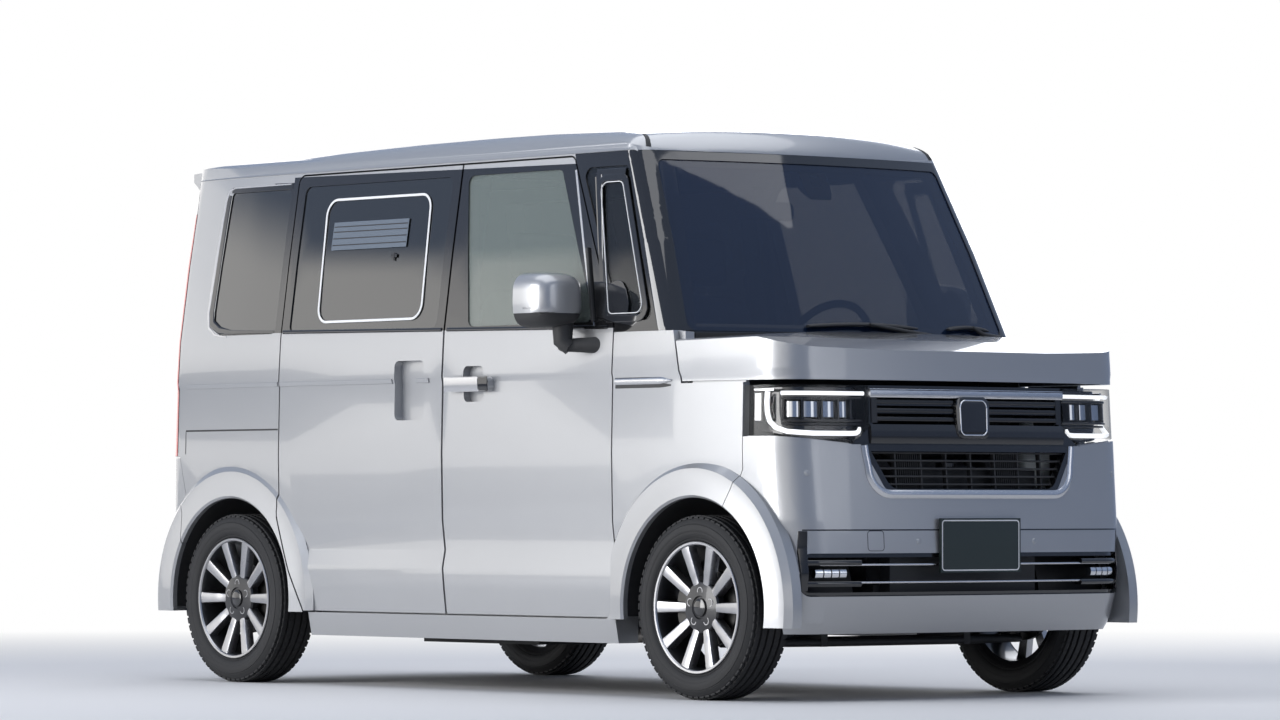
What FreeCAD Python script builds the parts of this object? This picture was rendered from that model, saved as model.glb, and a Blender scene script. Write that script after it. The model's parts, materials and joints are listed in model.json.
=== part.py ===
"""A tall one-box kei car: clamshell bonnet, two hinged front doors, two rear sliding doors and a tailgate.

+X is forward, +Y is the car's left and +Z is up. The origin is on the ground, in the middle of the car's
length and width. All lengths are in millimetres.
"""

import FreeCAD, Part
import math
import os
import re
import Sketcher
from FreeCAD import Placement, Rotation, Vector

DOC = FreeCAD.newDocument("kei_car")
SHEET = DOC.addObject("Spreadsheet::Sheet", "Sizes")

OVERALL_SIZES = {
    "half_length": 1697.5,
    "half_width": 737.5,
    "car_height": 1790.0,
    "cut_overrun": 60.0,
    "panel_gap": 6.0,
    "trim_gap": 3.0,
    "seat_gap": 0.3,
    "least_radius": 2.0,
}

# Each level of the body skin is a rounded plan outline: height, half width, nose and tail.
BODY_LEVELS = {
    "chin": (165.0, 690.0, 1612.0, -1628.0),
    "sill": (240.0, 704.0, 1664.0, -1668.0),
    "skirt": (325.0, 714.0, 1686.0, -1690.0),
    "ledge": (390.0, 720.0, 1690.0, -1697.5),
    "waist": (450.0, 709.0, 1689.0, -1697.0),
    "flank": (545.0, 720.0, 1684.0, -1694.0),
    "hip": (760.0, 724.0, 1666.0, -1686.0),
    "crease": (985.0, 719.0, 1655.0, -1681.0),
    "shoulder": (1002.0, 723.0, 1654.0, -1681.0),
    "belt": (1145.0, 715.0, 1650.0, -1677.0),
}

# The cabin front follows the raked windscreen.
CABIN_LEVELS = {
    "cowl": (1080.0, 718.6, 1190.0, -1678.8),
    "scuttle": (1145.0, 715.0, 1160.0, -1677.0),
    "screen": (1400.0, 680.0, 1045.0, -1672.0),
    "header": (1694.0, 634.0, 896.0, -1656.0),
    "brow": (1830.0, 613.0, 832.0, -1650.0),
}

PLAN_SIZES = {
    "nose_radius": 4300.0,
    "nose_corner": 135.0,
    "screen_radius": 2700.0,
    "screen_corner": 75.0,
    "flank_radius": 9500.0,
    "flank_bend": 900.0,
    "tail_radius": 6500.0,
    "tail_corner": 110.0,
}

PANEL_SIZES = {
    "door_thick": 48.0,
    "wall_thick": 60.0,
    "frame_inner": 92.0,
    "frame_lip": 36.0,
    "seal_width": 12.0,
    "seal_root": 3.0,
    "bumper_thick": 40.0,
    "glass_thick": 5.0,
    "glass_sink": 4.0,
    "door_front_x": 797.0,
    "door_split_x": -60.0,
    "door_rear_x": -953.0,
    "door_low_z": 246.0,
    "door_top_z": 1686.0,
    "door_nose_top_x": 505.0,
    "split_gap": 9.0,
    "door_inset": 12.0,
    "door_skin": 14.0,
    "belt_line_z": 1150.0,
    "window_top_z": 1650.0,
    "door_corner": 26.0,
    "window_corner": 26.0,
    "window_post": 40.0,
    "window_sill": 12.0,
    "quarter_post": 34.0,
    "front_glass_low_x": 700.0,
    "front_glass_top_x": 452.0,
    "front_glass_rear_top_x": -30.0,
    "front_glass_rear_low_x": 60.0,
    "front_quarter_low_x": 826.0,
    "front_quarter_top_x": 556.0,
    "side_low_z": 241.0,
    "frame_front_reach": 20.0,
    "roof_low_z": 1697.0,
    "roof_front_z": 1690.0,
    "roof_peak_x": 60.0,
    "roof_rear_z": 1728.0,
    "roof_edge_z": 1700.0,
    "roof_turn": 14.0,
    "roof_turn_rise": 26.0,
    "roof_shoulder": 46.0,
    "roof_shoulder_rise": 46.0,
    "roof_thick": 40.0,
    "quarter_rear_low_x": -1375.0,
    "quarter_rear_top_x": -1350.0,
    "quarter_corner": 70.0,
    "heel_high_z": 560.0,
    "heel_mid_x": -880.0,
    "heel_mid_z": 378.0,
    "heel_low_x": -806.0,
    "screen_low_z": 1128.0,
    "screen_top_z": 1668.0,
    "screen_low_half": 655.0,
    "screen_top_half": 580.0,
    "pillar_low_x": 988.0,
    "pillar_top_x": 782.0,
}

WHEEL_SIZES = {
    "front_axle_x": 1200.0,
    "rear_axle_x": -1220.0,
    "tyre_radius": 281.5,
    "tyre_width": 160.0,
    "tyre_shoulder": 22.0,
    "tyre_bulge": 6.0,
    "rim_radius": 192.0,
    "rim_lip": 10.0,
    "rim_flange": 8.0,
    "rim_seat": 30.0,
    "hub_dish": 6.0,
    "hub_overlap": 8.0,
    "tyre_bead": 8.0,
    "rim_well_radius": 172.0,
    "rim_wall": 7.0,
    "rim_width": 138.0,
    "spoke_count": 10.0,
    "spoke_root_width": 26.0,
    "spoke_tip_width": 44.0,
    "spoke_depth": 22.0,
    "spoke_set_back": 12.0,
    "hub_radius": 74.0,
    "hub_depth": 40.0,
    "hub_bore_radius": 28.0,
    "hub_cap_thick": 9.0,
    "lug_circle_radius": 50.0,
    "lug_count": 4.0,
    "lug_hole_radius": 12.0,
    "arch_radius": 335.0,
    "flare_radius": 446.0,
    "flare_step": 22.0,
    "flare_band": 40.0,
    "flare_turn": 7.0,
    "flare_root": 60.0,
    "flare_lip": 24.0,
    "arch_low_z": 225.0,
    "liner_radius": 346.0,
    "liner_thick": 5.0,
    "liner_notch": 22.0,
    "front_liner_inner": 385.0,
    "rear_liner_inner": 470.0,
    "liner_low_z": 250.0,
}

NOSE_SIZES = {
    "bonnet_low_z": 971.0,
    "bonnet_front_top_z": 1062.0,
    "bonnet_rear_z": 1128.0,
    "bonnet_rear_x": 1093.0,
    "bonnet_heel_x": 1134.0,
    "bonnet_crown_reach": 200.0,
    "bonnet_brow_x": 1640.0,
    "bonnet_mid_x": 1400.0,
    "bonnet_mid_z": 1112.0,
    "bonnet_edge_z": 1060.0,
    "bonnet_turn": 10.0,
    "bonnet_turn_rise": 24.0,
    "bonnet_shoulder": 42.0,
    "bonnet_shoulder_rise": 42.0,
    "bonnet_thick": 30.0,
    "bonnet_edge": 34.0,
    "bonnet_bow_radius": 2040.0,
    "bonnet_bow_x": 1215.0,
    "fender_thick": 26.0,
    "cowl_front_half": 640.0,
    "cowl_rear_x": 1000.0,
    "lamp_cut_half": 470.0,
    "lamp_cut_z": 832.0,
    "seam_top_z": 700.0,
    "seam_foot_x": 1322.0,
    "seam_foot_z": 545.0,
    "frame_width": 12.0,
    "upper_slats": 3.0,
    "lower_slats": 6.0,
    "grille_posts": 7.0,
    "slat_height": 10.0,
    "post_width": 7.0,
    "chrome_height": 20.0,
    "band_depth": 10.0,
    "plate_width": 330.0,
    "plate_height": 165.0,
    "plate_low_z": 388.0,
    "lamp_low_z": 780.0,
    "lamp_outer_low_z": 812.0,
    "lamp_inner_half": 400.0,
    "lamp_depth": 120.0,
    "lamp_sink": 4.0,
    "grille_top_z": 955.0,
    "mid_grille_low_z": 622.0,
    "mid_grille_top_z": 776.0,
    "mid_grille_half": 440.0,
    "mid_grille_low_half": 345.0,
    "mid_grille_corner": 70.0,
    "chrome_width": 20.0,
    "slot_low_z": 318.0,
    "slot_top_z": 448.0,
    "slot_half": 655.0,
    "slot_corner": 30.0,
    "grille_bar": 9.0,
    "grille_depth": 30.0,
    "bumper_seam_x": 1408.0,
    "bumper_low_z": 205.0,
    "badge_half": 42.0,
    "badge_low_z": 800.0,
    "badge_top_z": 905.0,
}

TAIL_SIZES = {
    "gate_half_low": 560.0,
    "gate_low_z": 610.0,
    "gate_thick": 60.0,
    "gate_edge_x": -1628.0,
    "gate_front_x": -1560.0,
    "header_low_z": 1684.0,
    "gate_corner": 40.0,
    "gate_glass_low_z": 1150.0,
    "gate_glass_top_z": 1620.0,
    "gate_glass_half": 500.0,
    "gate_cut_x": -1450.0,
    "spoiler_tip_x": -1694.0,
    "spoiler_tip_z": 1700.0,
    "spoiler_low_z": 1672.0,
    "spoiler_half": 548.0,
    "tail_lamp_low_z": 758.0,
    "tail_lamp_depth": 60.0,
    "tail_lamp_top_z": 1585.0,
    "tail_lamp_x": -1612.0,
    "tail_bumper_low_z": 235.0,
    "tail_bumper_x": -1500.0,
    "tail_bumper_side_z": 752.0,
    "tail_seam_x": -1556.0,
}

CABIN_SIZES = {
    "floor_z": 215.0,
    "floor_thick": 30.0,
    "floor_front_x": 1000.0,
    "floor_step_x": -830.0,
    "load_floor_z": 440.0,
    "load_floor_rear_x": -1596.0,
    "firewall_thick": 24.0,
    "firewall_top_z": 1080.0,
    "dash_low_z": 660.0,
    "dash_top_z": 1116.0,
    "dash_face_x": 700.0,
    "dash_brow_x": 742.0,
    "dash_knee_x": 800.0,
    "dash_face_z": 1040.0,
    "dash_knee_z": 840.0,
    "dash_half": 600.0,
    "seat_width": 490.0,
    "seat_cushion_low_z": 640.0,
    "seat_cushion_top_z": 785.0,
    "seat_front_x": 540.0,
    "seat_back_x": 80.0,
    "seat_back_top_z": 1300.0,
    "seat_back_thick": 105.0,
    "seat_recline": 105.0,
    "seat_soft_corner": 38.0,
    "seat_centre_y": 320.0,
    "seat_base_width": 330.0,
    "seat_base_inset": 70.0,
    "headrest_width": 250.0,
    "headrest_low_z": 1318.0,
    "headrest_top_z": 1476.0,
    "headrest_thick": 84.0,
    "headrest_x": -8.0,
    "headrest_post": 7.0,
    "headrest_spread": 60.0,
    "rear_seat_shift": 850.0,
    "rear_seat_drop": 30.0,
    "rear_seat_width": 1080.0,
    "rear_seat_centre_y": 280.0,
    "steer_centre_x": 600.0,
    "steer_centre_y": 320.0,
    "steer_centre_z": 1084.0,
    "steer_angle": 28.0,
    "steer_radius": 178.0,
    "steer_grip": 14.0,
    "steer_hub_radius": 62.0,
    "steer_hub_thick": 46.0,
    "steer_spoke_width": 34.0,
    "steer_spoke_thick": 14.0,
    "column_radius": 16.0,
    "column_fit": 0.2,
    "shroud_radius": 44.0,
    "shroud_gap": 5.5,
    "shroud_length": 150.0,
}

UNDER_SIZES = {
    "engine_rear_x": 1110.0,
    "engine_length": 360.0,
    "engine_low_z": 260.0,
    "engine_height": 470.0,
    "radiator_x": 1570.0,
    "radiator_thick": 46.0,
    "radiator_half": 300.0,
    "radiator_low_z": 300.0,
    "radiator_top_z": 700.0,
    "rail_width": 60.0,
    "rail_height": 90.0,
    "rail_y": 296.0,
    "tank_length": 620.0,
    "tank_width": 560.0,
    "tank_height": 76.0,
    "tank_front_x": -120.0,
    "pipe_radius": 21.0,
    "pipe_z": 180.0,
    "pipe_y": 330.0,
    "pipe_rise": 80.0,
    "pipe_drop": 56.0,
    "silencer_length": 420.0,
    "silencer_radius": 72.0,
    "silencer_x": -1450.0,
    "silencer_z": 300.0,
    "tail_pipe_x": -1668.0,
    "beam_radius": 36.0,
    "beam_half": 545.0,
    "arm_radius": 24.0,
    "arm_y": 420.0,
    "bush_radius": 30.0,
    "bush_half": 34.0,
    "spring_radius": 48.0,
    "spring_x": -1150.0,
    "hub_shaft_radius": 27.95,
    "track_half": 648.0,
    "king_pin_y": 616.0,
    "knuckle_half_x": 34.0,
    "knuckle_thick": 40.0,
    "knuckle_half_z": 92.0,
    "steer_arm_reach": 120.0,
    "steer_arm_width": 24.0,
    "disc_radius": 118.0,
    "disc_thick": 16.0,
    "disc_gap": 5.4,
    "caliper_thick": 13.0,
    "caliper_reach": 36.0,
    "caliper_half": 48.0,
    "pin_radius": 9.0,
    "pin_depth": 24.0,
    "wishbone_thick": 26.0,
    "wishbone_inner_y": 300.0,
    "wishbone_spread": 98.0,
    "joint_clearance": 5.5,
    "strut_radius": 28.0,
    "strut_y": 356.0,
    "strut_top_z": 640.0,
    "flap_top_z": 970.0,
    "flap_low_z": 862.0,
    "flap_front_x": -1090.0,
    "flap_rear_x": -1210.0,
    "flap_thick": 14.0,
    "flap_depth": 50.0,
    "flap_ledge": 12.0,
    "mirror_length": 150.0,
    "mirror_width": 190.0,
    "mirror_height": 176.0,
    "mirror_x": 470.0,
    "mirror_y": 835.0,
    "mirror_low_z": 1148.0,
    "mirror_corner": 58.0,
    "mirror_round": 50.0,
    "mirror_foot_x": 590.0,
    "mirror_foot_width": 70.0,
    "mirror_foot_z": 1100.0,
    "handle_rear_x": -27.0,
    "handle_front_x": 202.0,
    "handle_low_z": 955.0,
    "handle_top_z": 1000.0,
    "handle_corner": 18.0,
    "handle_stand": 24.0,
    "handle_thick": 15.0,
    "handle_root": 6.0,
    "handle_foot": 44.0,
    "cup_rear_x": 46.0,
    "cup_front_x": 150.0,
    "cup_low_z": 922.0,
    "cup_top_z": 1036.0,
    "cup_depth": 26.0,
    "cup_corner": 20.0,
    "pocket_rear_x": -320.0,
    "pocket_front_x": -164.0,
    "pocket_low_z": 867.0,
    "pocket_top_z": 1059.0,
    "pocket_depth": 32.0,
}

LOWER_LEVELS = ["chin", "sill", "skirt", "ledge", "waist", "flank", "hip", "crease", "shoulder", "belt"]
SLOT_BAR_SHARES = (0.36, 0.68)
NODES = []

ALL_SIZES = {}
for table in (OVERALL_SIZES, PLAN_SIZES, PANEL_SIZES, WHEEL_SIZES, NOSE_SIZES, TAIL_SIZES, CABIN_SIZES,
              UNDER_SIZES):
    ALL_SIZES.update(table)
for levels in (BODY_LEVELS, CABIN_LEVELS):
    for level_name, row in levels.items():
        for part_name, value in zip(("z", "half", "nose", "tail"), row):
            ALL_SIZES[level_name + "_" + part_name] = value


def fill_sheet():
    """Write every size into the spreadsheet under its own alias."""
    for row, (alias, value) in enumerate(ALL_SIZES.items(), start=1):
        SHEET.set("A%d" % row, alias)
        SHEET.set("B%d" % row, str(value))
        SHEET.setAlias("B%d" % row, alias)
    DOC.addObject("Part::Box", "Probe")
    DOC.recompute()


def size(alias):
    """One size, read back from the sheet."""
    return float(SHEET.get(alias))


def add_feature(label, shape):
    """A named sub-part whose shape is set directly."""
    feature = DOC.addObject("Part::Feature", label)
    feature.Label = label
    feature.Shape = shape
    NODES.append(feature)
    return feature


# Plan outlines and skins

def unit(vector):
    """The vector's direction."""
    length = math.hypot(vector.x, vector.y)
    return Vector(vector.x / length, vector.y / length, 0)


def circles_meet(first, first_radius, second, second_radius):
    """The crossing of two circles that lies on the +Y side."""
    span = second.sub(first)
    distance = math.hypot(span.x, span.y)
    along = (first_radius ** 2 - second_radius ** 2 + distance ** 2) / (2 * distance)
    across = math.sqrt(first_radius ** 2 - along ** 2)
    direction = unit(span)
    foot = first + direction * along
    choices = [foot + Vector(-direction.y, direction.x, 0) * across,
               foot - Vector(-direction.y, direction.x, 0) * across]
    return max(choices, key=lambda point: point.y)


def end_points(half, end, sign, end_radius, corner, side_radius, bend, inset):
    """The outline's points round one +Y corner, from the middle of the end to the straight side."""
    middle = Vector(end - sign * end_radius, 0, 0)
    round_radius = corner - inset
    if side_radius:
        side = Vector(sign * bend, half - side_radius, 0)
        centre_points = circles_meet(middle, end_radius - corner, side, side_radius - corner)
        side_touch = side + unit(centre_points.sub(side)) * (side_radius - inset)
        halfway = side + unit(side_touch.sub(side) + Vector(0, side_radius - inset,
                                                            0)) * (side_radius - inset)
        side_start = Vector(sign * bend, half - inset, 0)
    else:
        reach = math.sqrt((end_radius - corner) ** 2 - (half - corner) ** 2)
        centre_points = Vector(middle.x + sign * reach, half - corner, 0)
        side_touch = Vector(centre_points.x, half - inset, 0)
        halfway = None
        side_start = None
    end_touch = middle + unit(centre_points.sub(middle)) * (end_radius - inset)
    corner_middle = centre_points + unit(unit(end_touch.sub(centre_points))
                                         + unit(side_touch.sub(centre_points))) * round_radius
    tip = Vector(end - sign * inset, 0, 0)
    return tip, end_touch, corner_middle, side_touch, halfway, side_start


def mirrored(point):
    """The same point on the -Y side."""
    return Vector(point.x, -point.y, point.z)


def plan_wire(level, inset, raked):
    """A closed rounded outline at one level, moved inwards by the inset."""
    height, half, nose, tail = (size(level + "_" + name) for name in ("z", "half", "nose", "tail"))
    if raked:
        front = end_points(half, nose, 1, size("screen_radius"), size("screen_corner"), 0, 0, inset)
    else:
        front = end_points(half, nose, 1, size("nose_radius"), size("nose_corner"), size("flank_radius"),
                           size("flank_bend"), inset)
    rear = end_points(half, tail, -1, size("tail_radius"), size("tail_corner"), size("flank_radius"),
                      size("flank_bend"), inset)
    lift = Vector(0, 0, height)
    edges = []

    def arc(first, middle, last):
        edges.append(Part.Arc(first + lift, middle + lift, last + lift).toShape())

    def line(first, last):
        edges.append(Part.LineSegment(first + lift, last + lift).toShape())

    tip, end_touch, corner_middle, side_touch, halfway, side_start = front
    tail_tip, tail_touch, tail_middle, tail_side, tail_half, tail_start = rear
    arc(mirrored(end_touch), tip, end_touch)
    arc(end_touch, corner_middle, side_touch)
    left_start = side_touch
    if halfway:
        arc(side_touch, halfway, side_start)
        left_start = side_start
    line(left_start, tail_start)
    arc(tail_start, tail_half, tail_side)
    arc(tail_side, tail_middle, tail_touch)
    arc(tail_touch, tail_tip, mirrored(tail_touch))
    arc(mirrored(tail_touch), mirrored(tail_middle), mirrored(tail_side))
    arc(mirrored(tail_side), mirrored(tail_half), mirrored(tail_start))
    line(mirrored(tail_start), mirrored(left_start))
    if halfway:
        arc(mirrored(side_start), mirrored(halfway), mirrored(side_touch))
    arc(mirrored(side_touch), mirrored(corner_middle), mirrored(end_touch))
    return Part.Wire(edges)


SKINS = {}
WALLS = {}


def skin(kind, inset):
    """The solid inside the body skin, moved inwards by the inset. Kind is lower or upper."""
    key = (kind, inset)
    if key not in SKINS:
        if kind == "lower":
            levels, raked = LOWER_LEVELS, False
        else:
            levels, raked = list(CABIN_LEVELS), True
        wires = [plan_wire(level, inset, raked) for level in levels]
        SKINS[key] = Part.makeLoft(wires, True, True)
    return SKINS[key]


def wall(kind, outer, inner):
    """The wall between two insets of the skin."""
    key = (kind, outer, inner)
    if key not in WALLS:
        WALLS[key] = skin(kind, outer).cut(skin(kind, inner))
    return WALLS[key]


def front_wall(outer, inner):
    """The front end of a lower wall, between two insets."""
    key = ("front", outer, inner)
    if key not in WALLS:
        reach = size("half_length") + size("cut_overrun")
        half = size("half_width") + size("cut_overrun")
        zone = box(size("front_axle_x"), reach, -half, half, 0, size("bonnet_low_z"))
        WALLS[key] = wall("lower", outer, inner).common(zone)
    return WALLS[key]


# Prisms

def rounded_face(points, place):
    """A face with rounded corners. Each point is two coordinates and a corner radius."""
    count = len(points)
    corners = []
    for index in range(count):
        before = Vector(*points[index - 1][:2], 0)
        here = Vector(*points[index][:2], 0)
        after = Vector(*points[(index + 1) % count][:2], 0)
        radius = points[index][2]
        first = unit(before.sub(here))
        second = unit(after.sub(here))
        angle = math.acos(max(-1, min(1, first.dot(second))))
        reach = radius / math.tan(angle / 2) if radius else 0
        start = here + first * reach
        end = here + second * reach
        middle = None
        if radius:
            centre = here + unit(first + second) * (radius / math.sin(angle / 2))
            middle = centre + unit(here.sub(centre)) * radius
        corners.append((start, middle, end))
    edges = []
    for index in range(count):
        start, middle, end = corners[index]
        following = corners[(index + 1) % count][0]
        if middle is not None:
            edges.append(Part.Arc(place(start), place(middle), place(end)).toShape())
        if end.sub(following).Length > 1e-6:
            edges.append(Part.LineSegment(place(end), place(following)).toShape())
    return Part.Face(Part.Wire(edges))


def moved_outline(points, distance):
    """The polygon moved outwards by a distance, its corner radii with it. Negative moves inwards."""
    count = len(points)
    area = sum(points[i - 1][0] * points[i][1] - points[i][0] * points[i - 1][1] for i in range(count))
    turn = 1 if area > 0 else -1
    result = []
    for index in range(count):
        before, here, after = (Vector(*points[k % count][:2], 0) for k in (index - 1, index, index + 1))
        first = unit(here.sub(before))
        second = unit(after.sub(here))
        first_out = Vector(first.y, -first.x, 0) * turn
        second_out = Vector(second.y, -second.x, 0) * turn
        bisector = first_out + second_out
        corner = here + bisector * (distance * 2 / bisector.dot(bisector))
        bend = first.cross(second).z * turn
        radius = points[index][2]
        if radius:
            radius = max(radius + (distance if bend > 0 else -distance), size("least_radius"))
        result.append((corner.x, corner.y, radius))
    return result


def side_prism(points, first_y, last_y):
    """An outline in length and height, drawn through the car's width."""
    face = rounded_face(points, lambda p: Vector(p.x, first_y, p.y))
    return face.extrude(Vector(0, last_y - first_y, 0))


def front_prism(points, first_x, last_x):
    """An outline in width and height, drawn through the car's length."""
    face = rounded_face(points, lambda p: Vector(first_x, p.x, p.y))
    return face.extrude(Vector(last_x - first_x, 0, 0))


def box(low_x, high_x, low_y, high_y, low_z, high_z):
    """A box between two corners."""
    return Part.makeBox(high_x - low_x, high_y - low_y, high_z - low_z, Vector(low_x, low_y, low_z))


def rod(first, last, radius):
    """A round bar between two points."""
    span = last.sub(first)
    return Part.makeCylinder(radius, span.Length, first, span)


def cross_cylinder(centre_x, centre_z, radius, first_y, last_y):
    """A cylinder that lies across the car."""
    return Part.makeCylinder(radius, last_y - first_y, Vector(centre_x, first_y, centre_z), Vector(0, 1, 0))


def joined(shapes):
    """One shape from several that overlap or touch."""
    result = shapes[0]
    if len(shapes) > 1:
        result = result.multiFuse(shapes[1:])
    return result.removeSplitter()


def left_copy(shape):
    """The shape mirrored to the car's left side."""
    return shape.mirror(Vector(0, 0, 0), Vector(0, 1, 0))


def both_sides(shape):
    """The right-hand solids with their left-hand copies, which don't touch."""
    return Part.makeCompound(shape.Solids + left_copy(shape).Solids)


# The door, window and panel outlines, in length and height

def front_door_outline():
    """The front door, seen from the side."""
    rear = size("door_split_x")
    round_off = size("door_corner")
    return [(size("door_front_x"), size("door_low_z"), round_off),
            (size("door_front_x"), size("belt_line_z"), round_off),
            (size("door_nose_top_x"), size("door_top_z"), round_off),
            (rear, size("door_top_z"), 0), (rear, size("door_low_z"), 0)]


def sliding_door_outline():
    """The sliding door, with its heel cut round the rear wheel."""
    front = size("door_split_x") - size("split_gap")
    round_off = size("door_corner")
    return [(front, size("door_low_z"), 0), (front, size("door_top_z"), 0),
            (size("door_rear_x"), size("door_top_z"), round_off),
            (size("door_rear_x"), size("heel_high_z"), size("quarter_corner")),
            (size("heel_mid_x"), size("heel_mid_z"), size("quarter_corner")),
            (size("heel_low_x"), size("door_low_z"), 0)]


def front_window_outline():
    """The drop glass in the front door."""
    round_off = size("window_corner")
    return [(size("front_glass_low_x"), size("belt_line_z") + size("window_sill"), round_off),
            (size("front_glass_top_x"), size("window_top_z"), round_off),
            (size("front_glass_rear_top_x"), size("window_top_z"), round_off),
            (size("front_glass_rear_low_x"), size("belt_line_z") + size("window_sill"), round_off)]


def sliding_window_outline():
    """The privacy glass in the sliding door."""
    round_off = size("window_corner")
    front = size("door_split_x") - size("split_gap") - size("window_post")
    rear = size("door_rear_x") + size("window_post")
    low = size("belt_line_z") + size("window_sill")
    return [(front, low, round_off), (front, size("window_top_z"), round_off),
            (rear, size("window_top_z"), round_off), (rear, low, round_off)]


def rear_quarter_outline():
    """The quarter glass behind the sliding door, its lower rear corner well rounded."""
    round_off = size("window_corner")
    front = size("door_rear_x") - size("panel_gap") - size("quarter_post")
    low = size("belt_line_z") + size("window_sill")
    return [(front, low, round_off), (front, size("window_top_z"), round_off),
            (size("quarter_rear_top_x"), size("window_top_z"), round_off),
            (size("quarter_rear_low_x"), low, size("quarter_corner"))]


def front_quarter_outline():
    """The fixed light between the front door and the windscreen pillar."""
    round_off = size("window_corner")
    low = size("belt_line_z") + size("window_sill")
    return [(size("front_quarter_low_x"), low, round_off),
            (size("front_quarter_top_x"), size("window_top_z"), round_off),
            (size("pillar_top_x"), size("window_top_z"), round_off),
            (size("pillar_low_x"), low, round_off)]


def screen_outline():
    """The windscreen, seen from the front."""
    round_off = size("window_corner")
    return [(-size("screen_low_half"), size("screen_low_z"), round_off),
            (size("screen_low_half"), size("screen_low_z"), round_off),
            (size("screen_top_half"), size("screen_top_z"), round_off),
            (-size("screen_top_half"), size("screen_top_z"), round_off)]


# Arches, roof and bonnet surfaces

def flare(axle_x):
    """The swollen ring round one right-hand wheel opening."""
    opening = size("arch_radius")
    outer = size("flare_radius")
    root = -(size("half_width") - size("flare_root"))
    top = -size("half_width")
    skin_y = -size("ledge_half") + size("flare_turn")
    profile = [(opening, root), (opening, top + size("flare_turn")), (opening + size("flare_turn"), top),
               (outer - size("flare_band"), top + size("flare_turn")),
               (outer - size("flare_step"), top + size("flare_turn")),
               (outer, skin_y), (outer, root)]
    wire = Part.makePolygon([Vector(axle_x + r, y, size("tyre_radius")) for r, y in profile + profile[:1]])
    return Part.Face(wire).revolve(Vector(axle_x, 0, size("tyre_radius")), Vector(0, 1, 0), 360)


def lower_body():
    """The lower skin with its wheel flares."""
    if "flared" in SKINS:
        return SKINS["flared"]
    overrun = size("cut_overrun")
    shapes = [skin("lower", 0)]
    floor_cut = box(-size("half_length"), size("half_length"), -size("half_width") - overrun,
                    size("half_width") + overrun,
                    -size("tyre_radius"), size("arch_low_z"))
    for axle in ("front_axle_x", "rear_axle_x"):
        ring = flare(size(axle)).cut(floor_cut)
        shapes += [ring, left_copy(ring)]
    SKINS["flared"] = shapes[0].multiFuse(shapes[1:])
    return SKINS["flared"]


def arch_holes(right_only=False):
    """The openings of the wheel arches, with the room for the liners inside."""
    holes = []
    outside = size("half_width") + size("cut_overrun")
    for axle, inner in (("front_axle_x", "front_liner_inner"), ("rear_axle_x", "rear_liner_inner")):
        centre = size(axle)
        wide = cross_cylinder(centre, size("tyre_radius"), size("arch_radius"), -outside, -size(inner))
        room = cross_cylinder(centre, size("tyre_radius"), size("liner_radius") + size("trim_gap"),
                              -size("half_width") + size("flare_lip"), -size(inner))
        holes += [wide, room]
        if not right_only:
            holes += [left_copy(wide), left_copy(room)]
    return holes


def level_arc(peak, end):
    """An arc in the car's middle plane that leaves the peak level and falls to the end."""
    reach = end.x - peak.x
    fall = peak.z - end.z
    radius = (reach ** 2 + fall ** 2) / (2 * fall)
    angle = math.asin(reach / radius) / 2
    middle = Vector(peak.x + radius * math.sin(angle), 0, peak.z - radius * (1 - math.cos(angle)))
    return Part.Arc(peak, middle, end).toShape()


def roof_solid(drop):
    """Everything under the crowned roof. Drop lowers its surface."""
    overrun = size("cut_overrun")
    front = size("brow_nose") + overrun
    rear = -size("half_length")
    top = size("car_height") - drop
    peak = Vector(size("roof_peak_x"), 0, top)
    front_end = Vector(front, 0, size("roof_front_z") - drop)
    rear_end = Vector(rear, 0, size("roof_rear_z") - drop)
    side_face = Part.Wire([
        Part.LineSegment(Vector(rear, 0, 0), Vector(front, 0, 0)).toShape(),
        Part.LineSegment(Vector(front, 0, 0), front_end).toShape(),
        level_arc(peak, front_end),
        level_arc(peak, rear_end),
        Part.LineSegment(rear_end, Vector(rear, 0, 0)).toShape()])
    half = size("header_half") + size("trim_gap")
    shoulder = half - size("roof_shoulder")
    edge_z = size("roof_edge_z") - drop
    cross = Part.Wire([
        Part.LineSegment(Vector(rear, -half, 0), Vector(rear, half, 0)).toShape(),
        Part.LineSegment(Vector(rear, half, 0), Vector(rear, half, edge_z)).toShape(),
        Part.Arc(Vector(rear, half, edge_z),
                 Vector(rear, half - size("roof_turn"), edge_z + size("roof_turn_rise")),
                 Vector(rear, shoulder, edge_z + size("roof_shoulder_rise"))).toShape(),
        Part.Arc(Vector(rear, shoulder, edge_z + size("roof_shoulder_rise")),
                 Vector(rear, 0, top + size("trim_gap")),
                 Vector(rear, -shoulder, edge_z + size("roof_shoulder_rise"))).toShape(),
        Part.Arc(Vector(rear, -shoulder, edge_z + size("roof_shoulder_rise")),
                 Vector(rear, -half + size("roof_turn"), edge_z + size("roof_turn_rise")),
                 Vector(rear, -half, edge_z)).toShape(),
        Part.LineSegment(Vector(rear, -half, edge_z), Vector(rear, -half, 0)).toShape()])
    width = 2 * size("half_width")
    side = Part.Face(side_face).extrude(Vector(0, width, 0))
    side.translate(Vector(0, -size("half_width"), 0))
    arch = Part.Face(cross).extrude(Vector(front - rear, 0, 0))
    return side.common(arch)


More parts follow.
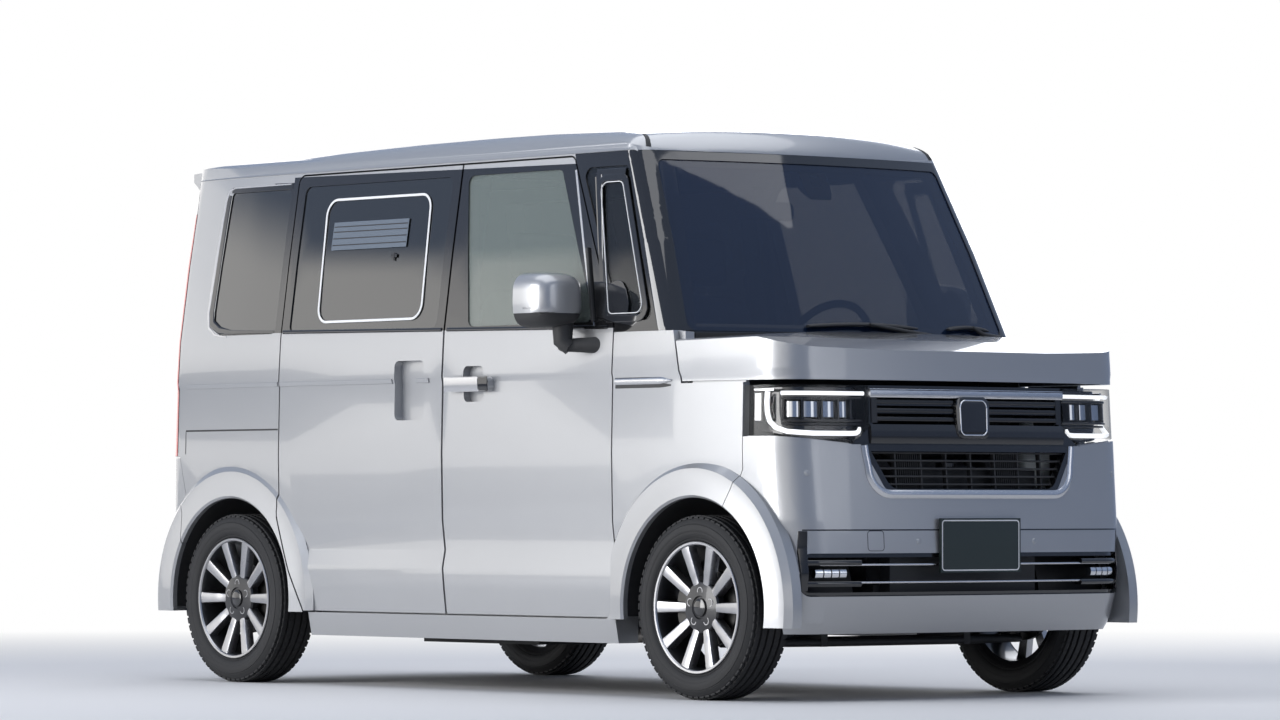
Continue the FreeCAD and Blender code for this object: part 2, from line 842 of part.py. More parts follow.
def bonnet_top(drop):
    """Everything under the bonnet's crowned top. Drop lowers the surface."""
    overrun = size("cut_overrun")
    rear = size("bonnet_rear_x") - size("bonnet_crown_reach")
    front = size("half_length") + overrun
    low = size("tyre_radius")
    side = Part.Wire([
        Part.LineSegment(Vector(rear, 0, low), Vector(front, 0, low)).toShape(),
        Part.LineSegment(Vector(front, 0, low),
                         Vector(front, 0, size("bonnet_front_top_z") - drop)).toShape(),
        Part.LineSegment(Vector(front, 0, size("bonnet_front_top_z") - drop),
                         Vector(size("bonnet_brow_x"), 0, size("bonnet_front_top_z") - drop)).toShape(),
        Part.Arc(Vector(size("bonnet_brow_x"), 0, size("bonnet_front_top_z") - drop),
                 Vector(size("bonnet_mid_x"), 0, size("bonnet_mid_z") - drop),
                 Vector(rear, 0, size("bonnet_rear_z") - drop)).toShape(),
        Part.LineSegment(Vector(rear, 0, size("bonnet_rear_z") - drop), Vector(rear, 0, low)).toShape()])
    half = size("half_width")
    edge = size("bonnet_edge_z") - drop
    crown = size("bonnet_rear_z") + size("trim_gap") - drop
    cross = Part.Wire([
        Part.LineSegment(Vector(rear, -half, low), Vector(rear, half, low)).toShape(),
        Part.LineSegment(Vector(rear, half, low), Vector(rear, half, edge)).toShape(),
        Part.Arc(Vector(rear, half, edge),
                 Vector(rear, half - size("bonnet_turn"), edge + size("bonnet_turn_rise")),
                 Vector(rear, half - size("bonnet_shoulder"), edge + size("bonnet_shoulder_rise"))).toShape(),
        Part.Arc(Vector(rear, half - size("bonnet_shoulder"), edge + size("bonnet_shoulder_rise")),
                 Vector(rear, 0, crown),
                 Vector(rear, -half + size("bonnet_shoulder"),
                        edge + size("bonnet_shoulder_rise"))).toShape(),
        Part.Arc(Vector(rear, -half + size("bonnet_shoulder"), edge + size("bonnet_shoulder_rise")),
                 Vector(rear, -half + size("bonnet_turn"), edge + size("bonnet_turn_rise")),
                 Vector(rear, -half, edge)).toShape(),
        Part.LineSegment(Vector(rear, -half, edge), Vector(rear, -half, low)).toShape()])
    long_form = Part.Face(side).extrude(Vector(0, 2 * half, 0))
    long_form.translate(Vector(0, -half, 0))
    wide_form = Part.Face(cross).extrude(Vector(front - rear, 0, 0))
    return long_form.common(wide_form)


# Body panels

def grip_recess(name, near):
    """The room for a hand: a cup behind the front door's handle, or the sliding door's upright pocket."""
    kind = "cup" if name == "front_door" else "pocket"
    rear, front, low, top = (size(kind + "_" + end) for end in ("rear_x", "front_x", "low_z", "top_z"))
    corner = size("cup_corner")
    outline = [(rear, low, corner), (front, low, corner), (front, top, corner), (rear, top, corner)]
    return side_prism(outline, near, 0).cut(skin("lower", size(kind + "_depth")))


def handle_solids(near):
    """The front door's handle: a bar that follows the door's face and stands on two feet."""
    rear, front, low, top = (size("handle_" + end) for end in ("rear_x", "front_x", "low_z", "top_z"))
    corner = size("handle_corner")
    face = size("handle_stand")
    back = face - size("handle_thick")
    outline = [(rear, low, corner), (front, low, corner), (front, top, corner), (rear, top, corner)]
    bar = skin("lower", -face).cut(skin("lower", -back)).common(side_prism(outline, near, 0))
    root = skin("lower", -back - size("seat_gap")).cut(skin("lower", size("handle_root")))
    feet = []
    for low_x, high_x in ((rear, rear + size("handle_foot")), (front - size("handle_foot"), front)):
        shape = [(low_x, low, corner), (high_x, low, corner), (high_x, top, corner), (low_x, top, corner)]
        feet.append(root.common(side_prism(shape, near, 0)))
    return [largest(bar)] + [largest(foot) for foot in feet]


def build_doors():
    """The hinged front doors and the sliding doors, each a skin layer on a smaller inner layer."""
    overrun = size("cut_overrun")
    thick = size("door_thick")
    layers = {}
    for kind in ("lower", "upper"):
        layers[kind] = (wall(kind, 0, size("door_skin")), wall(kind, 0, thick))
    split = size("belt_z")
    near = -size("half_width") - overrun
    for name, outline, window in (("front_door", front_door_outline(), front_window_outline()),
                                  ("sliding_door", sliding_door_outline(), sliding_window_outline())):
        pieces = []
        for kind in ("lower", "upper"):
            floor_z, roof_z = (0, split) if kind == "lower" else (split, size("car_height"))
            zone = box(-size("half_length"), size("half_length"), near, 0, floor_z, roof_z)
            outer, inner = layers[kind]
            if (name, kind) == ("sliding_door", "lower"):
                outer = lower_body().cut(skin("lower", size("door_skin")))
            for layer, shape in ((outer, outline), (inner, moved_outline(outline, -size("door_inset")))):
                pieces.append(layer.common(side_prism(shape, near, 0).common(zone)))
        door = pieces[0].multiFuse(pieces[1:])
        door = door.cut([side_prism(window, near, 0), grip_recess(name, near)] + arch_holes(right_only=True))
        if name == "front_door":
            door = door.multiFuse(handle_solids(near))
        door = largest(door)
        if name == "sliding_door":
            add_feature("sliding_doors", both_sides(door))
        else:
            add_feature(name + "_right", door)
            add_feature(name + "_left", left_copy(door))


def largest(shape):
    """The largest solid of a shape."""
    return max(shape.Solids, key=lambda solid: solid.Volume)


def build_body_sides():
    """The fixed side walls: pillars, rails and rear quarters with a rebate that each door shuts into."""
    overrun = size("cut_overrun")
    near = -size("half_width") - overrun
    gap = size("panel_gap")
    front_line = moved_outline(front_door_outline(), gap)
    rebates = []
    for outline in (front_door_outline(), sliding_door_outline()):
        wide = side_prism(moved_outline(outline, gap), near, 0)
        rebates.append(wide)
    holes = [side_prism(moved_outline(outline, -size("frame_lip")), near, 0)
             for outline in (front_door_outline(), sliding_door_outline())]
    thick = size("door_thick")
    depth = thick + gap
    split = size("belt_z")
    parts = []
    for kind in ("lower", "upper"):
        floor_z, roof_z = (size("side_low_z"), split) if kind == "lower" else (split,
                                                                               size("roof_low_z")
                                                                               - size("seat_gap"))
        zone = box(-size("half_length"), size("door_front_x") + size("frame_front_reach"), near, 0,
                   floor_z, roof_z)
        outer = lower_body() if kind == "lower" else skin("upper", 0)
        panel = outer.cut(skin(kind, size("frame_inner"))).common(zone)
        room = skin(kind, depth)
        for rebate in rebates:
            panel = panel.cut(rebate.cut(room))
        parts.append(panel)
        level = box(-size("half_length"), size("half_length"), near, 0, floor_z, roof_z)
        seal = wall(kind, thick + size("seat_gap"), depth + size("seal_root")).common(level)
        for outline in (front_door_outline(), sliding_door_outline()):
            lip = -size("frame_lip")
            ring = side_prism(moved_outline(outline, lip + size("seal_width")), near, 0)
            parts.append(seal.common(ring.cut(side_prism(moved_outline(outline, lip), near, 0))))
    side = parts[0].multiFuse(parts[1:])
    pillar_cut = side_prism(front_end_outline(front_line), near, 0)
    side = side.cut(holes + arch_holes(right_only=True) + [pillar_cut,
                                                           side_prism(rear_quarter_outline(), near, 0)]
                    + tail_cuts())
    side = largest(side.removeSplitter())
    flap_room = side_prism(moved_outline(flap_outline(), gap), near,
                           0).cut(skin("lower", size("flap_thick") + size("seat_gap")))
    deep_room = side_prism(moved_outline(flap_outline(), -size("flap_ledge")), near,
                           0).cut(skin("lower", size("flap_depth")))
    left_side = left_copy(side.cut([flap_room, deep_room]))
    add_feature("body_sides", Part.makeCompound(side.Solids + left_side.Solids))
    flap = largest(wall("lower", 0, size("flap_thick")).common(side_prism(flap_outline(), near, 0)))
    add_feature("fuel_flap", left_copy(flap))


def front_end_outline(front_line):
    """What lies ahead of the front door's shut line."""
    low, belt, top = front_line[0], front_line[1], front_line[2]
    ahead = size("half_length")
    return [(low[0], 0, 0), (belt[0], belt[1], 0), (top[0], top[1], 0), (top[0], size("car_height"), 0),
            (ahead, size("car_height"), 0), (ahead, 0, 0)]


def tail_cuts():
    """What the tailgate, tail lamps and rear bumper take from the rear quarters."""
    overrun = size("cut_overrun")
    rear = -size("half_length") - overrun
    gap = size("trim_gap")
    half = size("gate_half_low") + size("panel_gap")
    wide = size("half_width") + overrun
    top = size("car_height")
    gate = box(rear, size("gate_cut_x"), -half, half, 0, top)
    sealing = size("gate_thick") + size("seat_gap")
    gate_face = gate.cut([skin("lower", sealing), skin("upper", sealing)])
    inside = half - size("frame_lip")
    gate_room = box(rear, size("gate_cut_x"), -inside, inside, 0, top)
    gate_head = box(rear, size("gate_cut_x"), -half, half, size("gate_glass_top_z"), top)
    low, high = size("tail_lamp_low_z"), size("tail_lamp_top_z")
    lamp_face = box(rear, size("tail_lamp_x") + gap, -wide, wide, low - gap, high + gap)
    lamp_face = lamp_face.cut([skin("lower", size("door_skin")), skin("upper", size("door_skin"))])
    fit = size("seat_gap")
    lamp_room = box(rear, size("tail_lamp_x") + fit, -wide, wide, low - fit, high + fit)
    bumper = side_prism([(rear, 0, 0), (rear, size("tail_bumper_side_z") + gap, 0),
                         (size("tail_seam_x"), size("tail_bumper_side_z") + gap, 0),
                         (size("tail_bumper_x"), size("heel_high_z"), 0), (size("tail_bumper_x"), 0, 0)],
                        -wide, wide)
    return [gate_face, gate_room, gate_head, lamp_face, lamp_room, bumper]


# Bonnet, fenders, screen and glass

def build_front_panels():
    """The front fenders, the clamshell bonnet, the cowl and the black windscreen surround."""
    overrun = size("cut_overrun")
    near = -size("half_width") - overrun
    wide = size("half_width") + overrun
    gap = size("panel_gap")
    top = size("car_height")
    front_line = moved_outline(front_door_outline(), gap)
    ahead = front_end_outline(front_line)

    seam = [(ahead[0][0], size("side_low_z"), 0), (ahead[0][0], size("screen_low_z"), 0),
            (size("bonnet_rear_x") - gap, size("screen_low_z"), 0),
            (size("bonnet_heel_x") - gap, size("bonnet_low_z") - gap, 0),
            (size("bumper_seam_x"), size("bonnet_low_z") - gap, 0),
            (size("bumper_seam_x"), size("seam_top_z"), 0), (size("seam_foot_x"), size("seam_foot_z"), 0),
            (size("front_axle_x"), size("tyre_radius"), 0), (size("front_axle_x"), size("side_low_z"), 0)]
    fender = lower_body().cut(skin("lower", size("fender_thick"))).common(side_prism(seam, near, 0))
    fender = fender.cut(arch_holes(right_only=True))
    strip_zone = box(size("bonnet_heel_x") + size("bonnet_edge"), size("bumper_seam_x"), near, 0,
                     size("bonnet_low_z") - gap - size("seal_root"), size("bonnet_low_z") - size("seat_gap"))
    seal = wall("lower", size("door_inset"), size("door_inset") + size("seal_width")).common(strip_zone)
    fender = largest(fender.fuse(seal))
    add_feature("fenders", both_sides(fender))

    zone = side_prism([(size("bonnet_rear_x"), size("car_height"), 0),
                       (size("bonnet_rear_x"), size("screen_low_z"), 0),
                       (size("bonnet_heel_x"), size("bonnet_low_z"), 0),
                       (size("half_length") + overrun, size("bonnet_low_z"), 0),
                       (size("half_length") + overrun, size("car_height"), 0)], near, wide)
    bow = Part.makeCylinder(size("bonnet_bow_radius"), top,
                            Vector(size("bonnet_bow_x") - size("bonnet_bow_radius"), 0, 0))
    outer = bonnet_top(0).common(skin("lower", 0))
    inner = bonnet_top(size("bonnet_thick")).common(skin("lower", size("bonnet_thick")))
    bonnet = largest(outer.cut(inner).common(zone).cut(bow))
    add_feature("bonnet", bonnet)

    short_bow = Part.makeCylinder(size("bonnet_bow_radius") - gap, top,
                                  Vector(size("bonnet_bow_x") - size("bonnet_bow_radius"), 0, 0))
    cowl_zone = box(size("cowl_rear_x"), size("half_length"), -size("cowl_front_half"),
                    size("cowl_front_half"),
                    size("firewall_top_z") + size("seat_gap"), size("screen_low_z") - gap)
    cowl = cowl_zone.common(short_bow)
    cowl = cowl.common(box(size("cowl_rear_x"), size("bonnet_bow_x"), near, wide, 0, top))
    add_feature("cowl", largest(cowl))

    low = size("screen_low_z") + size("seat_gap")
    frame = wall("upper", 0, size("wall_thick"))
    frame = frame.common(box(0, size("half_length"), near, wide, low, size("roof_low_z") - size("seat_gap")))
    frame = frame.common(side_prism(ahead, near, wide))
    quarter = side_prism(front_quarter_outline(), near, wide)
    screen = front_prism(screen_outline(), size("door_nose_top_x"), size("half_length"))
    surround = largest(frame.cut([quarter, screen]))
    add_feature("screen_surround", surround)


def glass_pane(kind, prism):
    """A thin pane set a little below the skin."""
    sink = size("glass_sink")
    return largest(wall(kind, sink, sink + size("glass_thick")).common(prism))


def build_glass():
    """Each pane fills its window with a hair's clearance."""
    overrun = size("cut_overrun")
    near = -size("half_width") - overrun
    fit = -size("seat_gap")
    screen = moved_outline(screen_outline(), fit)
    add_feature("windscreen", glass_pane("upper",
                                         front_prism(screen, size("door_nose_top_x"), size("half_length"))))
    pane = glass_pane("upper", side_prism(moved_outline(front_window_outline(), fit), near, 0))
    add_feature("front_door_glass_right", pane)
    add_feature("front_door_glass_left", left_copy(pane))
    panes = [glass_pane("upper", side_prism(moved_outline(outline, fit), near, 0))
             for outline in (rear_quarter_outline(), front_quarter_outline(), sliding_window_outline())]
    add_feature("side_glass", both_sides(Part.makeCompound(panes)))


def build_roof():
    """The crowned roof panel with its side rails."""
    overrun = size("cut_overrun")
    zone = box(size("gate_edge_x") + size("panel_gap"), size("half_length"), -size("half_width"),
               size("half_width"),
               size("roof_low_z"), size("car_height") + overrun)
    outer = roof_solid(0).common(skin("upper", 0))
    inner = roof_solid(size("roof_thick")).common(skin("upper", size("frame_inner")))
    add_feature("roof_panel", largest(outer.cut(inner).common(zone)))


def gate_outline(distance):
    """The tailgate's outline from the rear, moved outwards by a distance."""
    half = size("gate_half_low") + distance
    return [(-half, size("gate_low_z") - distance, size("gate_corner")),
            (half, size("gate_low_z") - distance, size("gate_corner")),
            (half, size("car_height"), 0), (-half, size("car_height"), 0)]


def gate_window():
    """The rear window's outline."""
    half = size("gate_glass_half")
    round_off = size("quarter_corner")
    return [(-half, size("gate_glass_low_z"), round_off), (half, size("gate_glass_low_z"), round_off),
            (half, size("gate_glass_top_z"), round_off), (-half, size("gate_glass_top_z"), round_off)]


def build_tailgate():
    """The tailgate with its roof lip, and its glass."""
    overrun = size("cut_overrun")
    rear = -size("half_length") - overrun
    thick = size("gate_thick")
    edge = size("gate_edge_x")
    zone = side_prism([(rear, 0, 0), (size("gate_front_x"), 0, 0),
                       (size("gate_front_x"), size("header_low_z"), 0),
                       (edge, size("header_low_z"), 0), (edge, size("car_height"), 0),
                       (rear, size("car_height"), 0)],
                      -size("half_width"), size("half_width"))
    split = size("belt_z")
    low_box = box(rear, size("gate_front_x"), -size("half_width"), size("half_width"), 0, split)
    high_box = box(rear, size("gate_front_x"), -size("half_width"), size("half_width"), split,
                   size("car_height"))
    low = wall("lower", 0, thick).common(low_box)
    high = skin("upper", 0).common(roof_solid(0)).cut(skin("upper",
                                                           thick).common(roof_solid(thick))).common(high_box)
    outline = front_prism(gate_outline(0), rear, 0)
    body = low.fuse(high).common(zone).common(outline)
    lip = side_prism([(edge, size("car_height"), 0), (size("spoiler_tip_x"), size("car_height"), 0),
                      (size("spoiler_tip_x"), size("spoiler_tip_z"), 0),
                      (edge - thick / 2, size("spoiler_low_z"), 0),
                      (edge, size("spoiler_low_z"), 0)], -size("spoiler_half"), size("spoiler_half"))
    lip = lip.common(roof_solid(0))
    gate = body.fuse(lip).cut(front_prism(gate_window(), rear, 0))
    add_feature("tailgate", largest(gate.removeSplitter()))
    sink = size("glass_sink")
    pane = wall("upper", sink, sink + size("glass_thick"))
    pane = pane.common(front_prism(moved_outline(gate_window(), -size("seat_gap")), rear,
                                   size("gate_front_x")))
    add_feature("tailgate_glass", largest(pane))


def lamp_outline(distance):
    """The right headlamp from the front, its inner lower corner cut away."""
    inner = -size("lamp_inner_half")
    return moved_outline([(inner, size("grille_top_z"), 0), (inner, size("lamp_cut_z"), 0),
                          (-size("lamp_cut_half"), size("lamp_low_z"), 0),
                          (-size("half_width") - size("cut_overrun"), size("lamp_outer_low_z"), 0),
                          (-size("half_width") - size("cut_overrun"), size("grille_top_z"), 0)], distance)


def mid_grille_outline(distance):
    """The lower grille from the front: a trapezoid with round lower corners."""
    top = size("mid_grille_half")
    low = size("mid_grille_low_half")
    return moved_outline([(-low, size("mid_grille_low_z"), size("mid_grille_corner")),
                          (low, size("mid_grille_low_z"), size("mid_grille_corner")),
                          (top, size("mid_grille_top_z"), 0), (-top, size("mid_grille_top_z"), 0)], distance)


def slot_outline(distance):
    """The slot low in the bumper."""
    half = size("slot_half")
    corner = size("slot_corner")
    return moved_outline([(-half, size("slot_low_z"), corner), (half, size("slot_low_z"), corner),
                          (half, size("slot_top_z"), corner), (-half, size("slot_top_z"), corner)], distance)


def front_slice(outer, inner, outline):
    """The part of the front wall between two insets that lies inside an outline."""
    reach = size("half_length") + size("cut_overrun")
    return front_wall(outer, inner).common(front_prism(outline, size("front_axle_x"), reach))


def build_nose():
    """The headlamps, front bumper, upper grille, lower grille and slot bars."""
    overrun = size("cut_overrun")
    near = -size("half_width") - overrun
    wide = -near
    gap = size("trim_gap")
    far = size("half_length") + overrun
    lamp = front_slice(size("lamp_sink"), size("lamp_depth"), lamp_outline(0))
    lamp = largest(lamp.common(box(size("bumper_seam_x") + gap, far, near, 0, 0, size("car_height"))))
    add_feature("headlamps", both_sides(lamp))

    zone = side_prism([(size("bumper_seam_x") + gap, size("bonnet_low_z") - gap, 0),
                       (size("bumper_seam_x") + gap, size("seam_top_z"), 0),
                       (size("seam_foot_x") + gap, size("seam_foot_z"), 0),
                       (size("front_axle_x") + gap, size("tyre_radius"), 0),
                       (size("front_axle_x") + gap, size("bumper_low_z"), 0),
                       (far, size("bumper_low_z"), 0), (far, size("bonnet_low_z") - gap, 0)], near, wide)
    panel = lower_body().cut(skin("lower", size("bumper_thick"))).common(zone)
    lamp_face = front_prism(lamp_outline(gap), size("front_axle_x"),
                            far).cut(skin("lower", size("door_skin")))
    lamp_room = front_prism(lamp_outline(size("seat_gap")), size("front_axle_x"), far)
    lamps = [lamp_face, lamp_room, left_copy(lamp_face), left_copy(lamp_room)]
    centre = front_prism([(-size("lamp_cut_half") - gap, size("mid_grille_top_z"), 0),
                          (size("lamp_cut_half") + gap, size("mid_grille_top_z"), 0),
                          (size("lamp_cut_half") + gap, size("car_height"), 0),
                          (-size("lamp_cut_half") - gap, size("car_height"), 0)], size("front_axle_x"), far)
    holes = [front_prism(mid_grille_outline(0), size("front_axle_x"), far),
             front_prism(slot_outline(0), size("front_axle_x"), far)]
    bumper = panel.cut(lamps + [centre] + holes + arch_holes())
    add_feature("front_bumper", largest(bumper))

    add_feature("grilles", Part.makeCompound([upper_grille(), lower_grille(), slot_bars()]))


def flat_face(outline):
    """An outline's face, upright across the car."""
    return rounded_face(outline, lambda p: Vector(size("front_axle_x"), p.x, p.y))


def frame_face(outline, width):
    """A frame of even width just inside an outline."""
    return flat_face(outline).cut(flat_face(moved_outline(outline, -width)))


def grille_solid(outer, inner, faces):
    """Bars and frames drawn from the front and cut from the nose between two insets."""
    flat = faces[0]
    if len(faces) > 1:
        flat = flat.multiFuse(faces[1:]).removeSplitter()
    reach = size("half_length") + size("cut_overrun") - size("front_axle_x")
    return front_wall(outer, inner).common(flat.extrude(Vector(reach, 0, 0)))


def upper_grille():
    """The band between the headlamps: bright top bar, dark slats, lower band and plain centre badge."""
    fit = size("seat_gap")
    gap = size("trim_gap")
    inner = size("lamp_inner_half") - gap
    upper_low = size("mid_grille_top_z") + fit
    cut = size("lamp_cut_half") - gap
    shoulder = size("lamp_cut_z") - gap
    top = size("grille_top_z")
    upper = [(-cut, upper_low, 0), (cut, upper_low, 0), (inner, shoulder, 0), (inner, top, 0),
             (-inner, top, 0), (-inner, shoulder, 0)]
    depth = size("grille_depth")
    bar_low = top - size("frame_width") - size("chrome_height")
    faces = [frame_face(upper, size("frame_width"))]
    faces.append(flat_face([(-cut, upper_low, 0), (cut, upper_low, 0), (inner, shoulder, 0),
                            (-inner, shoulder, 0)]))
    count = int(size("upper_slats"))
    pitch = (bar_low - shoulder) / (count + 1)
    for index in range(count):
        faces.append(flat_face(strip(inner, shoulder + pitch * (index + 1), size("slat_height"))))
    pieces = [grille_solid(size("band_depth"), depth, faces)]
    pieces.append(grille_solid(fit, depth,
                               [flat_face(strip(inner, bar_low + size("chrome_height") / 2,
                                                size("chrome_height")))]))
    middle = (size("badge_low_z") + size("badge_top_z")) / 2
    corner = size("window_corner") / 2
    badge = [(y, z, corner) for y, z, nothing in strip(size("badge_half"), middle,
                                                       size("badge_top_z") - size("badge_low_z"))]
    pieces.append(grille_solid(fit, depth, [flat_face(badge)]))
    return largest(joined(pieces))


def lower_grille():
    """The lower grille: a bright surround with level slats and slim posts set back in it."""
    fit = size("seat_gap")
    depth = size("grille_depth")
    ring = mid_grille_outline(-fit)
    width = size("chrome_width")
    low = size("mid_grille_low_z") + width
    high = size("mid_grille_top_z") - width
    count = int(size("lower_slats"))
    pitch = (high - low) / count
    faces = []
    for index in range(count):
        faces.append(flat_face(strip(size("mid_grille_half"), low + pitch * (index + 0.5),
                                     size("slat_height"))))
    count = int(size("grille_posts"))
    spread = 2 * size("mid_grille_low_half") / (count + 1)
    for index in range(count):
        middle = -size("mid_grille_low_half") + spread * (index + 1)
        half = size("post_width") / 2
        faces.append(flat_face([(middle - half, low, 0), (middle + half, low, 0), (middle + half, high, 0),
                                (middle - half, high, 0)]))
    field = flat_face(moved_outline(ring, -width / 2))
    mesh = faces[0].multiFuse(faces[1:]).common(field)
    mesh = mesh.fuse(frame_face(ring, width)).removeSplitter()
    inner = grille_solid(size("band_depth"), depth, [mesh])
    surround = grille_solid(fit, depth, [frame_face(ring, width)])
    return largest(inner.fuse(surround))


def slot_bars():
    """The bars across the slot low in the bumper."""
    ring = slot_outline(-size("seat_gap"))
    faces = [frame_face(ring, size("frame_width"))]
    for share in SLOT_BAR_SHARES:
        middle = size("slot_low_z") + (size("slot_top_z") - size("slot_low_z")) * share
        faces.append(flat_face(strip(size("slot_half") - size("frame_width") / 2, middle,
                                     size("grille_bar"))))
    return largest(grille_solid(size("band_depth"), size("grille_depth"), faces))


def strip(half, middle, height):
    """A level bar's outline from the front."""
    return [(-half, middle - height / 2, 0), (half, middle - height / 2, 0),
            (half, middle + height / 2, 0), (-half, middle + height / 2, 0)]


def build_tail():
    """The rear bumper, tail lamps, sills and number plates."""
    overrun = size("cut_overrun")
    rear = -size("half_length") - overrun
    near = -size("half_width") - overrun
    gap = size("trim_gap")
    low = size("tail_bumper_low_z")
    zone = side_prism([(rear, low, 0), (rear, size("tail_bumper_side_z"), 0),
                       (size("tail_seam_x"), size("tail_bumper_side_z"), 0),
                       (size("tail_bumper_x") - gap, size("heel_high_z"), 0),
                       (size("tail_bumper_x") - gap, low, 0)], near, -near)
    panel = lower_body().cut(skin("lower", size("bumper_thick"))).common(zone)
    panel = panel.cut([front_prism(gate_outline(size("panel_gap")), rear, 0)] + arch_holes())
    add_feature("rear_bumper", largest(panel))

    lamp_zone = box(rear, size("tail_lamp_x"), near, -size("gate_half_low") - size("panel_gap") - gap,
                    size("tail_lamp_low_z"), size("tail_lamp_top_z"))
    pieces = []
    for kind in ("lower", "upper"):
        floor_z, roof_z = (0, size("belt_z")) if kind == "lower" else (size("belt_z"), size("car_height"))
        level_zone = box(rear, 0, near, 0, floor_z, roof_z)
        pieces.append(wall(kind, 0, size("tail_lamp_depth")).common(lamp_zone).common(level_zone))
    lamp = largest(joined(pieces))
    add_feature("tail_lamps", both_sides(lamp))

    front = size("front_axle_x") - size("flare_radius") + size("flare_band")
    sill_zone = box(size("rear_axle_x") + size("flare_radius") - size("flare_band"), front, near,
                    -size("sill_half") + size("frame_inner"), 0, size("side_low_z") - size("seat_gap"))
    sill = skin("lower", 0).common(sill_zone).cut(arch_holes(right_only=True))
    add_feature("side_sills", both_sides(largest(sill)))

    half = size("plate_width") / 2
    front_plate = box(size("waist_nose") + size("seat_gap"), size("half_length"), -half, half,
                      size("plate_low_z"),
                      size("plate_low_z") + size("plate_height"))
    add_feature("front_plate", front_plate)


# Bodies with sketches bound to the sheet

def new_body(label):
    """A named sub-part made of sketches and features."""
    body = DOC.addObject("PartDesign::Body", label)
    body.Label = label
    return body


def origin_plane(body, role):
    """One of the body's own origin planes."""
    return [item for item in body.Origin.OriginFeatures if item.Role == role][0]


def bound_value(sketch, constraint, expression):
    """Tie one constraint to an expression of sizes."""
    sketch.setExpression("Constraints[%d]" % constraint, expression)


def evaluate(expression):
    """The present value of an expression of sizes, used only to place a sketch's first guess."""
    probe = DOC.getObject("Probe")
    probe.setExpression("Height", expression + " + 100000")
    probe.recompute()
    return float(probe.Height) - 100000


def sheet_form(expression):
    """The expression with each size's name led by the sheet's name."""
    words = re.split(r"([A-Za-z_]+)", expression)
    return "".join("Sizes." + word if word in ALL_SIZES else word for word in words)


def polygon_sketch(body, name, role, points):
    """A closed outline whose corners are bound to expressions of sizes."""
    sketch = body.newObject("Sketcher::SketchObject", name)
    sketch.AttachmentSupport = [(origin_plane(body, role), "")]
    sketch.MapMode = "FlatFace"
    add_polygon(sketch, points)
    return sketch


def add_polygon(sketch, points):
    """Add one closed outline to a sketch."""
    forms = [(sheet_form(first), sheet_form(second)) for first, second in points]
    places = [Vector(evaluate(first), evaluate(second), 0) for first, second in forms]
    lines = []
    for index, place in enumerate(places):
        following = places[(index + 1) % len(places)]
        lines.append(sketch.addGeometry(Part.LineSegment(place, following)))
    for index, line in enumerate(lines):
        following = lines[(index + 1) % len(lines)]
        sketch.addConstraint(Sketcher.Constraint("Coincident", line, 2, following, 1))
    for line, place, (first, second) in zip(lines, places, forms):
        number = sketch.addConstraint(Sketcher.Constraint("DistanceX", -1, 1, line, 1, place.x))
        bound_value(sketch, number, first)
        number = sketch.addConstraint(Sketcher.Constraint("DistanceY", -1, 1, line, 1, place.y))
        bound_value(sketch, number, second)


def circle_sketch(body, name, role, circles):
    """A sketch of circles, each a centre and a radius bound to expressions."""
    sketch = body.newObject("Sketcher::SketchObject", name)
    sketch.AttachmentSupport = [(origin_plane(body, role), "")]
    sketch.MapMode = "FlatFace"
    for first, second, radius in circles:
        forms = [sheet_form(text) for text in (first, second, radius)]
        values = [evaluate(form) for form in forms]
        ring = sketch.addGeometry(Part.Circle(Vector(values[0], values[1], 0), Vector(0, 0, 1), values[2]))
        number = sketch.addConstraint(Sketcher.Constraint("DistanceX", -1, 1, ring, 3, values[0]))
        bound_value(sketch, number, forms[0])
        number = sketch.addConstraint(Sketcher.Constraint("DistanceY", -1, 1, ring, 3, values[1]))
        bound_value(sketch, number, forms[1])
        number = sketch.addConstraint(Sketcher.Constraint("Radius", ring, values[2]))
        bound_value(sketch, number, forms[2])
    return sketch


def pad_both_ways(body, name, sketch, length):
    """A pad that grows evenly on both sides of its sketch."""
    pad = body.newObject("PartDesign::Pad", name)
    pad.Profile = sketch
    pad.Midplane = True
    pad.setExpression("Length", sheet_form(length))
    return pad


def revolve(body, name, sketch, axis):
    """A full revolution about one of the sketch's own axes."""
    turned = body.newObject("PartDesign::Revolution", name)
    turned.Profile = sketch
    turned.ReferenceAxis = (sketch, [axis])
    turned.Angle = 360
    return turned


def polar(body, name, feature, count, role):
    """Copies of a feature spaced evenly round one of the body's own axes."""
    pattern = body.newObject("PartDesign::PolarPattern", name)
    pattern.Originals = [feature]
    pattern.Axis = (origin_plane(body, role), [""])
    pattern.Angle = 360
    pattern.setExpression("Occurrences", sheet_form(count))
    body.Tip = pattern
    return pattern


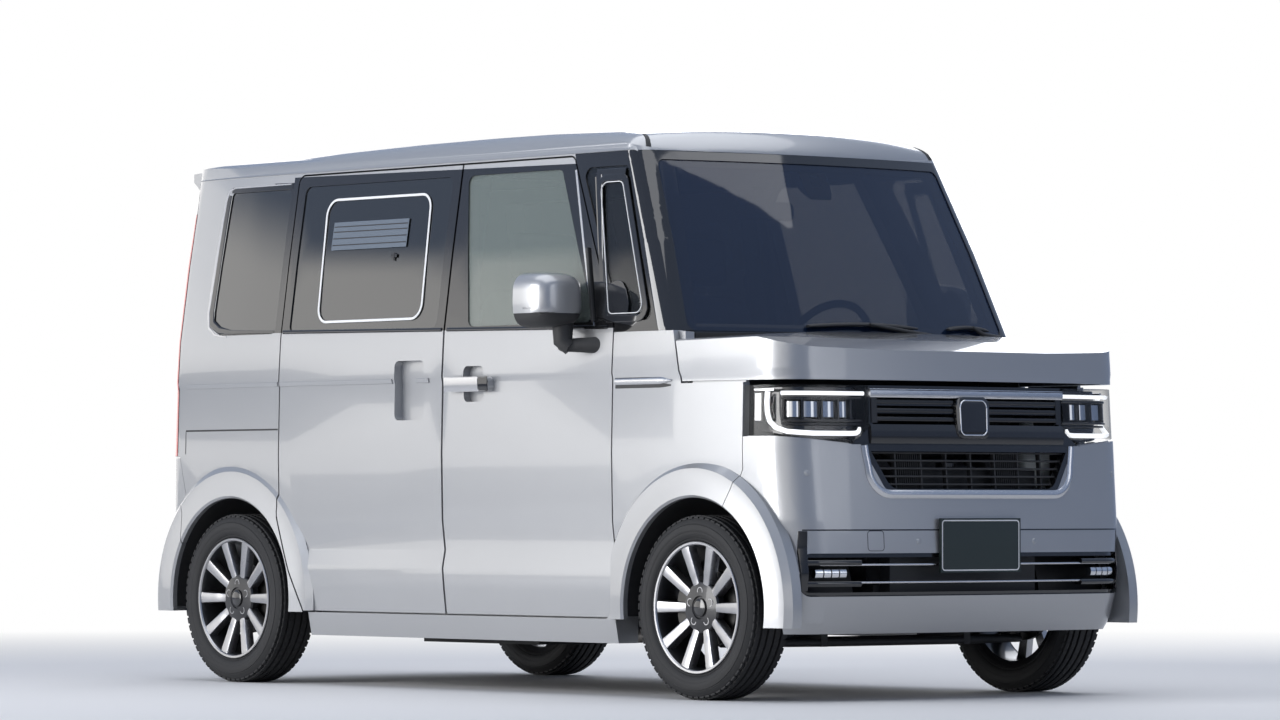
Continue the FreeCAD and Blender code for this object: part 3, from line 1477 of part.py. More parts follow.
def build_wheel(label):
    """One road wheel about its own axis, its face towards -Y: barrel, ten spokes, hub and lug holes."""
    body = new_body(label)
    half = "rim_width / 2"
    barrel = polygon_sketch(body, label + "_barrel_section", "XY_Plane", [
        ("rim_radius - rim_wall", "-" + half), ("rim_radius + rim_lip", "-" + half),
        ("rim_radius + rim_lip", "-" + half + " + rim_flange"), ("rim_radius", "-" + half + " + rim_flange"),
        ("rim_radius", "-" + half + " + rim_seat"), ("rim_well_radius", "-" + half + " + rim_seat * 1.4"),
        ("rim_well_radius", half + " - rim_seat * 1.4"), ("rim_radius", half + " - rim_seat"),
        ("rim_radius", half + " - rim_flange"), ("rim_radius + rim_lip", half + " - rim_flange"),
        ("rim_radius + rim_lip", half), ("rim_radius - rim_wall", half),
        ("rim_radius - rim_wall", half + " - rim_seat"),
        ("rim_well_radius - rim_wall", half + " - rim_seat * 1.4"),
        ("rim_well_radius - rim_wall", "-" + half + " + rim_seat * 1.4"),
        ("rim_radius - rim_wall", "-" + half + " + rim_seat")])
    revolve(body, label + "_barrel", barrel, "V_Axis")
    face = "-" + half + " + spoke_set_back"
    hub = polygon_sketch(body, label + "_hub_section", "XY_Plane", [
        ("0", face + " + hub_dish"), ("hub_radius", face + " + hub_dish"),
        ("hub_radius", face + " + hub_dish + hub_depth"), ("disc_radius", face + " + hub_dish + hub_depth"),
        ("disc_radius", face + " + hub_dish + hub_depth + disc_thick"),
        ("hub_bore_radius", face + " + hub_dish + hub_depth + disc_thick"),
        ("hub_bore_radius", face + " + hub_dish + hub_cap_thick"),
        ("0", face + " + hub_dish + hub_cap_thick")])
    revolve(body, label + "_hub", hub, "V_Axis")
    spoke = polygon_sketch(body, label + "_spoke_section", "XZ_Plane", [
        ("-spoke_root_width / 2", "hub_radius - hub_overlap"),
        ("spoke_root_width / 2", "hub_radius - hub_overlap"),
        ("spoke_tip_width / 2", "rim_radius - rim_wall / 2"),
        ("-spoke_tip_width / 2", "rim_radius - rim_wall / 2")])
    spoke.AttachmentOffset = Placement(Vector(0, 0, 0), Rotation())
    spoke.setExpression("AttachmentOffset.Base.z",
                        sheet_form("rim_width / 2 - spoke_set_back - spoke_depth / 2"))
    arm = pad_both_ways(body, label + "_spoke", spoke, "spoke_depth")
    polar(body, label + "_spokes", arm, "spoke_count", "Y_Axis")
    lugs = circle_sketch(body, label + "_lug_section", "XZ_Plane",
                         [("0", "lug_circle_radius", "lug_hole_radius")])
    lugs.setExpression("AttachmentOffset.Base.z", sheet_form("rim_width / 2"))
    hole = body.newObject("PartDesign::Pocket", label + "_lug")
    hole.Profile = lugs
    hole.setExpression("Length", sheet_form("spoke_set_back + hub_dish + hub_depth / 2"))
    polar(body, label + "_lugs", hole, "lug_count", "Y_Axis")
    return body


def build_tyre(label):
    """One tyre about its own axis."""
    body = new_body(label)
    half = "tyre_width / 2"
    seat = "rim_width / 2"
    inner = "rim_radius + seat_gap"
    section = polygon_sketch(body, label + "_section", "XY_Plane", [
        (inner, "-" + seat + " + rim_flange + seat_gap"),
        ("rim_radius + rim_lip", "-" + seat + " + rim_flange + seat_gap"),
        ("rim_radius + rim_lip + tyre_bead", "-" + seat + " - tyre_bead / 2"),
        ("rim_radius + (tyre_radius - rim_radius) * 0.55", "-" + half),
        ("tyre_radius - tyre_shoulder", "-" + half + " + tyre_bulge"),
        ("tyre_radius - tyre_shoulder / 3", "-" + half + " + tyre_shoulder / 2"),
        ("tyre_radius", "-" + half + " + tyre_shoulder * 1.6"),
        ("tyre_radius", half + " - tyre_shoulder * 1.6"),
        ("tyre_radius - tyre_shoulder / 3", half + " - tyre_shoulder / 2"),
        ("tyre_radius - tyre_shoulder", half + " - tyre_bulge"),
        ("rim_radius + (tyre_radius - rim_radius) * 0.55", half),
        ("rim_radius + rim_lip + tyre_bead", seat + " + tyre_bead / 2"),
        ("rim_radius + rim_lip", seat + " - rim_flange - seat_gap"),
        (inner, seat + " - rim_flange - seat_gap")])
    revolve(body, label + "_ring", section, "V_Axis")
    return body


def place(body, x, y, z, turn=0):
    """Set a sub-part's place, turned about the upright axis."""
    body.Placement = Placement(Vector(x, y, z), Rotation(Vector(0, 0, 1), turn))
    NODES.append(body)


def build_wheels():
    """Four wheels and tyres, the left ones turned to face outwards."""
    for end, axle in (("front", "front_axle_x"), ("rear", "rear_axle_x")):
        for side, sign, turn in (("right", -1, 0), ("left", 1, 180)):
            wheel = build_wheel("wheel_%s_%s" % (end, side))
            place(wheel, size(axle), sign * size("track_half"), size("tyre_radius"), turn)
            tyre = build_tyre("tyre_%s_%s" % (end, side))
            place(tyre, size(axle), sign * size("track_half"), size("tyre_radius"), turn)


def hub_inner_y():
    """How far out the inner face of the wheel's brake disc lies."""
    face = size("rim_width") / 2 - size("spoke_set_back") - size("hub_dish")
    return size("track_half") + face - size("hub_depth") - size("disc_thick")


def hub_shaft(axle, inner_y):
    """The right-hand stub that the wheel turns on."""
    reach = (hub_inner_y() + size("disc_thick") + size("hub_depth") - size("hub_cap_thick")
             - size("joint_clearance"))
    return rod(Vector(axle, -inner_y, size("tyre_radius")), Vector(axle, -reach, size("tyre_radius")),
               size("hub_shaft_radius"))


def build_knuckles():
    """The front hub carriers, with their steering arms and brake calipers."""
    x = size("front_axle_x")
    z = size("tyre_radius")
    outer = hub_inner_y() - size("disc_gap")
    inner = outer - size("knuckle_thick")
    half = size("knuckle_half_x")
    tall = size("knuckle_half_z")
    block = box(x - half, x + half, -outer, -inner, z - tall, z + tall)
    arm = box(x - half - size("steer_arm_reach"), x - half + size("steer_arm_width"), -outer,
              -outer + size("steer_arm_width"), z - size("steer_arm_width") / 2,
              z + size("steer_arm_width") / 2)
    shaft = hub_shaft(x, outer - size("knuckle_thick") / 2)
    ring_outer = size("disc_radius") + size("disc_gap") + size("caliper_thick")
    far = hub_inner_y() + size("disc_thick") + size("disc_gap") + size("caliper_thick")
    grip = size("disc_radius") - size("caliper_reach")
    caliper = cross_cylinder(x, z, ring_outer, -far, -outer + size("caliper_thick"))
    caliper = caliper.cut([cross_cylinder(x, z, grip, -far, -outer + size("caliper_thick")),
                           cross_cylinder(x, z, size("disc_radius") + size("disc_gap"),
                                          -hub_inner_y() - size("disc_thick") - size("disc_gap"), -outer)])
    caliper = caliper.common(box(x - ring_outer, x, -far, -inner, z - size("caliper_half"),
                                 z + size("caliper_half")))
    bridge = box(x - ring_outer + size("caliper_thick") / 2, x, -outer, -outer + size("caliper_thick"),
                 z - size("caliper_half") / 2, z + size("caliper_half") / 2)
    knuckle = joined([block, arm, shaft, largest(caliper), bridge])
    pin_y = -size("king_pin_y")
    foot = z - tall
    knuckle = knuckle.cut(rod(Vector(x, pin_y, foot - tall),
                              Vector(x, pin_y, foot + size("pin_depth") + size("joint_clearance")),
                              size("pin_radius") + size("column_fit")))
    add_feature("knuckle_right", largest(knuckle))
    add_feature("knuckle_left", left_copy(largest(knuckle)))


def build_floor():
    """The floor pan with its step up to the load floor, the firewall and the wheel housings."""
    half = size("sill_half") - size("frame_inner") - size("seat_gap")
    low = size("floor_z")
    thick = size("floor_thick")
    step = size("floor_step_x")
    high = size("load_floor_z")
    front = size("floor_front_x")
    top = size("firewall_top_z")
    wall_end = front + size("firewall_thick")
    outline = [(wall_end, low, 0), (wall_end, top, 0), (front, top, 0), (front, low + thick, 0),
               (step + thick, low + thick, 0),
               (step + thick, high + thick, 0), (size("load_floor_rear_x"), high + thick, 0),
               (size("load_floor_rear_x"), high, 0),
               (step, high, 0), (step, low, 0)]
    pan = side_prism(outline, -half, half)
    rails = []
    for sign in (-1, 1):
        middle = sign * size("rail_y")
        rails.append(box(wall_end, size("radiator_x"), middle - size("rail_width") / 2,
                         middle + size("rail_width") / 2,
                         size("engine_low_z"), size("engine_low_z") + size("rail_height")))
    pan = pan.multiFuse(rails).cut(arch_holes())
    add_feature("floor_pan", largest(pan.removeSplitter()))

    housings = []
    for axle, inner in (("front_axle_x", "front_liner_inner"), ("rear_axle_x", "rear_liner_inner")):
        centre = size(axle)
        outer_y = -size("half_width") + size("flare_lip") + size("seat_gap")
        inner_y = -size(inner) - size("seat_gap")
        big = cross_cylinder(centre, size("tyre_radius"), size("liner_radius"), outer_y, inner_y)
        small = cross_cylinder(centre, size("tyre_radius"), size("liner_radius") - size("liner_thick"),
                               outer_y, inner_y - size("liner_thick"))
        reach = size("liner_radius")
        keep = box(centre - reach, centre + reach, outer_y, inner_y, size("liner_low_z"),
                   size("tyre_radius") + reach)
        notch = size("beam_radius") + size("liner_notch")
        way = box(centre - notch, centre + notch, outer_y, inner_y, size("liner_low_z"),
                  size("tyre_radius") + notch)
        housings.append(largest(big.cut(small).common(keep).cut(way)))
    add_feature("wheel_housings", both_sides(Part.makeCompound(housings)))


def build_dash():
    """The dashboard with the steering column's shroud."""
    fit = size("seat_gap")
    front = size("floor_front_x") - fit
    outline = [(front, size("dash_low_z"), 0), (front, size("dash_top_z"), 0),
               (size("dash_brow_x"), size("dash_top_z"), size("window_corner")),
               (size("dash_face_x"), size("dash_face_z"), size("window_corner")),
               (size("dash_knee_x"), size("dash_knee_z"), 0),
               (size("dash_knee_x"), size("dash_low_z"), 0)]
    board = side_prism(outline, -size("dash_half"), size("dash_half"))
    axis = steer_axis()
    start = steer_centre() + axis * (size("steer_hub_thick") / 2 + size("shroud_gap"))
    shroud = rod(start, start + axis * size("shroud_length"), size("shroud_radius"))
    bore = rod(start - axis, start + axis * size("shroud_length") / 2,
               size("column_radius") + size("column_fit"))
    board = board.fuse(shroud).cut(bore)
    add_feature("dashboard", largest(board.cut(arch_holes()).removeSplitter()))


def steer_axis():
    """The steering column's direction, forwards and down."""
    angle = math.radians(size("steer_angle"))
    return Vector(math.cos(angle), 0, -math.sin(angle))


def steer_centre():
    """The middle of the steering wheel."""
    return Vector(size("steer_centre_x"), size("steer_centre_y"), size("steer_centre_z"))


def build_steering():
    """The steering wheel: grip ring, boss, three spokes and the shaft in the column."""
    axis = steer_axis()
    centre = steer_centre()
    grip = Part.makeTorus(size("steer_radius"), size("steer_grip"), centre, axis)
    thick = size("steer_hub_thick")
    boss = rod(centre - axis * (thick / 2), centre + axis * (thick / 2), size("steer_hub_radius"))
    shaft = rod(centre, centre + axis * (thick / 2 + size("shroud_gap") + size("shroud_length") / 3),
                size("column_radius"))
    spokes = []
    for angle in (0, 90, 180):
        bar = Part.makeBox(size("steer_radius"), size("steer_spoke_width"), size("steer_spoke_thick"),
                           Vector(0, -size("steer_spoke_width") / 2, -size("steer_spoke_thick") / 2))
        bar.rotate(Vector(0, 0, 0), Vector(0, 0, 1), angle + 180)
        bar.rotate(Vector(0, 0, 0), Vector(0, 0, 1), 90)
        spokes.append(bar)
    turn = Rotation(Vector(0, 0, 1), axis)
    for bar in spokes:
        bar.Placement = Placement(centre, turn).multiply(bar.Placement)
    add_feature("steering_wheel", largest(joined([grip, boss, shaft] + spokes)))


def seat_solid(shift, drop, width, centre_y):
    """One seat: base, cushion and reclined back, with its headrest on two posts."""
    soft = size("seat_soft_corner")
    back_x = size("seat_back_x") - shift
    front_x = size("seat_front_x") - shift
    top = size("seat_back_top_z") - drop
    cushion = size("seat_cushion_top_z") - drop
    low = size("seat_cushion_low_z") - drop
    lean = size("seat_recline")
    thick = size("seat_back_thick")
    outline = [(front_x, low, soft), (front_x, cushion, soft), (back_x, cushion - soft, soft),
               (back_x - lean, top, soft),
               (back_x - lean - thick, top, soft), (back_x - thick, low, soft)]
    form = side_prism(outline, centre_y - width / 2, centre_y + width / 2)
    base = box(back_x, front_x - size("seat_base_inset"), centre_y - size("seat_base_width") / 2,
               centre_y + size("seat_base_width") / 2,
               size("floor_z") + size("floor_thick") + size("seat_gap"), low + soft)
    return [form, base]


def headrest_solid(shift, drop, centre_y):
    """A headrest with its posts."""
    half = size("headrest_width") / 2
    x = size("headrest_x") - shift
    thick = size("headrest_thick")
    low = size("headrest_low_z") - drop
    high = size("headrest_top_z") - drop
    soft = size("seat_soft_corner")
    face = rounded_face([(centre_y - half, low, soft), (centre_y + half, low, soft),
                         (centre_y + half, high, soft),
                         (centre_y - half, high, soft)], lambda p: Vector(x - thick, p.x, p.y))
    pad = face.extrude(Vector(thick, 0, 0))
    top = size("seat_back_top_z") - drop - size("seat_soft_corner")
    posts = [rod(Vector(x - thick / 2, centre_y + sign * size("headrest_spread"), top),
                 Vector(x - thick / 2, centre_y + sign * size("headrest_spread"), low + soft),
                 size("headrest_post"))
             for sign in (-1, 1)]
    return [pad] + posts


def build_seats():
    """Two front seats and the rear bench."""
    middle = -size("seat_centre_y")
    seat = joined(seat_solid(0, 0, size("seat_width"), middle) + headrest_solid(0, 0, middle))
    add_feature("front_seats", both_sides(largest(seat)))
    shift = size("rear_seat_shift")
    drop = size("rear_seat_drop")
    bench = seat_solid(shift, drop, size("rear_seat_width"), 0)
    for sign in (-1, 1):
        bench += headrest_solid(shift, drop, sign * size("rear_seat_centre_y"))
    add_feature("rear_seat", largest(joined(bench)))


def build_underside():
    """The engine block, radiator, fuel tank, exhaust, front suspension and rear axle."""
    fit = size("seat_gap")
    half = size("rail_y") - size("rail_width") / 2 - fit
    rear = size("engine_rear_x")
    add_feature("engine_block", box(rear, rear + size("engine_length"), -half, half, size("engine_low_z"),
                                    size("engine_low_z") + size("engine_height")))
    x = size("radiator_x") + fit
    add_feature("radiator", box(x, x + size("radiator_thick"), -size("radiator_half"), size("radiator_half"),
                                size("radiator_low_z"), size("radiator_top_z")))
    top = size("floor_z") - fit
    tank_front = size("tank_front_x")
    add_feature("fuel_tank", box(tank_front - size("tank_length"), tank_front, -size("tank_width") / 2,
                                 size("tank_width") / 2,
                                 top - size("tank_height"), top))

    z = size("pipe_z")
    y = -size("pipe_y")
    axle_z = size("engine_low_z") + size("pipe_rise")
    drop_x = rear - size("pipe_drop")
    path = [Vector(rear - fit, -half / 2, axle_z), Vector(drop_x, -half / 2, axle_z),
            Vector(drop_x, -half / 2, z),
            Vector(size("floor_front_x") + y / 2, y, z),
            Vector(size("silencer_x") + size("silencer_radius") * 3, y, z),
            Vector(size("silencer_x"), y + size("silencer_length") / 3, size("silencer_z"))]
    radius = size("pipe_radius")
    pieces = [rod(path[k], path[k + 1], radius) for k in range(len(path) - 1)]
    pieces += [Part.makeSphere(radius, point) for point in path[1:-1]]
    silencer_y = y + size("silencer_length") / 3
    pieces.append(cross_cylinder(size("silencer_x"), size("silencer_z"), size("silencer_radius"),
                                 silencer_y - size("silencer_length") / 4,
                                 silencer_y + size("silencer_length") * 3 / 4))
    pieces.append(rod(Vector(size("silencer_x"), y, size("silencer_z") - size("silencer_radius") / 2),
                      Vector(size("tail_pipe_x"), y, size("silencer_z") - size("silencer_radius") / 2),
                      radius))
    hanger_top = size("load_floor_z") - fit
    pieces.append(box(size("silencer_x") - radius, size("silencer_x") + radius, silencer_y,
                      silencer_y + radius,
                      size("silencer_z"), hanger_top))
    add_feature("exhaust", largest(joined(pieces)))

    axle = size("rear_axle_x")
    level = size("tyre_radius")
    pieces = [cross_cylinder(axle, level, size("beam_radius"), -size("beam_half"), size("beam_half"))]
    bush_x = size("floor_step_x") - size("bush_radius") - fit
    shaft = hub_shaft(axle, size("beam_half") - size("bush_half"))
    pieces += [shaft, left_copy(shaft)]
    for sign in (-1, 1):
        side = sign * size("arm_y")
        pieces.append(rod(Vector(axle, side, level), Vector(bush_x, side, level), size("arm_radius")))
        pieces.append(cross_cylinder(bush_x, level, size("bush_radius"), side - size("bush_half"),
                                     side + size("bush_half")))
        pieces.append(rod(Vector(size("spring_x"), side, level),
                          Vector(size("spring_x"), side, size("load_floor_z") - fit), size("spring_radius")))
    add_feature("rear_axle", largest(joined(pieces)))

    x = size("front_axle_x")
    inner = size("wishbone_inner_y")
    outer = size("king_pin_y")
    low = level - size("knuckle_half_z") - size("joint_clearance") - size("wishbone_thick")
    pieces = []
    half_bar = size("wishbone_thick") / 2
    for sign in (-1, 1):
        joint = Vector(x, sign * outer, low + half_bar)
        for lean in (-1, 1):
            pieces.append(rod(joint, Vector(x + lean * size("wishbone_spread"), sign * inner,
                                            low + half_bar), half_bar))
        pieces.append(Part.makeSphere(half_bar, joint))
        pieces.append(rod(joint, Vector(x, sign * outer,
                                        level - size("knuckle_half_z") + size("pin_depth")),
                          size("pin_radius")))
        strut_y = sign * size("strut_y")
        pieces.append(rod(Vector(x, strut_y, low + half_bar), Vector(x, strut_y, size("strut_top_z")),
                          size("strut_radius")))
        pieces.append(rod(Vector(x, strut_y, low + half_bar), Vector(x, sign * inner, low + half_bar),
                          half_bar))
    for lean in (-1, 1):
        pieces.append(cross_cylinder(x + lean * size("wishbone_spread"), low + half_bar, half_bar, -inner,
                                     inner))
    for sign in (-1, 1):
        pieces.append(box(x - size("wishbone_spread") - half_bar, x + size("wishbone_spread") + half_bar,
                          sign * size("rail_y") - half_bar, sign * size("rail_y") + half_bar, low,
                          size("engine_low_z") - fit))
    add_feature("front_suspension", largest(joined(pieces)))


def build_mirrors():
    """The door mirrors, each on a foot at the door's front corner."""
    half = size("mirror_width") / 2
    y = -size("mirror_y")
    low = size("mirror_low_z")
    corner = size("mirror_corner")
    x = size("mirror_x")
    outline = [(y - half, low, corner), (y + half, low, corner),
               (y + half, low + size("mirror_height"), corner),
               (y - half, low + size("mirror_height"), corner)]
    head = rounded_face(outline, lambda p: Vector(x - size("mirror_length") / 2, p.x,
                                                  p.y)).extrude(Vector(size("mirror_length"), 0, 0))
    front_x = x + size("mirror_length") / 2
    rim = [edge for edge in head.Edges if edge.BoundBox.XMin > front_x - size("seat_gap")]
    head = head.makeFillet(size("mirror_round"), rim)
    foot_half = size("mirror_foot_width") / 2
    foot = box(x - foot_half, size("mirror_foot_x"), y, 0, size("mirror_foot_z"), low + corner)
    foot = largest(foot.cut([skin("lower", -size("seat_gap")), skin("upper", -size("seat_gap"))]))
    mirror = largest(joined([head, foot]))
    add_feature("mirror_right", mirror)
    add_feature("mirror_left", left_copy(mirror))


def flap_outline():
    """The fuel flap, seen from the side."""
    corner = size("door_corner")
    return [(size("flap_rear_x"), size("flap_low_z"), corner),
            (size("flap_front_x"), size("flap_low_z"), corner),
            (size("flap_front_x"), size("flap_top_z"), corner),
            (size("flap_rear_x"), size("flap_top_z"), corner)]


def finish():
    """Recompute, test every object and write each sub-part's file."""
    DOC.recompute()
    for item in DOC.Objects:
        if "Invalid" in item.State or "Error" in item.State:
            raise RuntimeError("%s failed: %s" % (item.Label, item.State))
    os.makedirs("parts", exist_ok=True)
    for node in NODES:
        if node.Shape.isNull() or not node.Shape.isValid():
            raise RuntimeError(node.Label + " has no valid shape")
        node.Shape.exportStep("parts/" + node.Label + ".step")


fill_sheet()
build_doors()
build_body_sides()
build_front_panels()
build_glass()
build_roof()
build_tailgate()
build_nose()
build_tail()
build_wheels()
build_knuckles()
build_floor()
build_dash()
build_steering()
build_seats()
build_underside()
build_mirrors()
finish()
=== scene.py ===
"""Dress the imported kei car: paint, glass, lamps, wheels, seats and trim around the CAD frame."""
from __future__ import annotations

import json
import logging
import math
from contextlib import contextmanager
from dataclasses import dataclass
from enum import Enum
from typing import Callable, Iterator, Sequence

import bmesh
import bpy
from mathutils import Matrix, Vector

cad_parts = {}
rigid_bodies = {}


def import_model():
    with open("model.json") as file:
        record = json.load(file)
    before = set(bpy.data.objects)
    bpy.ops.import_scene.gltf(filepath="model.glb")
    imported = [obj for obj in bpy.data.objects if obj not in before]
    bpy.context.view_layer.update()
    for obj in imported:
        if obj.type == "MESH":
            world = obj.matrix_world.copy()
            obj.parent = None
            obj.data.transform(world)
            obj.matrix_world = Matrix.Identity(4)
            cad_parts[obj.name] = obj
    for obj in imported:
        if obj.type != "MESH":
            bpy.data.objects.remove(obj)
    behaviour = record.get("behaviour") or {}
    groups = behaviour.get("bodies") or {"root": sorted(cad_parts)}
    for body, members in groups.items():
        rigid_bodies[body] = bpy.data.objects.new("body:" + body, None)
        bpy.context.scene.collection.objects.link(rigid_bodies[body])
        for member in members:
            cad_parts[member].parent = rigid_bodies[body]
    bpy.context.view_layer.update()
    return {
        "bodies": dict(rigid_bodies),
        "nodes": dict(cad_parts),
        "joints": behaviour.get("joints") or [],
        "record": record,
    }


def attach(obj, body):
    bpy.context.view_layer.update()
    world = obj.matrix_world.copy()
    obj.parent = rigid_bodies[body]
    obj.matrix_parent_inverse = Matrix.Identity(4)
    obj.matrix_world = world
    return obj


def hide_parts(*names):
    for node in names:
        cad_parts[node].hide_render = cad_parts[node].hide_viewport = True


LOG = logging.getLogger("kei_car")
FRONT_AXLE, REAR_AXLE = 1.2, -1.22
HALF_TRACK, AXLE_HEIGHT = 0.648, 0.2815
PLATE_FACE = 1.6976
SHARP_ANGLE = math.radians(35)
TURN_SCALE = 400.0  # degrees for each metre, where a strip's path is given by its turn
SIDES = ((-1, "right"), (1, "left"))
Point = tuple[float, float, float]
Mesh = bmesh.types.BMesh
Item = bpy.types.Object
Material = bpy.types.Material
Tree = bpy.types.NodeTree
Node = bpy.types.Node
Socket = bpy.types.NodeSocket


class Surface(Enum):
    """How a finish is textured."""

    PLAIN = "plain"
    PAINT = "paint"
    GRAIN = "grain"
    BRUSHED = "brushed"
    WEAVE = "weave"
    GLASS = "glass"
    LIGHT = "light"


@dataclass(frozen=True)
class Finish:
    """One finish of the car, with the numbers that its shader needs."""

    name: str
    color: Point
    surface: Surface = Surface.PLAIN
    metallic: float = 0.0
    roughness: float = 0.5
    coat: float = 0.0
    spread: float = 0.05
    scale: float = 40.0
    bump: float = 0.0
    alpha: float = 1.0
    emission: float = 0.0
    slot: str = "dark_plastic"


class Paint:
    """The finishes that the car wears."""

    SILVER = Finish("silver_lacquer", (0.4, 0.405, 0.415), Surface.PAINT, 0.6, 0.34, 1.0, 0.02, 900.0,
                    0.05, slot="paint")
    BLACK_FILM = Finish("black_film", (0.01, 0.01, 0.011), Surface.PLAIN, 0.0, 0.06, 1.0, 0.1, 30.0,
                        slot="black_pillar")
    GLOSS_BLACK = Finish("gloss_black", (0.01, 0.01, 0.011), Surface.PLAIN, 0.0, 0.1, 0.8, 0.1, 30.0,
                         slot="gloss_black")
    DARK = Finish("grained_black", (0.022, 0.022, 0.023), Surface.GRAIN, 0.0, 0.58, 0.0, 0.18, 1400.0,
                  0.12, slot="dark_plastic")
    CABIN = Finish("cabin_moulding", (0.05, 0.05, 0.054), Surface.GRAIN, 0.0, 0.62, 0.0, 0.15, 1100.0,
                   0.15, slot="cabin_plastic")
    LINING = Finish("headlining_felt", (0.46, 0.46, 0.44), Surface.WEAVE, 0.0, 0.92, 0.0, 0.08, 700.0, 0.1,
                    slot="headlining")
    CLOTH = Finish("seat_cloth", (0.06, 0.061, 0.066), Surface.WEAVE, 0.0, 0.88, 0.0, 0.25, 620.0, 0.3,
                   slot="seat_cloth")
    SATIN = Finish("satin_plating", (0.62, 0.62, 0.63), Surface.BRUSHED, 1.0, 0.24, 0.0, 0.04, 60.0,
                   slot="satin_chrome")
    BRIGHT = Finish("bright_plating", (0.8, 0.8, 0.81), Surface.PLAIN, 1.0, 0.06, 0.0, 0.02, 20.0,
                    slot="satin_chrome")
    MACHINED = Finish("machined_alloy", (0.43, 0.43, 0.44), Surface.BRUSHED, 1.0, 0.3, 0.3, 0.05, 90.0,
                      slot="alloy")
    POCKET = Finish("dark_alloy", (0.016, 0.016, 0.018), Surface.PLAIN, 0.3, 0.34, 0.5, 0.1, 60.0,
                    slot="alloy")
    RUBBER = Finish("tyre_rubber", (0.013, 0.013, 0.014), Surface.GRAIN, 0.0, 0.72, 0.0, 0.22, 420.0, 0.16,
                    slot="tyre")
    # Steel darkened far below its own tone: painted shade for the dark inside the wheel behind the spokes.
    # The knuckles and lug nuts wear it too.
    STEEL_IN_PAINTED_SHADE = Finish("turned_steel_painted_shade", (0.075, 0.073, 0.07), Surface.BRUSHED, 0.9, 0.42, 0.0, 0.14, 70.0,
                   slot="brake_steel")
    PIPE = Finish("coated_pipe", (0.3, 0.28, 0.26), Surface.BRUSHED, 0.8, 0.46, 0.0, 0.25, 25.0,
                  slot="exhaust_steel")
    CHASSIS = Finish("chassis_black", (0.03, 0.031, 0.033), Surface.GRAIN, 0.2, 0.55, 0.0, 0.25, 180.0,
                     0.1, slot="under_steel")
    CAST = Finish("cast_iron", (0.15, 0.15, 0.16), Surface.GRAIN, 0.7, 0.6, 0.0, 0.2, 300.0, 0.2,
                  slot="engine_cast")
    CLEAR = Finish("clear_glass", (0.21, 0.245, 0.225), Surface.GLASS, 0.0, 0.02, 1.0, 0.0, 1.0,
                   alpha=0.34, slot="clear_glass")
    SCREEN = Finish("screen_glass", (0.01, 0.022, 0.056), Surface.GLASS, 0.0, 0.02, 0.0, 0.0, 1.0,
                    alpha=0.66, slot="clear_glass")
    PRIVACY = Finish("privacy_glass", (0.008, 0.009, 0.009), Surface.GLASS, 0.0, 0.03, 1.0, 0.0, 1.0,
                     alpha=0.9, slot="privacy_glass")
    LENS = Finish("lamp_lens", (0.05, 0.055, 0.06), Surface.GLASS, 0.0, 0.02, 0.0, 0.0, 1.0, alpha=0.1,
                  slot="headlamp")
    REFLECTOR = Finish("lamp_reflector", (0.7, 0.71, 0.73), Surface.PLAIN, 1.0, 0.12, 0.0, 0.02, 30.0,
                       slot="headlamp")
    GUIDE = Finish("light_guide", (0.9, 0.92, 0.95), Surface.LIGHT, 0.0, 0.3, emission=1.3, slot="headlamp")
    AMBER = Finish("amber_lens", (0.75, 0.28, 0.03), Surface.PLAIN, 0.0, 0.15, 0.5, slot="headlamp")
    RED = Finish("red_lens", (0.46, 0.016, 0.018), Surface.PLAIN, 0.0, 0.1, 0.8, slot="tail_lens")
    PALE_LENS = Finish("pale_lens", (0.55, 0.54, 0.54), Surface.PLAIN, 0.0, 0.1, 0.8, slot="tail_lens")
    GLOW = Finish("red_light_line", (0.85, 0.035, 0.03), Surface.LIGHT, 0.0, 0.2, emission=0.5,
                  slot="tail_lens")
    BOTTLE = Finish("milky_plastic", (0.62, 0.64, 0.62), Surface.PLAIN, 0.0, 0.45, slot="clear_glass")
    CARPET = Finish("floor_carpet", (0.04, 0.04, 0.043), Surface.WEAVE, 0.0, 0.95, 0.0, 0.2, 500.0, 0.4,
                    slot="seat_cloth")
    TINTED = Finish("tinted_glass", (0.008, 0.009, 0.009), Surface.GLASS, 0.0, 0.03, 0.0, 0.0, 1.0,
                    alpha=0.88, slot="privacy_glass")
    SHADE = Finish("window_shade", (0.105, 0.13, 0.165), Surface.PLAIN, 0.0, 0.25, 0.5, slot="privacy_glass")
    DECAL = Finish("pale_outline", (0.72, 0.73, 0.74), Surface.PLAIN, 0.0, 0.4, slot="privacy_glass")
    PLATE = Finish("plate_enamel", (0.016, 0.026, 0.022), Surface.PLAIN, 0.0, 0.3, 0.4, slot="plate_paint")
    MIRROR = Finish("mirror_silvering", (0.86, 0.87, 0.88), Surface.PLAIN, 1.0, 0.02, 0.0, 0.0, 1.0,
                    slot="satin_chrome")


# Shaders

def feed(tree: Tree, node: Node, inputs: dict) -> None:
    """Link or set a node's inputs, by name or number: a socket is linked, anything else is a value."""
    for key, value in inputs.items():
        if isinstance(value, Socket):
            tree.links.new(value, node.inputs[key])
        else:
            node.inputs[key].default_value = value


def add_node(tree: Tree, kind: str, inputs: dict, **settings: object) -> Node:
    """Add a node to a tree, with what goes into its inputs and its own properties."""
    node = tree.nodes.new(kind)
    for label, value in settings.items():
        setattr(node, label, value)
    feed(tree, node, inputs)
    return node


def math_node(tree: Tree, operation: str, first: Socket | float, second: Socket | float) -> Socket:
    """Add a maths node whose operands are sockets or numbers, and return its result."""
    return add_node(tree, "ShaderNodeMath", {0: first, 1: second}, operation=operation).outputs[0]


def mix_numbers(tree: Tree, mask: Socket, first: Socket | float, second: Socket | float) -> Socket:
    """Mix two numbers, each a socket or a plain number, by a mask."""
    return add_node(tree, "ShaderNodeMix", {2: first, 3: second, "Factor": mask},
                    data_type="FLOAT").outputs[0]


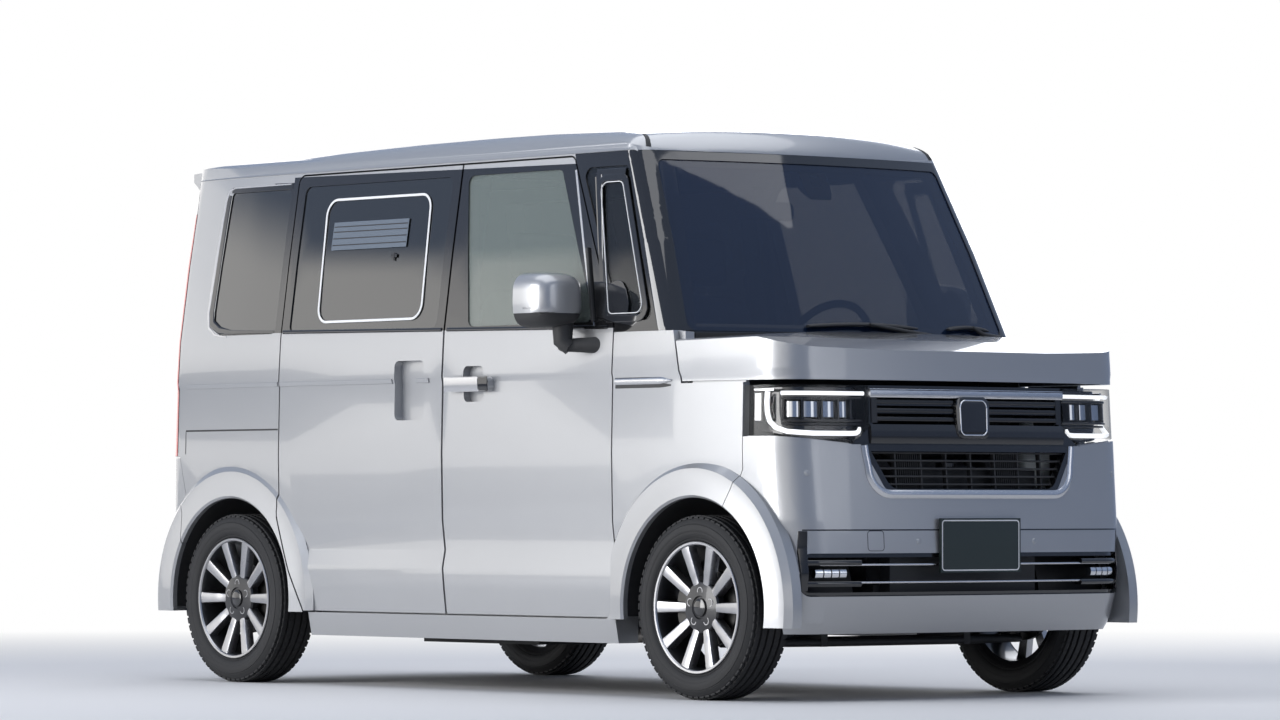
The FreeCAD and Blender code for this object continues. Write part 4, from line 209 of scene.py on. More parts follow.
def mix_colors(tree: Tree, mask: Socket, first: Socket | Point, second: Socket | Point) -> Socket:
    """Mix two colours, each a socket or a plain colour, by a mask."""
    first, second = ((*value, 1.0) if isinstance(value, tuple) else value for value in (first, second))
    return add_node(tree, "ShaderNodeMix", {6: first, 7: second, "Factor": mask}, data_type="RGBA").outputs[2]


def new_group(name: str, result: str, **inputs: float) -> tuple[Tree, bpy.types.NodeOutputs, Socket, Socket]:
    """Start a shader node group.

    Args:
        name: The group's name.
        result: The name of its output.
        inputs: Name and default of each input.

    Returns:
        The tree, its input's sockets, the socket that the result goes to, and the place on the object.
    """
    tree = bpy.data.node_groups.new(name, "ShaderNodeTree")
    for label, value in inputs.items():
        tree.interface.new_socket(name=label, in_out="INPUT",
                                  socket_type="NodeSocketFloat").default_value = value
    tree.interface.new_socket(name=result, in_out="OUTPUT", socket_type="NodeSocketFloat")
    start, end = tree.nodes.new("NodeGroupInput"), tree.nodes.new("NodeGroupOutput")
    return tree, start.outputs, end.inputs[0], tree.nodes.new("ShaderNodeTexCoord").outputs["Object"]


def new_geometry_tree(name: str, **inputs: str) -> tuple[Tree, bpy.types.NodeOutputs, Socket, dict[str, str]]:
    """Start a geometry node tree.

    Args:
        name: The tree's name.
        inputs: Name and kind of each input besides the geometry.

    Returns:
        The tree, its input's sockets, the socket that the result goes to, and each input's identifier.
    """
    tree = bpy.data.node_groups.new(name, "GeometryNodeTree")
    names = {}
    for label, kind in {"Geometry": "Geometry", **inputs}.items():
        names[label] = tree.interface.new_socket(name=label, in_out="INPUT",
                                                 socket_type="NodeSocket" + kind).identifier
    tree.interface.new_socket(name="Geometry", in_out="OUTPUT", socket_type="NodeSocketGeometry")
    start, end = tree.nodes.new("NodeGroupInput"), tree.nodes.new("NodeGroupOutput")
    return tree, start.outputs, end.inputs[0], names


class Effects:
    """The shader groups that several finishes share."""

    def __init__(self) -> None:
        """Build each group once."""
        self.cloudy = self.build_cloudy()
        self.grain = self.build_grain()
        self.weave = self.build_weave()
        self.brushed = self.build_brushed()
        self.film_band = self.build_film_band()
        self.inner_side = self.build_inner_side()

    def build_cloudy(self) -> Tree:
        """A slow change of brightness, about one, for colour and roughness."""
        tree, given, result, place = new_group("slow_variation", "Factor", Scale=3.0, Amount=0.1)
        noise = add_node(tree, "ShaderNodeTexNoise",
                         {"Vector": place, "Scale": given["Scale"], "Detail": 4.0})
        centred = math_node(tree, "SUBTRACT", noise.outputs["Fac"], 0.5)
        swing = math_node(tree, "MULTIPLY", centred, given["Amount"])
        tree.links.new(math_node(tree, "ADD", swing, 1.0), result)
        return tree

    def build_grain(self) -> Tree:
        """The pebbled height of moulded plastic, rubber or a casting."""
        tree, given, result, place = new_group("pebble_grain", "Height", Scale=800.0)
        cells = add_node(tree, "ShaderNodeTexVoronoi", {"Vector": place, "Scale": given["Scale"]})
        tree.links.new(math_node(tree, "POWER", cells.outputs["Distance"], 1.6), result)
        return tree

    def build_weave(self) -> Tree:
        """Warp and weft threads crossing at right angles."""
        tree, given, result, place = new_group("thread_weave", "Height", Scale=600.0)
        threads = [add_node(tree, "ShaderNodeTexWave", {
            "Vector": place, "Scale": given["Scale"], "Distortion": 0.6, "Detail": 1.0},
            bands_direction=direction)
            for direction in ("X", "Y", "Z")]
        first, second, third = (thread.outputs["Fac"] for thread in threads)
        total = math_node(tree, "ADD", math_node(tree, "ADD", first, second), third)
        tree.links.new(math_node(tree, "MULTIPLY", total, 0.33), result)
        return tree

    def build_brushed(self) -> Tree:
        """Fine streaks, drawn out across the car, for turned and plated metal."""
        tree, given, result, place = new_group("fine_streaks", "Factor", Scale=60.0)
        stretch = add_node(tree, "ShaderNodeMapping",
                           {"Vector": place, "Scale": (9.0, 0.6, 9.0)}).outputs["Vector"]
        noise = add_node(tree, "ShaderNodeTexNoise",
                         {"Vector": stretch, "Scale": given["Scale"], "Detail": 2.0})
        tree.links.new(noise.outputs["Fac"], result)
        return tree

    def build_film_band(self) -> Tree:
        """A mask of a band round the sides, with a lower edge that falls forwards."""
        tree, given, result, place = new_group("window_band", "Mask", Low=1.15, Slope=0.013, High=1.67,
                                               Rear=-0.98,
                                               Front=0.95, Lean=0.0)
        parts = add_node(tree, "ShaderNodeSeparateXYZ", {"Vector": place}).outputs
        along, height = parts["X"], parts["Z"]
        level = math_node(tree, "ADD", height, math_node(tree, "MULTIPLY", along, given["Slope"]))
        across = math_node(tree, "MULTIPLY", math_node(tree, "GREATER_THAN", level, given["Low"]),
                           math_node(tree, "LESS_THAN", level, given["High"]))
        lean = math_node(tree, "MULTIPLY", math_node(tree, "SUBTRACT", height, given["Low"]), given["Lean"])
        ahead = math_node(tree, "GREATER_THAN", math_node(tree, "SUBTRACT", along, lean), given["Rear"])
        lengthways = math_node(tree, "MULTIPLY", ahead, math_node(tree, "LESS_THAN", along, given["Front"]))
        tree.links.new(math_node(tree, "MULTIPLY", across, lengthways), result)
        return tree

    def build_inner_side(self) -> Tree:
        """A mask of faces that look into the cabin, by their normal and their place."""
        tree, given, result, place = new_group("cabin_side", "Mask", Turn=0.35)
        middle = add_node(tree, "ShaderNodeVectorMath", {0: place, 1: (0.3, 1.0, 0.5), 2: (0.06, 0.0, -0.5)},
                          operation="MULTIPLY_ADD").outputs[0]
        outwards = add_node(tree, "ShaderNodeVectorMath", {0: middle}, operation="NORMALIZE").outputs[0]
        normal = tree.nodes.new("ShaderNodeNewGeometry").outputs["True Normal"]
        facing = add_node(tree, "ShaderNodeVectorMath", {0: outwards, 1: normal}, operation="DOT_PRODUCT")
        limit = math_node(tree, "MULTIPLY", given["Turn"], -1.0)
        tree.links.new(math_node(tree, "LESS_THAN", facing.outputs["Value"], limit), result)
        return tree


@dataclass(frozen=True)
class Band:
    """A band of another finish across a piece: its levels and its ends, in metres."""

    low: float = 1.152
    high: float = 1.672
    rear: float = -0.985
    front: float = 1.3
    slope: float = 0.013
    lean: float = 0.0
    tone: Finish = Paint.BLACK_FILM


class MaterialShop:
    """Makes each finish's material once and hands it out by name."""

    def __init__(self) -> None:
        """Build the shared effects."""
        self.effects = Effects()
        self.made: dict[str, Material] = {}

    def group(self, tree: Tree, effect: Tree, **values: float) -> Socket:
        """Place a shared effect in a material, set its inputs and return its result."""
        return add_node(tree, "ShaderNodeGroup", values, node_tree=effect).outputs[0]

    def get(self, finish: Finish) -> Material:
        """The material of a finish."""
        if finish.name not in self.made:
            self.made[finish.name] = self.build(finish)
        return self.made[finish.name]

    def build(self, finish: Finish, bands: Sequence[Band] = (), lined: Finish | None = None,
              name: str = "") -> Material:
        """Make a material.

        Args:
            finish: The finish.
            bands: Bands of other finishes to lay over it.
            lined: The finish of the faces that look into the cabin, if they differ.
            name: The material's name, if it isn't the finish's.

        Returns:
            The new material.
        """
        material = bpy.data.materials.new(name or finish.name)
        material.use_nodes = True
        tree = material.node_tree
        shader = tree.nodes["Principled BSDF"]
        cloud = self.group(tree, self.effects.cloudy, Scale=3.0, Amount=finish.spread * 2)
        color = add_node(tree, "ShaderNodeVectorMath", {0: finish.color, "Scale": cloud},
                         operation="SCALE").outputs[0]
        rough, metal, coat = finish.roughness, finish.metallic, finish.coat
        if finish.surface is Surface.BRUSHED:
            streaks = self.group(tree, self.effects.brushed, Scale=finish.scale)
            swing = math_node(tree, "MULTIPLY", math_node(tree, "SUBTRACT", streaks, 0.5), 0.16)
            rough = math_node(tree, "ADD", swing, finish.roughness)
        elif finish.surface is not Surface.GLASS:
            rough = math_node(tree, "MULTIPLY", cloud, finish.roughness)
        for band in bands:
            mask = self.group(tree, self.effects.film_band, Low=band.low, High=band.high, Rear=band.rear,
                              Front=band.front, Slope=band.slope, Lean=band.lean)
            color = mix_colors(tree, mask, color, band.tone.color)
            rough = mix_numbers(tree, mask, rough, band.tone.roughness)
            metal = mix_numbers(tree, mask, metal, 0.0)
        if lined is not None:
            mask = self.group(tree, self.effects.inner_side, Turn=0.35)
            color = mix_colors(tree, mask, color, lined.color)
            rough = mix_numbers(tree, mask, rough, lined.roughness)
            metal = mix_numbers(tree, mask, metal, lined.metallic)
            coat = mix_numbers(tree, mask, coat, 0.0)
        feed(tree, shader, {"Base Color": color, "Roughness": rough, "Metallic": metal, "Coat Weight": coat,
                            "Coat Roughness": 0.04})
        self.add_relief(tree, shader, finish)
        if finish.surface is Surface.GLASS:
            self.make_glass(material, shader, finish)
        if finish.surface is Surface.LIGHT:
            feed(tree, shader, {"Emission Color": (*finish.color, 1.0), "Emission Strength": finish.emission})
        return material

    def add_relief(self, tree: Tree, shader: Node, finish: Finish) -> None:
        """Give a grained, woven or flaked finish its bump."""
        effect = {Surface.GRAIN: self.effects.grain, Surface.PAINT: self.effects.grain,
                  Surface.WEAVE: self.effects.weave}.get(finish.surface)
        if effect is not None and finish.bump:
            height = self.group(tree, effect, Scale=finish.scale)
            bump = add_node(tree, "ShaderNodeBump",
                            {"Strength": finish.bump, "Distance": 0.0004, "Height": height})
            tree.links.new(bump.outputs["Normal"], shader.inputs["Normal"])

    def make_glass(self, material: Material, shader: Node, finish: Finish) -> None:
        """Let light through a pane, less at a glancing angle."""
        tree = material.node_tree
        rim = add_node(tree, "ShaderNodeLayerWeight", {"Blend": 0.25}).outputs["Facing"]
        feed(tree, shader, {"Specular IOR Level": 0.9, "Alpha": mix_numbers(tree, rim, finish.alpha, 1.0)})
        material.surface_render_method = "BLENDED"


# Mesh helpers

def mesh_object(name: str, mesh: Mesh, material: Material | None = None,
                smooth: bool = True, outwards: bool = True) -> Item:
    """Turn a bmesh into an object at the origin.

    Args:
        name: The object's name.
        mesh: The bmesh, which is freed.
        material: Its material.
        smooth: Whether its faces shade smoothly, with sharp edges kept sharp.
        outwards: Whether to turn its normals outwards.

    Returns:
        The linked object.
    """
    if outwards:
        bmesh.ops.recalc_face_normals(mesh, faces=mesh.faces[:])
    for face in mesh.faces:
        face.smooth = smooth
    data = bpy.data.meshes.new(name)
    mesh.to_mesh(data)
    mesh.free()
    item = bpy.data.objects.new(name, data)
    bpy.context.scene.collection.objects.link(item)
    if material is not None:
        data.materials.append(material)
    if smooth:
        data.set_sharp_from_angle(angle=SHARP_ANGLE)
    return item


def add_grid(mesh: Mesh, rows: Sequence[Sequence[Point]], closed: bool = False,
             material: int = 0) -> list[list[bmesh.types.BMVert]]:
    """Add rows of points joined into quads.

    Args:
        mesh: The bmesh to add to.
        rows: Rows of points, all of one length.
        closed: Whether each row joins its last point to its first.
        material: The material index of the faces.

    Returns:
        The vertices, row by row.
    """
    made = [[mesh.verts.new(point) for point in row] for row in rows]
    for lower, upper in zip(made, made[1:]):
        count = len(lower)
        for index in range(count if closed else count - 1):
            following = (index + 1) % count
            face = mesh.faces.new((lower[index], lower[following], upper[following], upper[index]))
            face.material_index = material
    return made


def add_tube(mesh: Mesh, rings: Sequence[Sequence[Point]], capped: bool = True, material: int = 0) -> None:
    """Add a closed skin through rings of points, with its ends filled."""
    made = add_grid(mesh, rings, closed=True, material=material)
    if capped:
        for ring in (made[0], made[-1]):
            mesh.faces.new(ring).material_index = material


def add_box(mesh: Mesh, low: Point, high: Point, bevel: float = 0.0) -> None:
    """Add a box with rounded edges."""
    part = bmesh.new()
    bmesh.ops.create_cube(part, size=1.0)
    size = [high[i] - low[i] for i in range(3)]
    middle = [(high[i] + low[i]) / 2 for i in range(3)]
    for vert in part.verts:
        vert.co = Vector([vert.co[i] * size[i] + middle[i] for i in range(3)])
    if bevel:
        bmesh.ops.bevel(part, geom=part.edges[:], offset=min(bevel, min(size) * 0.45), segments=3,
                        affect="EDGES", profile=0.5)
    merge_into(mesh, part)


def merge_into(mesh: Mesh, part: Mesh, material: int = 0) -> None:
    """Copy one bmesh into another and free it."""
    data = bpy.data.meshes.new("part")
    for face in part.faces:
        face.material_index = material
    part.to_mesh(data)
    part.free()
    mesh.from_mesh(data)
    bpy.data.meshes.remove(data)


def add_rod(mesh: Mesh, points: Sequence[Point], radius: float | Sequence[float], sides: int = 12) -> None:
    """Add a round bar along a path, with its own radius at each point."""
    path = [Vector(point) for point in points]
    radii = [radius] * len(path) if isinstance(radius, (int, float)) else list(radius)
    rings = []
    side = None
    for index, here in enumerate(path):
        ahead = path[min(index + 1, len(path) - 1)]
        behind = path[max(index - 1, 0)]
        along = (ahead - behind).normalized()
        if side is None:
            side = along.orthogonal().normalized()
        side = (side - along * side.dot(along)).normalized()
        up = along.cross(side)
        rings.append([here + (side * math.cos(a) + up * math.sin(a)) * radii[index]
                      for a in turns(sides)])
    add_tube(mesh, rings)


def add_turned(mesh: Mesh, profile: Sequence[tuple[float, float]], axis: str = "Y", centre: Point = (0, 0, 0),
               sides: int = 64, closed: bool = True, material: int = 0) -> None:
    """Add a turned form.

    Args:
        mesh: The bmesh to add to.
        profile: Radius and distance along the axis of each point.
        axis: X, Y or Z.
        centre: Where the profile's zero lies.
        sides: Steps round the axis.
        closed: Whether the profile joins its last point to its first.
        material: The material index of the faces.
    """
    rings = []
    for step in range(sides):
        angle = 2 * math.pi * step / sides
        a, b = math.cos(angle), math.sin(angle)
        ring = []
        for radius, along in profile:
            place = {"X": (along, radius * a, radius * b), "Y": (radius * a, along, radius * b),
                     "Z": (radius * a, radius * b, along)}[axis]
            ring.append(tuple(place[i] + centre[i] for i in range(3)))
        rings.append(ring)
    rings.append(rings[0])
    part = bmesh.new()
    add_grid(part, rings, closed=closed)
    bmesh.ops.remove_doubles(part, verts=part.verts[:], dist=1e-6)
    merge_into(mesh, part, material)


def spread(first: float, last: float, count: int) -> list[float]:
    """Evenly spaced numbers with both ends."""
    return [first + (last - first) * k / (count - 1) for k in range(count)]


def row(first: float, last: float, count: int, height: float) -> list[tuple[float, float]]:
    """A level path over a surface, from one place to another."""
    return [(place, height) for place in spread(first, last, count)]


def column(place: float, low: float, high: float, count: int) -> list[tuple[float, float]]:
    """An upright path over a surface, from one height to another."""
    return [(place, height) for height in spread(low, high, count)]


def panel(first: float, last: float, count: int, low: float, high: float) -> list[Point]:
    """Columns of one low and one high height, from one place to another."""
    return [(place, low, high) for place in spread(first, last, count)]


def turns(count: int) -> list[float]:
    """Evenly spaced angles round a full turn."""
    return [math.tau * k / count for k in range(count)]


def rounded_loop(corners: Sequence[tuple[float, float, float]], steps: int = 6) -> list[tuple[float, float]]:
    """A closed polygon with rounded corners, each corner two coordinates and a radius."""
    points = []
    count = len(corners)
    for index in range(count):
        before = Vector(corners[index - 1][:2])
        here = Vector(corners[index][:2])
        after = Vector(corners[(index + 1) % count][:2])
        radius = corners[index][2]
        first, second = (before - here).normalized(), (after - here).normalized()
        half = math.acos(max(-1.0, min(1.0, first.dot(second)))) / 2
        if radius <= 0 or half > 1.55:
            points.append(tuple(here))
            continue
        reach = min(radius / math.tan(half), (before - here).length * 0.49, (after - here).length * 0.49)
        radius = reach * math.tan(half)
        centre = here + (first + second).normalized() * (radius / math.sin(half))
        start, end = here + first * reach - centre, here + second * reach - centre
        sweep = start.angle_signed(end)
        for step in range(steps + 1):
            turned = start.copy()
            turned.rotate(Matrix.Rotation(-sweep * step / steps, 2))
            points.append(tuple(centre + turned))
    return points


def rounded_box(left: float, right: float, low: float, high: float, radius: float,
                steps: int) -> list[tuple[float, float]]:
    """An upright rectangle with one radius at its corners."""
    return rounded_loop([(left, low, radius), (right, low, radius), (right, high, radius),
                         (left, high, radius)], steps)


def finish_piece(item: Item, body: str, slot: str, replaced: Sequence[str] = ()) -> Item:
    """Let a piece ride on a body, and hide the CAD nodes that it stands for.

    Args:
        item: The piece.
        body: The body that it rides on.
        slot: The record's material slot; not used.
        replaced: CAD nodes that it replaces.

    Returns:
        The piece.
    """
    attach(item, body)
    if replaced:
        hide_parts(*replaced)
    LOG.info("%s rides on %s", item.name, body)
    return item


@dataclass
class Kit:
    """A group of pieces that take their finishes from one shop."""

    shop: MaterialShop

    @contextmanager
    def piece(self, name: str, finish: Finish, body: str = "body", slot: str = "",
              replaced: Sequence[str] = ()) -> Iterator[Mesh]:
        """Start a piece's mesh, and make the piece when the block that fills it ends.

        Args:
            name: The piece's name.
            finish: Its finish.
            body: The body that it rides on.
            slot: The record's material slot, if it isn't the finish's.
            replaced: CAD nodes that it replaces.

        Yields:
            The mesh to fill.
        """
        mesh = bmesh.new()
        yield mesh
        finish_piece(mesh_object(name, mesh, self.shop.get(finish)), body, slot or finish.slot, replaced)


def bake_nodes(item: Item) -> None:
    """Replace an object's mesh by what its modifiers make, and remove them."""
    bpy.context.view_layer.update()
    graph = bpy.context.evaluated_depsgraph_get()
    data = bpy.data.meshes.new_from_object(item.evaluated_get(graph), depsgraph=graph)
    item.modifiers.clear()
    item.data = data


# The stage

@dataclass
class Stage:
    """The floor, the lights, the white surround and the camera."""

    eye: Point = (15.21414, -12.41067, 0.59324)
    heading: Point = (-0.773541, 0.633285, 0.024163)
    lens: float = 168.75
    floor_half: float = 60.0
    floor_near: float = 3.5
    floor_far: float = 9.0
    floor_shade: float = 0.74
    surround: float = 0.6
    cool: Point = (0.2, 0.26, 0.4)
    warm: Point = (1.5, 1.48, 1.46)
    above: Point = (0.28, 0.35, 0.5)
    warm_side: Point = (-0.8, -0.6, 0.0)
    warm_edges: tuple[float, float] = (-0.3, 0.4)
    above_edges: tuple[float, float] = (0.196, 0.224)

    def build(self) -> None:
        """Make everything that isn't the car."""
        self.build_camera()
        self.build_world()
        self.build_floor()
        self.build_lights()

    def build_camera(self) -> None:
        """The camera at the photograph's viewing angle."""
        data = bpy.data.cameras.new("camera")
        data.lens = self.lens
        data.sensor_width = 36.0
        data.clip_end = 200.0
        camera = bpy.data.objects.new("camera", data)
        bpy.context.scene.collection.objects.link(camera)
        camera.location = self.eye
        camera.rotation_euler = Vector(self.heading).to_track_quat("-Z", "Y").to_euler()
        bpy.context.scene.camera = camera

    def ease(self, tree: Tree, value: Socket, low: float, high: float) -> Socket:
        """A share that rises smoothly from nought to one between two values."""
        return add_node(tree, "ShaderNodeMapRange", {"Value": value, "From Min": low, "From Max": high},
                        interpolation_type="SMOOTHSTEP").outputs["Result"]

    def build_world(self) -> None:
        """A surround that is white to the eye, and as light cool ahead, warm at the side and dark above."""
        world = bpy.data.worlds.new("studio")
        bpy.context.scene.world = world
        world.use_nodes = True
        tree = world.node_tree
        toward = tree.nodes.new("ShaderNodeTexCoord").outputs["Generated"]
        flank = add_node(tree, "ShaderNodeVectorMath", {0: toward, 1: self.warm_side},
                         operation="DOT_PRODUCT")
        height = add_node(tree, "ShaderNodeSeparateXYZ", {0: toward})
        sky = mix_colors(tree, self.ease(tree, flank.outputs["Value"], *self.warm_edges), self.cool,
                         self.warm)
        dome = mix_colors(tree, self.ease(tree, height.outputs["Z"], *self.above_edges), sky, self.above)
        ray = tree.nodes.new("ShaderNodeLightPath").outputs
        open_view = math_node(tree, "MAXIMUM", ray["Is Camera Ray"], ray["Is Transmission Ray"])
        seen = math_node(tree, "MAXIMUM", ray["Is Camera Ray"], ray["Is Glossy Ray"])
        seen = math_node(tree, "MAXIMUM", seen, ray["Is Transmission Ray"])
        lift = math_node(tree, "MULTIPLY", seen, 1.0 - self.surround)
        feed(tree, tree.nodes["Background"], {"Color": mix_colors(tree, open_view, dome, (1.0, 1.0, 1.0)),
                                              "Strength": math_node(tree, "ADD", lift, self.surround)})

    def build_floor(self) -> None:
        """A pale floor that fades into the surround."""
        mesh = bmesh.new()
        bmesh.ops.create_grid(mesh, x_segments=1, y_segments=1, size=self.floor_half)
        material = bpy.data.materials.new("studio_floor")
        material.use_nodes = True
        tree, shade = material.node_tree, self.floor_shade
        shader = tree.nodes["Principled BSDF"]
        feed(tree, shader, {"Base Color": (shade, shade, shade * 1.01, 1.0), "Roughness": 0.75,
                            "Specular IOR Level": 0.2})
        place = tree.nodes.new("ShaderNodeTexCoord").outputs["Object"]
        reach = add_node(tree, "ShaderNodeVectorMath", {0: place}, operation="LENGTH").outputs["Value"]
        fade = add_node(tree, "ShaderNodeMapRange", {
            "Value": reach, "From Min": self.floor_near, "From Max": self.floor_far}).outputs["Result"]
        seen = math_node(tree, "MULTIPLY", fade,
                         tree.nodes.new("ShaderNodeLightPath").outputs["Is Camera Ray"])
        white = tree.nodes.new("ShaderNodeEmission").outputs[0]
        blend = add_node(tree, "ShaderNodeMixShader", {0: seen, 1: shader.outputs[0], 2: white})
        tree.links.new(blend.outputs[0], tree.nodes["Material Output"].inputs["Surface"])
        mesh_object("studio_floor", mesh, material, smooth=False, outwards=False)

    def build_lights(self) -> None:
        """Soft lamps above and at both sides."""
        for name, place, aim, size, power in (
                ("overhead", (0.5, 0.0, 6.0), (0, 0, 0.8), 7.0, 230.0),
                ("side_key", (-2.5, -9.0, 2.6), (0, 0, 0.8), 6.0, 720.0),
                ("nose_fill", (9.0, 1.5, 3.2), (0.5, 0, 0.7), 4.0, 60.0),
                ("far_fill", (-5.0, 7.0, 4.0), (0, 0, 0.8), 5.0, 160.0)):
            data = bpy.data.lights.new(name, "AREA")
            data.shape = "SQUARE"
            data.size = size
            data.energy = power
            lamp = bpy.data.objects.new(name, data)
            lamp.location = place
            lamp.rotation_euler = (Vector(aim) - Vector(place)).to_track_quat("-Z", "Y").to_euler()
            bpy.context.scene.collection.objects.link(lamp)


# The painted shell

@dataclass
class Shell:
    """Dresses the CAD nodes whose shape is right as it stands."""

    frame: dict
    shop: MaterialShop
    smooth_angle: float = 32.0
    window_band: Band = Band()
    quarter_band: Band = Band(1.152, 1.655, -1.1, 1.3)
    clear_lens: Band = Band(0.85, 0.96, -1.8, 0.0, 0.0, tone=Paint.PALE_LENS)
    turn_lens: Band = Band(0.966, 1.08, -1.8, 0.0, 0.0, tone=Paint.AMBER)

    def plain_nodes(self) -> dict[str, Finish]:
        """The nodes that wear one finish."""
        corners = ("front_left", "front_right", "rear_left", "rear_right")
        wear = ((Paint.SILVER, "bonnet fenders front_bumper rear_bumper fuel_flap side_sills"),
                (Paint.SILVER, "mirror_left mirror_right"), (Paint.DARK, "cowl fuel_tank wheel_housings"),
                (Paint.CABIN, "dashboard steering_wheel"), (Paint.CAST, "engine_block"),
                (Paint.PIPE, "exhaust"), (Paint.GLOSS_BLACK, "grilles"), (Paint.LENS, "headlamps"),
                (Paint.CHASSIS, "front_suspension radiator rear_axle"),
                (Paint.STEEL_IN_PAINTED_SHADE, "knuckle_left knuckle_right"), (Paint.BLACK_FILM, "screen_surround"),
                (Paint.PLATE, "front_plate"), (Paint.CLEAR, "front_door_glass_left front_door_glass_right"),
                (Paint.SCREEN, "windscreen"), (Paint.TINTED, "tailgate_glass"),
                (Paint.CLOTH, "front_seats rear_seat"),
                (Paint.RUBBER, " ".join("tyre_" + corner for corner in corners)),
                (Paint.MACHINED, " ".join("wheel_" + corner for corner in corners)))
        return {name: finish for finish, names in wear for name in names.split()}

    def build(self) -> None:
        """Give every CAD node its finish and smooth shading."""
        shop, band = self.shop, self.window_band
        materials = {name: shop.get(finish) for name, finish in self.plain_nodes().items()}
        door = shop.build(Paint.SILVER, [band], Paint.CABIN, "door_lacquer")
        materials.update(front_door_left=door, front_door_right=door, sliding_doors=door)
        materials["body_sides"] = shop.build(Paint.SILVER, [band, self.quarter_band], Paint.CABIN,
                                             "flank_lacquer")
        materials["tailgate"] = shop.build(Paint.SILVER, [], Paint.CABIN, "tailgate_lacquer")
        materials["floor_pan"] = shop.build(Paint.CHASSIS, [], Paint.CARPET, "floor_coating")
        materials["roof_panel"] = shop.build(Paint.SILVER, [], Paint.LINING, "roof_lacquer")
        materials["side_glass"] = shop.get(Paint.PRIVACY)
        self.clear_ahead(materials["side_glass"])
        materials["tail_lamps"] = shop.build(Paint.RED, [self.clear_lens, self.turn_lens], name="tail_lens")
        for name, item in self.frame["nodes"].items():
            item.data.materials.clear()
            item.data.materials.append(materials.get(name) or shop.get(Paint.DARK))
            self.smooth(item)

    def clear_ahead(self, material: Material, start: float = 0.45, alpha: float = 0.25) -> None:
        """Let the small front panes of the side glass be clear, and the rear ones dark.

        Args:
            material: The side glass's material.
            start: Where the clear panes begin along the car.
            alpha: How much the clear panes hide.
        """
        tree = material.node_tree
        blend = tree.nodes["Principled BSDF"].inputs["Alpha"].links[0].from_node
        place = tree.nodes.new("ShaderNodeTexCoord").outputs["Object"]
        parts = add_node(tree, "ShaderNodeSeparateXYZ", {"Vector": place})
        ahead = math_node(tree, "GREATER_THAN", parts.outputs["X"], start)
        dark = blend.inputs[2].default_value
        tree.links.new(mix_numbers(tree, ahead, dark, alpha), blend.inputs[2])

    def smooth(self, item: Item) -> None:
        """Merge a node's loose faces and shade it smoothly up to a sharp edge."""
        weld = item.modifiers.new("merge", "WELD")
        weld.merge_threshold = 0.00002
        sharpen = item.modifiers.new("edges", "NODES")
        sharpen.node_group = self.edge_tree()

    def edge_tree(self) -> Tree:
        """The node tree that marks edges sharp by their angle."""
        name = "shade_by_angle"
        if name in bpy.data.node_groups:
            return bpy.data.node_groups[name]
        tree, given, result, _ = new_geometry_tree(name)
        angle = tree.nodes.new("GeometryNodeInputMeshEdgeAngle").outputs["Unsigned Angle"]
        test = tree.nodes.new("FunctionNodeCompare")
        test.data_type, test.operation = "FLOAT", "LESS_THAN"
        feed(tree, test, {0: angle, 1: math.radians(self.smooth_angle)})
        faces = add_node(tree, "GeometryNodeSetShadeSmooth", {"Geometry": given[0]}, domain="FACE").outputs[0]
        edges = add_node(tree, "GeometryNodeSetShadeSmooth",
                         {"Geometry": faces, "Shade Smooth": test.outputs[0]},
                         domain="EDGE")
        tree.links.new(edges.outputs[0], result)
        return tree


# The body's outer form

@dataclass(frozen=True)
class EndShape:
    """The radii of one end of a plan outline, in metres."""

    end_radius: float
    corner: float
    side_radius: float = 0.0
    bend: float = 0.0


